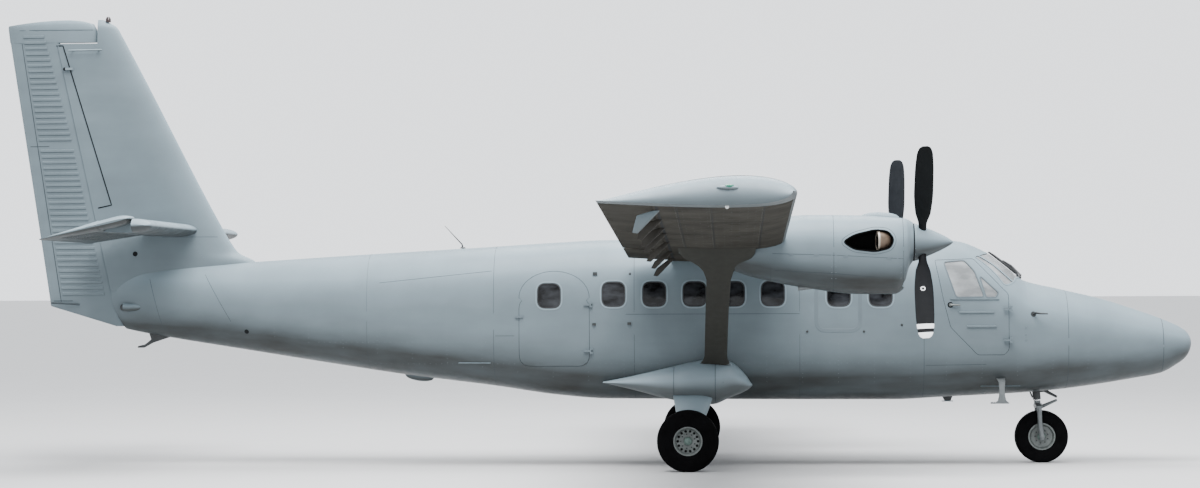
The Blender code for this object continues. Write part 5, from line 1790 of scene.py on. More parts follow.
@dataclass
class Propeller:
    """One propeller: three blades, the back plate's spinner and their paint."""

    side: Side
    x: float = 4.150
    y: float = 2.820
    z: float = 2.860
    sections: tuple[tuple[float, ...], ...] = (
        (0.090, 0.096, 0.096, 0.0), (0.250, 0.100, 0.090, 0.0), (0.420, 0.190, 0.045, 10.0),
        (0.700, 0.232, 0.028, 4.0), (1.000, 0.226, 0.020, -2.0), (1.220, 0.196, 0.014, -5.0),
        (1.305, 0.140, 0.012, -6.0), (1.330, 0.070, 0.010, -6.0))
    marks: tuple[tuple[float, float], ...] = ((1.135, 1.199), (1.250, 1.340))
    radii: tuple[float, ...] = (*span(0.09, 1.05, 0.04), 1.135, 1.167, 1.199, 1.225, 1.250, 1.27, 1.29, 1.305,
                                1.315, 1.324, 1.330)
    first: ClassVar[dict[Side, float]] = {Side.RIGHT: 121.0, Side.LEFT: 112.0}

    def build(self) -> None:
        """Builds and dresses the propeller."""
        body = f"propeller_{self.side.label}"
        hub = Vector((self.x, self.side.value * self.y, self.z))
        blades, rings = Pen(), Pen()
        table = Table([(-radius, *row) for radius, *row in self.sections])
        for turn in (math.radians(self.first[self.side] + 120.0 * blade) for blade in range(3)):
            out = Vector((0.0, math.cos(turn), math.sin(turn)))
            around = Vector((0.0, -math.sin(turn), math.cos(turn)))
            blades.loft([self.blade_ring(hub, out, around, radius, table.at(-radius))
                         for radius in self.radii])
            middle = hub + out * 0.655 - Vector((0.012, 0, 0))
            rings.hoop((middle, out.cross(Vector((1, 0, 0)))), 0.017, 0.031, 0.015, 0.006)
        # The left propeller's blades are lighter grey all over, a painted sheen.
        finish = BLADE_BACK if self.side is Side.RIGHT else BLADE_SHEEN
        skin = blades.piece(f"blades_{self.side.label}", finish, body, "dark_blade", (body,), 40.0)
        self.paint(skin, hub)
        rings.piece(f"blade_rings_{self.side.label}", BLADE_MARK, body, None)
        self.spinner(hub, body)

    def blade_ring(self, hub: Vector, out: Vector, around: Vector, radius: float,
                   row: Sequence[float]) -> list[Vector]:
        """The blade's section at a radius.

        Args:
            hub: The hub's middle.
            out: The direction of the blade.
            around: The direction across it in the propeller's disc.
            radius: The section's distance from the hub.
            row: The section's row of the blade's table.

        Returns:
            The section's points.
        """
        _, chord, thick, twist = row
        angle = math.radians(twist)
        ahead = Vector((1, 0, 0)) * math.cos(angle) + around * math.sin(angle)
        flat, ring = out.cross(ahead), []
        for turn in circle(28):
            swell = math.sin(turn) * (1.0 if radius < 0.3 else 0.80 + 0.20 * math.cos(turn))
            ring.append(hub + out * radius + ahead * math.cos(turn) * chord / 2 + flat * swell * thick / 2)
        return ring

    def paint(self, blades: bpy.types.Object, hub: Vector) -> None:
        """Paints the blades' lit face grey and their tips with white bands.

        Args:
            blades: The blades.
            hub: The hub's middle.
        """
        def facing(place: Vector, normal: Vector) -> bool:
            """Whether a face looks round the hub against the way that the blade is counted."""
            out = Vector((0.0, place.y - hub.y, place.z - hub.z)).normalized()
            return out.cross(Vector((1, 0, 0))).dot(normal) > 0.15

        def marked(place: Vector, _: Vector) -> bool:
            """Whether a face lies in one of the white bands."""
            radius = math.hypot(place.y - hub.y, place.z - hub.z)
            return any(low < radius < high for low, high in self.marks)
        # The lit face is darker grey on the right propeller as painted shade, lighter on the left as painted
        # sheen.
        repaint(blades, BLADE_SHADE if self.side is Side.RIGHT else BLADE_SHEEN, facing)
        repaint(blades, BLADE_MARK, lambda place, normal: facing(place, normal) and marked(place, normal))

    def spinner(self, hub: Vector, body: str) -> None:
        """The spinner's cone, its back rim and its fasteners.

        Args:
            hub: The hub's middle.
            body: The body that it moves with.
        """
        label, radius = self.side.label, 0.230
        length, axis, ahead = 0.487, Vector((4.045, hub.y, hub.z)), (1, 0, 0)
        profile = [(0.0, 0.0), (radius, 0.0)]
        profile += [(radius * (1 - share) ** 0.75, length * (0.04 + 0.96 * share))
                    for share in span(0.0, 1.0, 0.04)]
        Pen().lathe(profile, axis, ahead, 72).piece(f"spinner_{label}_skin", PAINT_COWL, body,
                                                    replaces=(f"spinner_{label}",))
        Pen().hoop((axis, ahead), radius - 0.03, radius + 0.0008, 0.008, -0.004, 72).piece(
            f"spinner_seam_{label}", GAP, body, None)
        outs = [Vector((0, math.cos(turn), math.sin(turn))) for turn in circle(18)]
        screws = [(axis + out * (radius - 0.0004) + Vector((0.016, 0, 0)), out) for out in outs]
        Pen().dots(screws, 0.006, 0.0015).piece(f"spinner_screws_{label}", RIVET, body)


@dataclass
class Tail:
    """The fin, the rudder with its beads and horn, the tailplane and the elevators."""

    foot: tuple[float, float, float] = (-6.371, 1.820, 0.100)
    head: tuple[float, float, float] = (-7.194, 5.620, 0.046)
    horn_x: float = -6.648
    horn_z: float = 5.620
    fin_rows: tuple[tuple[float, ...], ...] = (
        (5.935, -6.560, 0.030, 0.026), (5.829, -6.380, 0.058, 0.042), (5.620, -6.262, 0.068, 0.056),
        (3.130, -4.962, 0.115, 0.092), (2.941, -4.850, 0.118, 0.095), (2.800, -4.742, 0.120, 0.098),
        (2.700, -4.540, 0.118, 0.100), (2.300, -4.200, 0.110, 0.108))
    rudder_rows: tuple[tuple[float, ...], ...] = ((5.665, -7.826, 5.668), (2.700, -7.376, 2.760),
                                                  (1.835, -7.278, 2.105))
    plane: tuple[float, float, float] = (-5.290, 3.110, 3.150)
    tab_top: float = 4.242
    hinge_x: float = -5.970
    nose: float = 0.062
    elevator_chord: float = 0.810
    droop: float = math.radians(13.0)
    horn_y: float = 2.800

    def build(self) -> None:
        """Builds and dresses the tail."""
        self.fin()
        self.rudder()
        self.beads()
        self.tab()
        self.fin_joints()
        self.fin_fittings()
        for side in Side:
            self.tailplane(side)
            self.plane_lines(side)
            self.elevator(side)
            self.elevator_trim(side)

    def axis(self, z: float) -> Vector:
        """A point on the rudder's hinge line."""
        share = (z - self.foot[1]) / (self.head[1] - self.foot[1])
        return Vector((self.foot[0] + (self.head[0] - self.foot[0]) * share, 0.0, z))

    def radius(self, z: float) -> float:
        """The radius of the rudder's nose at a height."""
        share = (z - self.foot[1]) / (self.head[1] - self.foot[1])
        return self.foot[2] + (self.head[2] - self.foot[2]) * share

    def rudder_space(self) -> Pen:
        """The room that the rudder's nose and its sweep need in the fixed tail.

        Returns:
            The pen that holds it.
        """
        rings = []
        for z in (1.60, 6.10):
            centre = self.axis(z)
            rings.append([*self.nose_arc(z, range(-90, 91, 6), 0.0075), centre + Vector((-0.6, 0.5, 0)),
                          centre + Vector((-0.6, -0.5, 0))])
        return Pen().loft(rings)

    def nose_arc(self, z: float, degrees: Iterable[float], out: float = 0.0) -> list[Vector]:
        """Points round the rudder's nose at a height, pushed out by a distance."""
        return [self.axis(z) + Vector((math.cos(turn), math.sin(turn), 0.0)) * (self.radius(z) + out)
                for turn in map(math.radians, degrees)]

    def thickness(self, share: float, half_max: float, half_rear: float) -> float:
        """Half the width of a symmetric section at a share of its length.

        Args:
            share: The share of the length.
            half_max: The largest half width.
            half_rear: The half width at the rear end.

        Returns:
            The half width.
        """
        peak = 0.35
        if share < peak:
            return half_max * math.sqrt(max(0.0, 1 - ((peak - share) / peak) ** 2))
        return half_max + (half_rear - half_max) * ((share - peak) / (1 - peak)) ** 1.5

    def foil(self, length: float, half_max: float, half_rear: float,
             count: int = 22) -> list[tuple[float, float]]:
        """A symmetric section as distances behind its front and half widths.

        Args:
            length: The section's length.
            half_max: The largest half width.
            half_rear: The half width at the rear end.
            count: How many points each flank has.

        Returns:
            Pairs of distance and half width.
        """
        shares = [0.5 * (1 - math.cos(math.pi * index / count)) for index in range(1, count + 1)]
        points = [(share * length, self.thickness(share, half_max, half_rear)) for share in shares]
        return [(0.0, 0.0), *points, *[(aft, -half) for aft, half in reversed(points)]]

    def fin_at(self, z: float) -> tuple[float, float, float, float]:
        """The fin's front, rear and half widths at a height."""
        _, front, half_max, half_rear = Table(self.fin_rows).at(z)
        return front, self.axis(z).x + self.radius(z) * 0.30, half_max, half_rear

    def fin(self) -> None:
        """The fixed fin, with its rear edge wrapped round the rudder's nose."""
        rings = []
        for z in [*span(5.935, 5.829, 0.02), *span(5.80, 3.20, 0.13), *span(3.15, 2.30, 0.03)]:
            front, rear, *halves = self.fin_at(z)
            rings.append([Vector((front - aft, half, z)) for aft, half in self.foil(front - rear, *halves)])
        fin = Pen().loft(rings).piece("fin_skin", PAINT, replaces=("fin",), sharp=40.0)
        carve(fin, self.rudder_space().tool(), sharp=40.0)
        carve(fin, Pen().box((-7.7, -0.3, self.horn_z - 0.004), (-6.634, 0.3, 6.2)).tool(), sharp=40.0)

    def rudder_ring(self, z: float) -> list[Vector]:
        """The rudder's section that starts at a height of its hinge line.

        Args:
            z: The height on the hinge line.

        Returns:
            The section's points.
        """
        _, tail_x, tail_z = Table(self.rudder_rows).at(z)
        tail = Vector((tail_x, 0.0, tail_z))
        return [*self.nose_arc(z, range(90, -91, -9)), tail + Vector((0, -0.006, 0)),
                tail + Vector((0, 0.006, 0))]

    def rudder(self) -> None:
        """The rudder with its balance horn and the pieces that hold it."""
        rows = [self.rudder_ring(z) for z in (5.665, *span(5.5, 2.0, 0.5), 1.835)]
        Pen().loft(rows).piece("rudder_skin", PAINT, "rudder", replaces=("rudder",), sharp=30.0)
        horn = []
        for z, front, tail_x, half in ((self.horn_z + 0.012, self.horn_x, -7.826, 0.050),
                                       (5.80, self.horn_x, -7.846, 0.046), (5.88, -6.690, -7.850, 0.036),
                                       (5.92, -6.840, -7.846, 0.022), (5.935, -7.000, -7.840, 0.010)):
            fall, length = max(0.0, z - 5.80) * 0.55, front - tail_x
            horn.append([Vector((front - aft, half_width, z - fall * (aft / length) ** 2))
                         for aft, half_width in self.foil(length, half, 0.006)])
        Pen().loft(horn).piece("rudder_horn", PAINT, "rudder")
        holders = Pen()
        for z in (2.85, 4.70):
            centre, radius = self.axis(z), self.radius(z)
            holders.box(centre + Vector((radius - 0.004, -0.010, -0.008)),
                        centre + Vector((radius + 0.05, 0.010, 0.008)))
        holders.piece("rudder_hinge_plates", LEG_METAL, ROOT, "gear_metal")

    def rudder_side(self, z: float, x: float, way: int, out: float = 0.0) -> Vector:
        """A point on the rudder's flank at a height and a place along the aeroplane.

        Args:
            z: The height over the floor.
            x: The place along the aeroplane.
            way: 1 for the left flank, -1 for the right.
            out: How far it is pushed out.

        Returns:
            The point.
        """
        low, high = 1.835, 5.665
        share = 0.0
        for _ in range(24):
            middle = (low + high) / 2
            ring = self.rudder_ring(middle)
            top, tail = ring[0 if way > 0 else -3], ring[-1 if way > 0 else -2]
            share = (top.x - x) / (top.x - tail.x)
            low, high = (middle, high) if top.z + (tail.z - top.z) * share < z else (low, middle)
        return top.lerp(tail, share) + Vector((0.0, way * out, 0.0))

    def horn_side(self, z: float, x: float, way: int) -> Vector:
        """A point on the flank of the rudder's horn."""
        rim = min(self.foil(1.190, 0.048, 0.006)[1:23], key=lambda point: abs(point[0] - (self.horn_x - x)))
        return Vector((x, way * rim[1], z))

    def tab_x(self, z: float) -> float:
        """Where the tab's front line lies along the aeroplane, at a height."""
        return -7.690 + (5.796 - z) * 0.1525

    def beads(self) -> None:
        """The stiffening beads of the rudder's skin, from the tab line to the nose."""
        pen = Pen()
        for way in (1, -1):
            for z in (5.712 - 0.0765 * index for index in range(46)):
                if abs(z - self.tab_top) < 0.045:
                    continue
                front = -7.356 + (5.713 - z) * 0.2709 if z > 4.335 else -6.983 + (4.335 - z) * 0.2476
                xs = span(self.tab_x(z) + 0.035, min(front, self.axis(z).x - 0.070), 0.05)
                points = [self.rudder_side(z, x, way) if z < 5.60 else self.horn_side(z, x, way) for x in xs]
                pen.ribbon(flat_spots(points, way), 0.036, 0.010)
        pen.piece("rudder_beads", PAINT, "rudder", sharp=20.0)

    def tab(self) -> None:
        """The joints of the rudder's tab and horn, and the tab's rod."""
        tab = Pen()
        for way in (1, -1):
            points = [self.rudder_side(z, self.tab_x(z), way) for z in span(2.163, 5.62, 0.09)]
            tab.ribbon(flat_spots(points, way), 0.014, 0.0008)
            for z in (self.tab_top, 2.175):
                points = [self.rudder_side(z, x, way)
                          for x in span(self.tab_x(z) - 0.10, self.tab_x(z) + 0.16, 0.05)]
                tab.ribbon(flat_spots(points, way), 0.012, 0.0008)
            points = [self.horn_side(5.80, x, way) for x in span(-7.70, -6.70, 0.05)]
            tab.ribbon(flat_spots(points, way), 0.006, 0.0008)
            tab.tube([(-7.270, way * 0.050, 2.150), (-6.990, way * 0.068, 2.135),
                      (-6.880, way * 0.080, 2.125)], 0.013, 10)
        tab.piece("rudder_tab_lines", SEAM, "rudder")

    def on_fin(self, x: float, z: float, way: int) -> Vector:
        """A point on the fin's flank.

        Args:
            x: The place along the aeroplane.
            z: The height over the floor.
            way: 1 for the left flank, -1 for the right.

        Returns:
            The point.
        """
        front, rear, half_max, half_rear = self.fin_at(z)
        share = min(0.999, max(0.02, (front - x) / (front - rear)))
        return Vector((x, way * self.thickness(share, half_max, half_rear), z))

    def fin_joints(self) -> None:
        """The fin's joints and rivets, and the dark joint along its rear part."""
        seams, edge, rivets = Pen(), Pen(), []
        for way in (1, -1):
            for line, width in ((((-5.02, 3.02), (-5.75, 3.02)), 0.006),
                                (((-5.75, 2.10), (-5.62, 2.52)), 0.005)):
                points = [self.on_fin(x, z, way) for x, z in subdivided(line, 0.06, False)]
                seams.ribbon(flat_spots(points, way), width, 0.0008, sink=0.004)
            for first, last, count in (((-6.273, 5.33), (-5.854, 4.501), 24),
                                       ((-5.368, 2.947), (-5.179, 2.714), 8)):
                places = [Vector(first).lerp(Vector(last), step / count) for step in range(count + 1)]
                rivets += flat_spots([self.on_fin(*place, way) for place in places], way)
            line = ((-7.190, 5.588), (-7.100, 5.588), (-6.995, 5.250), (-6.440, 3.452), (-6.620, 3.413))
            points = [self.on_fin(x, z, way) if x > self.axis(z).x + 0.02 else self.rudder_side(z, x, way)
                      for x, z in subdivided(line, 0.05, False)]
            points = [Vector((p.x, way * (abs(p.y) + 0.003), p.z)) for p in points]
            edge.ribbon(flat_spots(points, way), 0.018, 0.001, sink=0.006)
        seams.piece("fin_seams", SEAM)
        edge.piece("fin_rear_joint", GAP, ROOT, None)
        Pen().dots(rivets, 0.005, 0.001).piece("fin_rivets", RIVET)

    def fin_fittings(self) -> None:
        """The fin's aerial bar, ports and beacon."""
        bar, ports = Pen(), Pen()
        for way in (1, -1):
            y, out = way * 0.125, (0, way, 0)
            bar.tube([(-7.010, y, 5.520), (-6.560, y, 5.525)], 0.011, 10)
            for x in (-6.960, -6.610):
                bar.tube([(x, way * 0.030, 5.522), (x, y, 5.522)], 0.009, 10)
            bar.box((-7.060, min(way * 0.055, way * 0.105), 5.262),
                    (-6.960, max(way * 0.055, way * 0.105), 5.292))
            spot = self.on_fin(-6.120, 2.798, way)
            ports.lathe([(0.018, 0.003), (0.032, 0.003), (0.034, -0.003), (0.018, -0.003)], spot, out, 24)
            ports.disc((spot, out), 0.019, 0.0014, 20)
            ports.disc(((-7.075, way * 0.080, 5.277), out), 0.018, 0.012, 16, foot=0.006, rim=0.004,
                       drop=0.002)
        bar.piece("fin_aerial_bar", PAINT_PALE)
        ports.piece("fin_port_rings", GAP, ROOT, None)
        Pen().lathe([(0.0, 0.075), (0.020, 0.070), (0.034, 0.045), (0.038, 0.0), (0.0, -0.005)],
                    (-6.50, 0, 5.905), (0, 0, 1), 24).piece("fin_beacon", DARK_LENS, ROOT, None)

    def plane_at(self, y: float) -> float:
        """How thick the tailplane is at a place along its span, as a share.

        Args:
            y: Its place along the span.

        Returns:
            The share.
        """
        half = self.plane[2]
        inner = half - 0.16
        return 1.0 if y < inner else math.sqrt(max(0.02, 1 - ((y - inner) / (half - inner)) ** 2))

    def tailplane(self, side: Side) -> None:
        """One fixed tailplane, its rear edge wrapped round the elevator's nose.

        Args:
            side: The side of the aeroplane.
        """
        way, name = side.value, f"tailplane_{side.label}"
        front, z, half = self.plane
        rings = []
        for y in [*span(0.02, 2.9, 0.3), *span(2.92, half, 0.02)]:
            share = self.plane_at(y)
            lead = front - 0.10 * (1 - share) ** 1.5
            rings.append([Vector((lead - aft, way * y, z + height))
                          for aft, height in self.foil(lead - self.plane_rear, 0.085 * share,
                                                       0.0735 * share)])
        skin = Pen().loft(rings).piece(name + "_skin", PAINT, replaces=(name,))
        nose = Pen().tube([(self.hinge_x, way * y, z) for y in (0.03, 3.4)], self.nose + 0.0070, 48)
        carve(skin, nose.tool())
        inner, outer = side.reach(self.horn_y - 0.010, 3.5)
        carve(skin, Pen().box((-6.2, inner, 2.8), (-5.535, outer, 3.4)).tool())

    @property
    def plane_rear(self) -> float:
        """Where the fixed tailplane's section ends, inside the elevator's nose."""
        return self.hinge_x + self.nose * 0.30

    def plane_lines(self, side: Side) -> None:
        """The tailplane's joints and rivets.

        Args:
            side: The side of the aeroplane.
        """
        way, (front, z, _) = side.value, self.plane
        lines, rivets = Pen(), []
        for upper in (1, -1):
            up = Vector((0, 0, upper))
            for y in (0.9, 1.8, 2.7):
                lines.ribbon([(Vector((front - aft, way * y, z + upper * height)), up) for aft, height in
                              self.foil(front - self.plane_rear, 0.085, 0.0735)[2:22] if aft < 0.58], 0.006,
                             0.0008)
            rivets += [(Vector((front - aft, way * y, z + upper * height)), up) for y in span(0.3, 2.75, 0.07)
                       for aft, height in ((0.235, 0.085), (0.46, 0.0805))]
        lines.piece(f"tailplane_seams_{side.label}", SEAM)
        Pen().dots(rivets, 0.0035, 0.001).piece(f"tailplane_rivets_{side.label}", RIVET)

    @property
    def hinge(self) -> Vector:
        """The middle of the elevators' hinge line."""
        return Vector((self.hinge_x, 0.0, self.plane[1]))

    @property
    def elevator_tail(self) -> Vector:
        """The middle of the elevators' trailing edge at rest."""
        back = Vector((self.nose - self.elevator_chord, 0, 0))
        return self.hinge + Matrix.Rotation(-self.droop, 3, "Y") @ back

    def elevator(self, side: Side) -> None:
        """One elevator with its horn.

        Args:
            side: The side of the aeroplane.
        """
        way, half = side.value, self.plane[2]
        turn, rings = Matrix.Rotation(-self.droop, 3, "Y"), []
        for y in [*span(0.220, 2.9, 0.4), *span(2.95, half, 0.03)]:
            share = self.plane_at(y)
            arc = [self.hinge + Vector((math.cos(a), 0.0, math.sin(a))) * self.nose * share
                   for a in map(math.radians, range(90, -91, -9))]
            edge = self.elevator_tail.lerp(self.hinge, 0.10 * (1 - share))
            ring = [*arc, edge - Vector((0, 0, 0.004)), edge + Vector((0, 0, 0.004))]
            rings.append([point + Vector((0, way * y, 0)) for point in ring])
        skin = Pen().loft(rings).piece(f"elevator_{side.label}_skin", PAINT, "elevator",
                                       replaces=(f"elevator_{side.label}",), sharp=30.0)
        room = []
        for z in (2.6, 3.5):
            front, rear, *halves = self.fin_at(z)
            room.append([Vector((front - aft, h + math.copysign(0.006, h) if h else 0.0, z))
                         for aft, h in self.foil(front - rear + 0.01, *halves)])
        carve(skin, Pen().loft(room).tool(), sharp=30.0)
        horn = []
        for y in span(self.horn_y, half - 0.003, 0.03):
            share = self.plane_at(y)
            horn.append([self.hinge + Vector((0, way * y, 0)) + turn
                         @ Vector((0.420 - 0.06 * (1 - share) - aft, 0, h))
                         for aft, h in self.foil(0.50, 0.060 * share, 0.050 * share)])
        Pen().loft(horn).piece(f"elevator_horn_{side.label}", PAINT, "elevator")

    def elevator_trim(self, side: Side) -> None:
        """The beads and the torque tube of one elevator.

        Args:
            side: The side of the aeroplane.
        """
        way, beads = side.value, Pen()
        for upper in (1, -1):
            for y in span(0.45, 2.70, 0.078):
                start = self.hinge + Vector((0, way * y, upper * self.nose))
                end = self.elevator_tail + Vector((0, way * y, upper * 0.004))
                beads.ribbon([(start.lerp(end, share), Vector((0, 0, upper)))
                              for share in span(0.10, 0.72, 0.1)],
                             0.036, 0.005)
        beads.piece(f"elevator_beads_{side.label}", PAINT, "elevator", sharp=20.0)
        tube = Pen().tube([self.hinge + Vector((0, way * y, 0)) for y in (0.05, 0.26)], 0.025, 20)
        tube.piece(f"torque_tube_{side.label}_skin", LEG_METAL, "elevator", "gear_metal")


TAIL = Tail()


@dataclass
class Wheel:
    """One tyre on its rim, turned about its axle."""

    name: str
    body: str
    centre: Vector
    way: int
    radius: float
    width: float
    rim: float
    holes: int = 0
    rib: ClassVar[Outline] = ((0.030, 0.0), (0.034, -0.006), (0.042, -0.006), (0.046, 0.0))
    dish: ClassVar[Outline] = ((0.0, 0.30), (0.30, 0.30), (0.42, 0.36), (0.62, 0.40), (0.84, 0.50),
                               (0.90, 0.66), (0.97, 0.76))

    def build(self) -> None:
        """Builds the tyre, the rim and the hub."""
        axis, half = Vector((0.0, self.way, 0.0)), self.width / 2
        self.tyre(axis, half)
        self.disc(axis, half)
        self.hub(axis, half)

    def covers(self, kind: str) -> tuple[str]:
        """The frame's node that the tyre or the rim stands for."""
        leg, *side = self.name.split("_")
        return ("_".join((leg, kind, *side)),)

    def outs(self, turns: Iterable[float], share: float) -> list[Vector]:
        """Offsets from the wheel's middle in some directions, at a share of the rim's radius."""
        return [Vector((math.cos(turn), 0.0, math.sin(turn))) * self.rim * share for turn in turns]

    def tyre(self, axis: Vector, half: float) -> None:
        """The tyre with its tread's ribs and its flat foot.

        Args:
            axis: The direction of the axle, away from the aeroplane.
            half: Half the tyre's width.
        """
        bead, ground = self.rim + 0.024, 0.0005
        profile = [(bead - 0.012, half * 0.66), (bead, half * 0.80)]
        for step in range(1, 12):
            turn = math.radians(8 + 74 * step / 11)
            share = (0.80 + 0.20 * math.sin(2 * turn) if turn < math.pi / 4
                     else 0.58 + 0.42 * math.cos(turn - math.pi / 4) ** 2.2)
            profile.append((bead + (self.radius - bead) * math.sin(turn) ** 1.25, half * share))
        for place, fall in ((0.098, 0.002), (0.060, 0.0)):
            profile += [(self.radius - fall + depth, place - offset) for offset, depth in self.rib]
        profile += [(radius, -aside) for radius, aside in reversed(profile)]
        tyre = Pen().lathe(profile, self.centre, axis, 96)
        for vert in tyre.bm.verts:
            vert.co.z = max(vert.co.z, ground)
        tyre.piece(self.name + "_tyre_skin", TYRE, self.body, "tyre_rubber", self.covers("tyre"), 30.0)

    def disc(self, axis: Vector, half: float) -> None:
        """The rim with its drilled disc, dark inside the holes.

        Args:
            axis: The direction of the axle, away from the aeroplane.
            half: Half the tyre's width.
        """
        edge, hole = self.rim + 0.012, 0.0170
        face = [(self.rim * radius, half * aside) for radius, aside in self.dish]
        face += [(edge, half * 0.78), (edge, half * 0.70), (self.rim, half * 0.66)]
        profile = [*face, *[(radius, -aside) for radius, aside in reversed(face)]]
        rim = Pen().lathe(profile, self.centre, axis, 96).piece(
            self.name + "_rim_skin", RIM, self.body, "rim_paint", self.covers("rim"), 30.0)
        if not self.holes:
            return
        cuts = Pen()
        for out in self.outs(circle(self.holes), 0.74):
            cuts.lathe([(0.0, half * 0.20), (hole, half * 0.20), (hole, half), (0.0, half)],
                       self.centre + out, axis, 16)
        carve(rim, cuts.tool(), sharp=30.0)

        def in_hole(place: Vector, normal: Vector) -> bool:
            """Whether a face is a wall of a hole or lies behind it."""
            out = place - self.centre
            aside = out.y * self.way
            return (abs(math.hypot(out.x, out.z) - self.rim * 0.74) < hole + 0.0001 and aside > 0
                    and (abs(normal.y) < 0.2 or aside < half * 0.28))
        repaint(rim, RIM_DARK, in_hole)

    def hub(self, axis: Vector, half: float) -> None:
        """The hub's cap, its bolts and the tyre's valve.

        Args:
            axis: The direction of the axle, away from the aeroplane.
            half: Half the tyre's width.
        """
        cap = [(0.0, 0.034), (0.028, 0.032), (0.046, 0.022), (0.050, 0.012), (0.054, 0.008), (0.054, -0.004),
               (0.0, -0.004)]
        Pen().lathe(cap, self.centre + axis * half * 0.30, axis, 40).piece(
            self.name + "_hub_cap", HUB_CAP, self.body, "rim_paint")
        bolts, foot = Pen(), self.centre + axis * half * 0.37
        for out in self.outs([turn + math.pi / 9 for turn in circle(9)], 0.52):
            bolts.disc((foot + out, axis), 0.010, 0.012, 6, foot=0.006, rim=0.001, drop=0.002)
        bolts.piece(self.name + "_bolts", LEG_DARK, self.body, "gear_metal")
        valve = [self.centre + Vector((self.rim * out, 0, 0.02)) + axis * half * aside
                 for out, aside in ((0.86, 0.52), (0.88, 0.86))]
        Pen().tube(valve, 0.005, 8).piece(self.name + "_valve", LEG_DARK, self.body, "gear_metal")


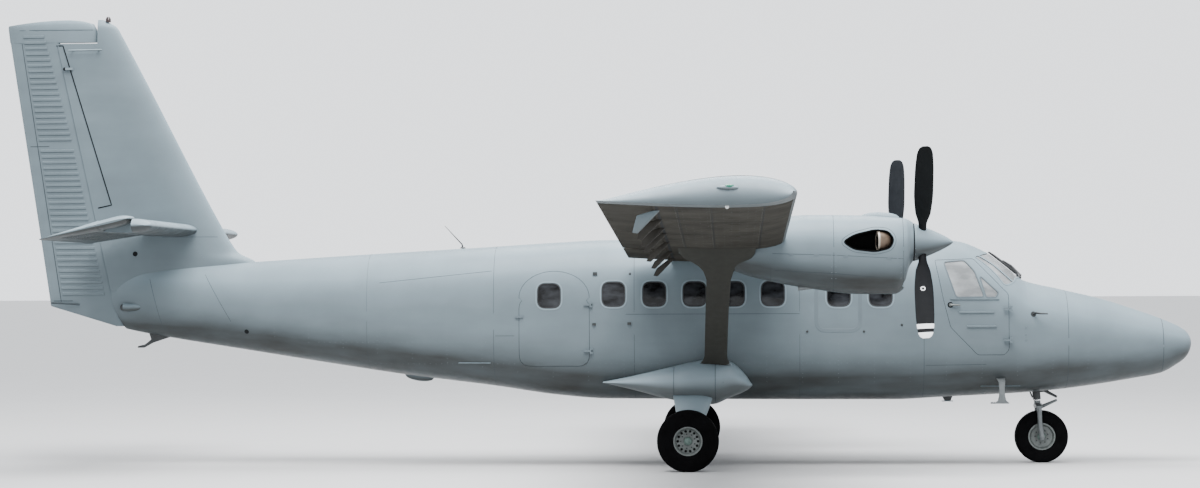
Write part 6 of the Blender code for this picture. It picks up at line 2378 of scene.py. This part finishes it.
@dataclass
class Undercarriage:
    """The wheels, the sponsons with their legs, and the nose gear."""

    main_axle: tuple[float, float, float] = (1.265, 1.855, 0.385)
    nose_axle: tuple[float, float, float] = (5.885, 0.0, 0.340)
    rake: float = math.radians(6.0)
    root_y: float = 0.62
    sponson_rows: ClassVar[Rows] = (
        (2.085, 0.80, 1.040, 1.060), (2.062, 0.900, 1.015, 1.090), (2.000, 1.060, 0.972, 1.190),
        (1.788, 1.230, 0.882, 1.372), (1.566, 1.300, 0.800, 1.402), (1.300, 1.280, 0.822, 1.362),
        (1.034, 1.200, 0.862, 1.300), (0.600, 1.010, 0.974, 1.196), (0.149, 0.860, 1.080, 1.100))
    leg_rows: ClassVar[Rows] = (
        (-0.90, 1.330, 1.000, 0.560, 0.150), (-1.20, 1.320, 0.860, 0.480, 0.130),
        (-1.40, 1.305, 0.690, 0.380, 0.112), (-1.56, 1.270, 0.480, 0.240, 0.100),
        (-1.63, 1.265, 0.360, 0.165, 0.092))
    crown_rows: ClassVar[Rows] = (
        (0.0, 0.066, 0.002, 0.060), (0.10, 0.056, 0.002, 0.050), (0.170, 0.046, -0.006, 0.042),
        (0.182, 0.030, 0.004, 0.030))

    def build(self) -> None:
        """Builds and dresses the undercarriage."""
        x, y, z = self.main_axle
        for side in Side:
            Wheel(f"main_{side.label}", f"main_wheel_{side.label}", Vector((x, side.value * y, z)),
                  side.value, 0.391, 0.280, 0.172, 14).build()
            self.sponson(side)
            self.leg(side)
        Wheel("nose", "nose_wheel", Vector(self.nose_axle), -1, 0.345, 0.220, 0.165).build()
        self.nose_leg()
        self.nose_fork()
        self.nose_lamp()

    def flank(self, x: float, degrees: Sequence[float], way: int) -> list[Vector]:
        """Points round a sponson's section, between straight down at -90 degrees and straight up at 90.

        Args:
            x: The place along the aeroplane.
            degrees: The directions of the points.
            way: 1 for the left flank, -1 for the right.

        Returns:
            The points.
        """
        _, outer, low, high = Table(self.sponson_rows).at(x)
        return [Vector((x, way * (self.root_y + (outer - self.root_y) * max(0.0, math.cos(turn)) ** 0.72),
                        (low + high) / 2 + (high - low) / 2 * math.sin(turn)))
                for turn in map(math.radians, degrees)]

    def sponson(self, side: Side) -> None:
        """The smooth fairing on the hull's flank with its joints.

        Args:
            side: The side of the aeroplane.
        """
        way, rings, joints, half_turn = side.value, [], Pen(), [180 * step / 28 - 90 for step in range(29)]
        for x in [2.085, 2.082, 2.075, 2.062, 2.045, *span(2.02, 0.149, 0.045)]:
            _, _, low, high = Table(self.sponson_rows).at(x)
            root = [Vector((x, way * (self.root_y - 0.02), z)) for z in (high, low)]
            rings.append([*root, *self.flank(x, half_turn, way)])
        for x, first, last in ((1.075, -75, 65), (1.608, -60, 60)):
            angles = span(first, last, 5.0)
            outs = [Vector((0, way * math.cos(turn), math.sin(turn))) for turn in map(math.radians, angles)]
            joints.ribbon(list(zip(self.flank(x, angles, way), outs)), 0.007, 0.0010)
        joints.piece(f"fairing_joints_{side.label}", SEAM)
        Pen().loft(rings).piece(f"gear_fairing_{side.label}_skin", PAINT_PALE,
                                replaces=(f"gear_fairing_{side.label}",))

    def leg(self, side: Side) -> None:
        """One main leg in its fairing, with its axle, its hose and the fairing's screws.

        Args:
            side: The side of the aeroplane.
        """
        way, rows, rings = side.value, Table(self.leg_rows), []
        for y in span(0.90, 1.63, 0.03):
            _, x, z, chord, thick = rows.at(-y)
            normal = Vector((0.0, z - rows.at(-(y + 0.01))[2], 0.01)).normalized()
            rings.append([Vector((x + chord / 2 - aft, way * y, z))
                          + Vector((0, way * normal.y, normal.z)) * half
                          for aft, half in TAIL.foil(chord, thick / 2, thick / 7, 16)])
        Pen().loft(rings).piece(f"leg_fairing_{side.label}", PAINT_PALE)
        x, _, z = self.main_axle
        out = Vector((0, way, 0))
        axle = Pen().tube([(x, way * 1.56, z), (x, way * 1.79, z)], [0.050, 0.045], 28)
        axle.lathe([(0.046, 0.0), (0.105, 0.0), (0.105, 0.045), (0.046, 0.055)], (x, way * 1.672, z), out, 40)
        axle.piece(f"main_axle_{side.label}", LEG_METAL, ROOT, "gear_metal")
        hose = [(x + aft, way * y, height) for aft, y, height in
                ((-0.10, 1.30, 0.70), (-0.13, 1.48, 0.50), (-0.10, 1.62, 0.40), (-0.03, 1.68, 0.44))]
        Pen().tube(hose, 0.008, 10).piece(f"brake_hose_{side.label}", LEG_DARK, ROOT, None)
        screws = Pen()
        for x in (1.50, 1.57, 1.64, 1.71):
            screws.disc((Vector((x, way * 1.276, 1.10)), out), 0.010, 0.004, 8, foot=0.004, drop=0.001)
        screws.piece(f"fairing_screws_{side.label}", RIVET)

    def on_strut(self, height: float, *offset: float) -> Vector:
        """A point on the nose leg's middle line over the axle, moved by an offset if one is given."""
        up = Vector((-math.sin(self.rake), 0.0, math.cos(self.rake)))
        return Vector(self.nose_axle) + up * height / math.cos(self.rake) + Vector(offset or (0, 0, 0))

    def links(self, pen: Pen, *heights: float, fall: float = 0.0, ahead: float = 0.110) -> Pen:
        """Half of the nose leg's folding links, up to their knee.

        Args:
            pen: The pen that draws them.
            heights: The heights of their foot and their bend.
            fall: How far their knee is lowered.
            ahead: How far ahead their bend lies.

        Returns:
            The pen.
        """
        first, second = heights
        knee = Vector((6.094, 0.0, 0.858 - fall))
        return pen.tube([self.on_strut(first), self.on_strut(second, ahead, 0, 0), knee],
                        [0.026, 0.024, 0.016], 14)

    def nose_leg(self) -> None:
        """The fixed nose leg with its upper links."""
        leg = Pen()
        for low, high, radius in ((0.486, 0.640, 0.052), (0.640, 0.664, 0.064), (0.664, 0.760, 0.056)):
            leg.tube([self.on_strut(low), self.on_strut(high)], radius, 32)
        leg.piece("nose_leg_skin", LEG_DARK, ROOT, "gear_metal", ("nose_strut",))
        self.links(Pen(), 0.600, 0.605).piece("upper_link", LEG_DARK, ROOT, "gear_metal")

    def nose_fork(self) -> None:
        """The fork that turns with the nose wheel, its lower links and its bright ring."""
        x, _, z = self.nose_axle
        fork = Pen().tube([self.on_strut(0.385), self.on_strut(0.482)], 0.043, 32)
        crown, rings = self.on_strut(0.375), []
        for y, high, low, half in [*[(-y, *row) for y, *row in self.crown_rows[:0:-1]], *self.crown_rows]:
            middle, tall = crown.z + (high + low) / 2, (high - low) / 2
            rings.append([Vector((crown.x + half * signed_power(math.cos(turn), 0.6), y,
                                  middle + tall * signed_power(math.sin(turn), 0.6))) for turn in circle(24)])
        fork.loft(rings)
        for way in (1, -1):
            fork.tube([(crown.x, way * 0.152, crown.z + 0.03),
                       (crown.x + 0.010, way * 0.154, (crown.z + z) / 2), (x, way * 0.153, z - 0.040)],
                      [0.034, 0.030, 0.036], 24)
            fork.tube([(x, way * 0.052, z), (x, way * 0.190, z)], 0.022, 24)
            fork.lathe([(0.0, 0.012), (0.016, 0.012), (0.030, 0.004), (0.030, -0.008), (0.0, -0.008)],
                       (x, way * 0.186, z), (0, way, 0), 6)
        self.links(fork, 0.400, 0.395, fall=0.040, ahead=0.060).piece(
            "nose_fork_skin", LEG_METAL, "nose_steering", "gear_metal", ("nose_fork",))
        shine = Pen().tube([self.on_strut(0.470), self.on_strut(0.4835)], 0.0445, 32)
        shine.piece("oleo_ring", CHROME, "nose_steering", None)

    def nose_lamp(self) -> None:
        """The taxi lamp and the hoses on the nose leg."""
        spot, hoses = (self.on_strut(0.700, 0.105, 0, 0), Vector((1, 0, -0.1))), Pen()
        lamp = Pen().lathe([(0.0, 0.030), (0.040, 0.028), (0.048, 0.018), (0.046, -0.020), (0.030, -0.045),
                            (0.0, -0.050)], *spot, 28)
        lamp.piece("taxi_lamp", LEG_METAL, ROOT, "gear_metal")
        lens = Pen().lathe([(0.0, 0.034), (0.036, 0.031), (0.038, 0.026), (0.0, 0.026)], *spot, 28)
        lens.piece("taxi_lamp_lens", WHITE_LENS, ROOT, None)
        for way in (1, -1):
            hoses.tube([self.on_strut(height, ahead, way * aside, 0) for height, ahead, aside in
                        ((0.730, -0.050, 0.030), (0.600, -0.085, 0.040), (0.510, -0.056, 0.030))], 0.008, 10)
        hoses.piece("nose_leg_hoses", LEG_DARK, ROOT, None)


@dataclass
class Cockpit:
    """What shows through the cockpit's panes: seats, dials, control wheels, visors and the rear wall."""

    dial_ys: tuple[float, ...] = (0.08, 0.24, 0.37, 0.50)
    dial_zs: tuple[float, ...] = (1.86, 1.99, 2.12)

    def build(self) -> None:
        """Builds and dresses the cockpit."""
        for side in Side:
            self.seat(side)
        self.panel()
        self.controls()
        self.bulkhead()

    def cushion(self, name: str, low: Sequence[float], high: Sequence[float], finish: Finish,
                lean: float = 0.0) -> None:
        """One padded cushion with round edges and a crown.

        Args:
            name: The cushion's name.
            low: The corner with the lowest coordinates.
            high: The corner with the highest ones.
            finish: Its finish.
            lean: How far it is turned about Y, in radians.
        """
        pen, half, middle = Pen(), (Vector(high) - Vector(low)) / 2, (Vector(high) + Vector(low)) / 2
        bmesh.ops.create_cube(pen.bm, size=2.0)
        bmesh.ops.subdivide_edges(pen.bm, edges=pen.bm.edges, cuts=11, use_grid_fill=True)
        power = 5.0
        for vert in pen.bm.verts:
            share = vert.co
            crown = 1.0 + 0.10 * (1 - share.x**2) * (1 - share.y**2) * abs(share.z)
            near = share / sum(abs(part) ** power for part in share) ** (1 / power)
            place = Vector((near.x * half.x, near.y * half.y, near.z * half.z * crown))
            vert.co = middle + Matrix.Rotation(lean, 3, "Y") @ place
        pen.piece(name, finish, ROOT, "seat_fabric")

    def seat(self, side: Side) -> None:
        """One pilot's seat: its frame and its cushions.

        Args:
            side: The side of the aeroplane.
        """
        label = side.label
        inner, outer = side.reach(0.20, 0.62)
        self.cushion(f"seat_cushion_{label}", (4.45, inner + 0.02, 1.56), (4.93, outer - 0.02, 1.68), SEAT)
        self.cushion(f"seat_back_{label}", (4.315, inner + 0.01, 1.66), (4.435, outer - 0.01, 2.20), SEAT,
                     -0.12)
        self.cushion(f"seat_head_{label}", (4.265, inner + 0.09, 2.215), (4.355, outer - 0.09, 2.40), SHEEP,
                     -0.10)
        frame = Pen().box((4.40, inner + 0.03, 1.52), (4.92, outer - 0.03, 1.56))
        frame.box((4.285, inner + 0.03, 1.50), (4.315, outer - 0.03, 2.18))
        for y in (inner + 0.06, outer - 0.06):
            frame.box((4.44, y - 0.012, 1.24), (4.90, y + 0.012, 1.262))
            for x in (4.50, 4.84):
                frame.box((x - 0.014, y - 0.012, 1.26), (x + 0.014, y + 0.012, 1.53))
        frame.piece(f"pilot_seat_{label}_skin", PANEL, ROOT, "panel_plastic", (f"pilot_seat_{label}",))

    def panel(self) -> None:
        """The dials of the instrument panel."""
        back, face = Vector((-1, 0, 0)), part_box("instrument_panel")[0].x
        rings, faces = Pen(), Pen()
        for z in self.dial_zs:
            for y in [*[-y for y in reversed(self.dial_ys)], *self.dial_ys]:
                if z == self.dial_zs[-1] and abs(y) == self.dial_ys[-1]:
                    continue
                spot = Vector((face, y, z)), back
                rings.lathe([(0.040, 0.006), (0.050, 0.005), (0.052, -0.002), (0.040, -0.002)], *spot, 24)
                faces.disc(spot, 0.041, 0.003, 24, foot=0.002)
        rings.piece("dial_rings", LEG_DARK, ROOT, None)
        faces.piece("dial_faces", DIAL, ROOT, None)

    def controls(self) -> None:
        """The pilots' control wheels."""
        wheels = Pen()
        turns = [math.radians(25 * step - 60) for step in range(13)]
        for way in (1, -1):
            wheels.tube([(5.03, way * 0.42 + 0.135 * math.cos(turn), 1.92 + 0.10 * math.sin(turn))
                         for turn in turns],
                        0.014, 12)
        wheels.piece("yoke_grips", PANEL, ROOT, "panel_plastic")

    def bulkhead(self) -> None:
        """The wall behind the seats with its doorway, and the sun visors."""
        wall = Pen().loft([HULL.ring(x, -0.043) for x in (4.262, 4.240)]).piece("cockpit_bulkhead", LINING,
                                                                                ROOT, None)
        door = Pen().prism(soften(((-0.26, 1.26), (0.26, 1.26), (0.26, 2.62), (-0.26, 2.62)), 0.10), "X", 4.2,
                           4.3)
        carve(wall, door.tool())
        visors = Pen()
        for side in Side:
            inner, outer = side.reach(0.10, 0.44)
            visors.box((4.98, inner, 2.700), (5.10, outer, 2.708))
        visors.piece("sun_visors", PANEL, ROOT, None)


@dataclass
class Fittings:
    """Aerials, step, probes, wipers, lamps and small covers on the hull."""

    def build(self) -> None:
        """Builds and dresses the fittings."""
        self.roof()
        self.belly()
        self.crew_step()
        for side in Side:
            self.nose(side)
        for side in Side:
            self.wiper(side)
        self.tail_end()
        self.side_brackets()

    def roof(self) -> None:
        """The whip aerial and the blade aerial on the roof."""
        whip = Pen().tube([(-1.748, 0, 2.855), (-1.756, 0, 2.905), (-1.986, 0, 3.152)], [0.014, 0.009, 0.003],
                          12)
        whip.lathe([(0.0, 0.012), (0.030, 0.010), (0.040, -0.004), (0.0, -0.010)], (-1.745, 0, 2.857),
                   (0, 0, 1), 24)
        whip.piece("whip_aerial", LEG_DARK, ROOT, None)
        rings, chord, height = [], 0.20, 0.14
        for share, size in ((-0.12, 1.0), (0.0, 1.0), (0.5, 0.82), (0.9, 0.62), (1.0, 0.42)):
            front = 4.12 - 0.45 * height * max(0.0, share)
            rings.append([Vector((front - aft, half, 2.945 + height * share)) for aft, half in
                          TAIL.foil(chord * size, 0.013 * size, 0.002, 10)])
        Pen().loft(rings).piece("roof_aerial", PAINT_PALE)

    def belly(self) -> None:
        """The aerials, the drain and the rails under the hull."""
        hump = []
        for share in span(-1.0, 1.0, 0.1):
            x, size = -2.330 + 0.190 * share, math.sqrt(1.0001 - share**2)
            foot = HULL.table.at(x)[3] + 0.006
            hump.append([Vector((x, (0.008 + 0.045 * size) * math.cos(turn),
                                 foot + (0.016 + 0.058 * size) * math.sin(turn))) for turn in circle(24)])
        Pen().loft(hump).piece("belly_aerial_rear", PAINT)
        low = HULL.table.at(4.657)[3]
        fin = soften(((4.575, low + 0.02), (4.735, low + 0.02), (4.700, low - 0.062), (4.622, low - 0.062)),
                     0.01, 3)
        Pen().prism(fin, "Y", -0.012, 0.012).piece("belly_aerial_front", LEG_DARK, ROOT, None)
        Pen().box((4.585, -0.032, low - 0.070), (4.730, 0.032, low - 0.060)).piece("belly_aerial_plate",
                                                                                   PAINT_PALE)
        rails = Pen()
        for side in Side:
            for line, width, height in ((((-1.738, 1.345), (-1.316, 1.342)), 0.018, 0.012),
                                        (((5.043, 1.023), (5.562, 1.021)), 0.012, 0.006)):
                HULL.seam(rails, line, side.value, width, height, closed=False)
        rails.piece("skin_rails", PAINT)
        Pen().lathe([(0.0, 0.022), (0.020, 0.018), (0.030, 0.0), (0.0, -0.010)],
                    HULL.on_side(5.089, 0.930, -1), (0, -0.3, -1), 20).piece("belly_drain", LEG_METAL, ROOT,
                                                                             "gear_metal")

    def crew_step(self) -> None:
        """The crew's boarding step under the right door."""
        top = HULL.on_side(5.300, 1.120, -1)
        corners = ((1.0, 0.4), (0.8, 1.0), (-0.8, 1.0), (-1.0, 0.4), (-1.0, -0.4), (-0.8, -1.0), (0.8, -1.0),
                   (1.0, -0.4))
        pen = Pen().loft([[Vector((5.296 + half * x, y + 0.014 * aside, z)) for x, aside in corners]
                          for y, z, half in ((top.y + 0.03, 1.140, 0.060), (top.y - 0.020, 1.118, 0.055),
                                             (-0.850, 1.085, 0.042), (-0.855, 1.000, 0.036),
                                             (-0.858, 0.900, 0.040), (-0.860, 0.845, 0.055),
                                             (-0.860, 0.820, 0.085))])
        plate = ((5.150, -0.900), (5.384, -0.900), (5.384, -0.820), (5.150, -0.820))
        pen.prism(soften(plate, 0.02, 3), "Z", 0.806, 0.822)
        for x in (5.168 + 0.033 * index for index in range(7)):
            pen.box((x - 0.004, -0.893, 0.820), (x + 0.004, -0.827, 0.828))
        pen.piece("crew_step", LEG_METAL, ROOT, "gear_metal")

    def nose(self, side: Side) -> None:
        """One pitot head and the static ports on one side of the nose.

        Args:
            side: The side of the aeroplane.
        """
        foot, normal = spot = HULL.spot(5.720, 1.955, side.value)
        tip, ports = foot + normal * 0.10, Pen()
        bar = [foot - normal * 0.004, foot + normal * 0.075 + Vector((0.01, 0, 0))]
        bar += [tip + Vector((ahead, 0, -fall))
                for ahead, fall in ((0.035, 0.012), (0.060, 0.016), (0.150, 0.018))]
        Pen().disc(spot, 0.034, 0.006, 28, foot=0.004, rim=0.004, drop=0.001).tube(
            bar, [0.015, 0.014, 0.013, 0.011, 0.009], 16).piece(
                f"pitot_head_{side.label}", LEG_DARK, ROOT, "gear_metal")
        for z in (1.781, 1.691, 1.620):
            ports.disc(HULL.spot(5.622, z, side.value), 0.016, 0.0022, 20, rim=0.002, drop=0.0002)
        ports.piece(f"static_ports_{side.label}", PAINT_BAND)

    def wiper(self, side: Side) -> None:
        """One windscreen wiper with its arm.

        Args:
            side: The side of the aeroplane.
        """
        way = side.value
        places = ((0.100, 2.465), (0.085, 2.540), (0.075, 2.620), (0.070, 2.700), (0.070, 2.745))
        points = [HULL.on_front(way * y, z) + Vector((0.018, 0, 0.024)) for y, z in places]
        pen = Pen().tube(points, [0.011, 0.013, 0.013, 0.012, 0.008], 10)
        pivot = HULL.on_front(way * 0.220, 2.425)
        pen.tube([pivot + Vector((-0.01, 0, -0.01)), pivot + Vector((0.025, -way * 0.02, 0.034)),
                  points[1] + Vector((0.020, way * 0.02, 0.022)), points[2] + Vector((0.010, 0, 0.012))],
                 [0.016, 0.015, 0.012, 0.010], 10)
        pen.disc((pivot, Vector((0.6, 0, 0.8))), 0.022, 0.034, 16, foot=0.010, rim=0.006, drop=0.004)
        pen.piece(f"wiper_{side.label}", PANEL, ROOT, "panel_plastic")

    def tail_end(self) -> None:
        """The tail bumper, the side pods, the drain ports and the tail lamp."""
        pods, ends, ports = Pen(), Pen(), Pen()
        for way in (1, -1):
            spot = (-6.270, way * (HULL.width_at(-6.16, 2.085) + 0.020), 2.085), (1, -way * 0.10, 0)
            pods.lathe([(0.0, 0.330), (0.016, 0.315), (0.036, 0.240), (0.050, 0.140), (0.055, 0.050),
                        (0.052, 0.0), (0.0, 0.0)], *spot, 24)
            ends.lathe([(0.0, 0.002), (0.046, 0.002), (0.040, -0.022), (0.022, -0.036), (0.0, -0.040)], *spot,
                       24)
            ports.disc(HULL.spot(-4.578, 1.761, way), 0.030, 0.002, 24, foot=0.004, rim=0.002)
        pods.piece("tail_pods", PAINT)
        ends.piece("tail_pod_ends", LEG_DARK, ROOT, None)
        skid = ((-5.960, 1.760), (-5.660, 1.690), (-5.905, 1.610), (-6.020, 1.545), (-6.110, 1.545),
                (-6.105, 1.568), (-6.010, 1.590), (-5.925, 1.655))
        Pen().prism(soften(skid, 0.012, 3), "Y", -0.016, 0.016).piece("tail_bumper", LEG_DARK, ROOT,
                                                                      "gear_metal")
        ports.piece("tail_ports", GAP, ROOT, None)
        Pen().lathe([(0.0, 0.030), (0.014, 0.024), (0.020, 0.0), (0.0, -0.010)], (-6.492, 0, 2.46),
                    (-1, 0, 0), 20).piece(
            "tail_lamp", WHITE_LENS, ROOT, None)

    def side_brackets(self) -> None:
        """Small plates and lamps on the cabin's sides."""
        pen = Pen()
        for side in Side:
            for x, z, half, tall in ((0.053, 2.500, 0.028, 0.022), (0.040, 1.846, 0.024, 0.016),
                                     (0.496, 1.856, 0.024, 0.016)):
                place, size = HULL.on_side(x, z, side.value, 0.006), Vector((half, 0.010, tall))
                pen.box(place - size, place + size)
            places = ((2.797, 1.743), (3.527, 1.741), (4.014, 1.825), (0.506, 2.500))
            pen.dots([HULL.spot(x, z, side.value) for x, z in places], 0.018, 0.008)
        pen.piece("cabin_side_brackets", LEG_DARK)


WINGS = Wings()


@dataclass
class Studio:
    """The floor, the lights and the camera of the picture."""

    lens: float = 85.76
    place: tuple[float, float, float] = (1.826, -37.904, 2.318)
    yaw: float = math.radians(2.636)
    pitch: float = math.radians(0.880)
    roll: float = math.radians(-0.247)
    sky: float = 4.2

    def build(self) -> None:
        """Sets the stage."""
        self.floor()
        self.world()
        self.lights()
        self.camera()

    def floor(self) -> None:
        """A plain pale floor."""
        bm, mesh = bmesh.new(), bpy.data.meshes.new("floor")
        bmesh.ops.create_grid(bm, x_segments=1, y_segments=1, size=600.0)
        bm.to_mesh(mesh)
        bm.free()
        mesh.materials.append(material_of(CONCRETE))
        linked("floor", mesh)

    def world(self) -> None:
        """A pale sky, bright at the horizon and overhead and darker between them."""
        world = bpy.data.worlds.new("studio")
        world.use_nodes = True
        tree = world.node_tree
        background = tree.nodes["Background"]
        background.inputs["Color"].default_value = (0.93, 0.96, 1.0, 1.0)
        place, split, curve, scale = (tree.nodes.new(f"ShaderNode{kind}") for kind in
                                      ("TexCoord", "SeparateXYZ", "FloatCurve", "Math"))
        scale.operation = "MULTIPLY"
        scale.inputs[1].default_value = self.sky
        points = curve.mapping.curves[0].points
        points[0].location, points[1].location = (0.0, 0.50), (1.0, 1.0)
        for height, strength in ((0.18, 0.50), (0.32, 0.17), (0.60, 0.20), (0.85, 0.95)):
            points.new(height, strength)
        for point in points:
            point.handle_type = "VECTOR"
        curve.mapping.update()
        for start, end in ((place.outputs["Generated"], split.inputs[0]),
                           (split.outputs[2], curve.inputs["Value"]),
                           (curve.outputs["Value"], scale.inputs[0]),
                           (scale.outputs[0], background.inputs["Strength"])):
            tree.links.new(start, end)
        bpy.context.scene.world = world

    def lights(self) -> None:
        """Two large soft lights overhead, the stronger one on the camera's side."""
        for name, place, size, power, aim in (
            ("key", (1.0, -8.5, 19.0), 14.0, 9500.0, (0.5, 0.0, 2.0)),
            ("back", (1.0, 10.0, 18.0), 12.0, 3000.0, (0.0, 0.0, 2.0)),
        ):
            data = bpy.data.lights.new(name, "AREA")
            data.size = size
            data.energy = power
            lamp = linked(name, data)
            lamp.location = place
            lamp.rotation_euler = (Vector(aim) - Vector(place)).to_track_quat("-Z", "Y").to_euler()

    def camera(self) -> None:
        """The camera that sees the aeroplane as the photo does."""
        data = bpy.data.cameras.new("camera")
        data.lens, data.sensor_width, data.clip_end = self.lens, 36.0, 2000.0
        camera = linked("camera", data)
        forward = Vector((-math.sin(self.yaw) * math.cos(self.pitch),
                          math.cos(self.yaw) * math.cos(self.pitch), math.sin(self.pitch)))
        turn = forward.to_track_quat("-Z", "Y") @ Matrix.Rotation(self.roll, 3, "Z").to_quaternion()
        camera.location = self.place
        camera.rotation_euler = turn.to_euler()
        bpy.context.scene.camera = camera


def paint_kept_nodes() -> None:
    """Gives finishes to the frame's nodes that the scene shows as they are."""
    for name, finish in (("cabin_floor", FLOOR_METAL), ("cockpit_floor", FLOOR_METAL),
                         ("control_column", PANEL), ("instrument_panel", PANEL)):
        for slot in bpy.data.objects[name].material_slots:
            slot.material = material_of(finish)


def main() -> None:
    """Builds the aeroplane and its studio, piece by piece."""
    logging.basicConfig(level=logging.INFO, format="%(message)s")
    paint_kept_nodes()
    parts: list[tuple[str, object]] = [("fuselage", Fuselage()), ("wings", WINGS), ("tail", TAIL)]
    for side in Side:
        parts += [(f"nacelle {side.label}", Nacelle(side)), (f"propeller {side.label}", Propeller(side))]
    parts += [("undercarriage", Undercarriage()), ("cockpit", Cockpit()), ("fittings", Fittings()),
              ("studio", Studio())]
    for name, part in parts:
        part.build()
        LOG.info("built %s", name)


if __name__ == "__main__":
    main()
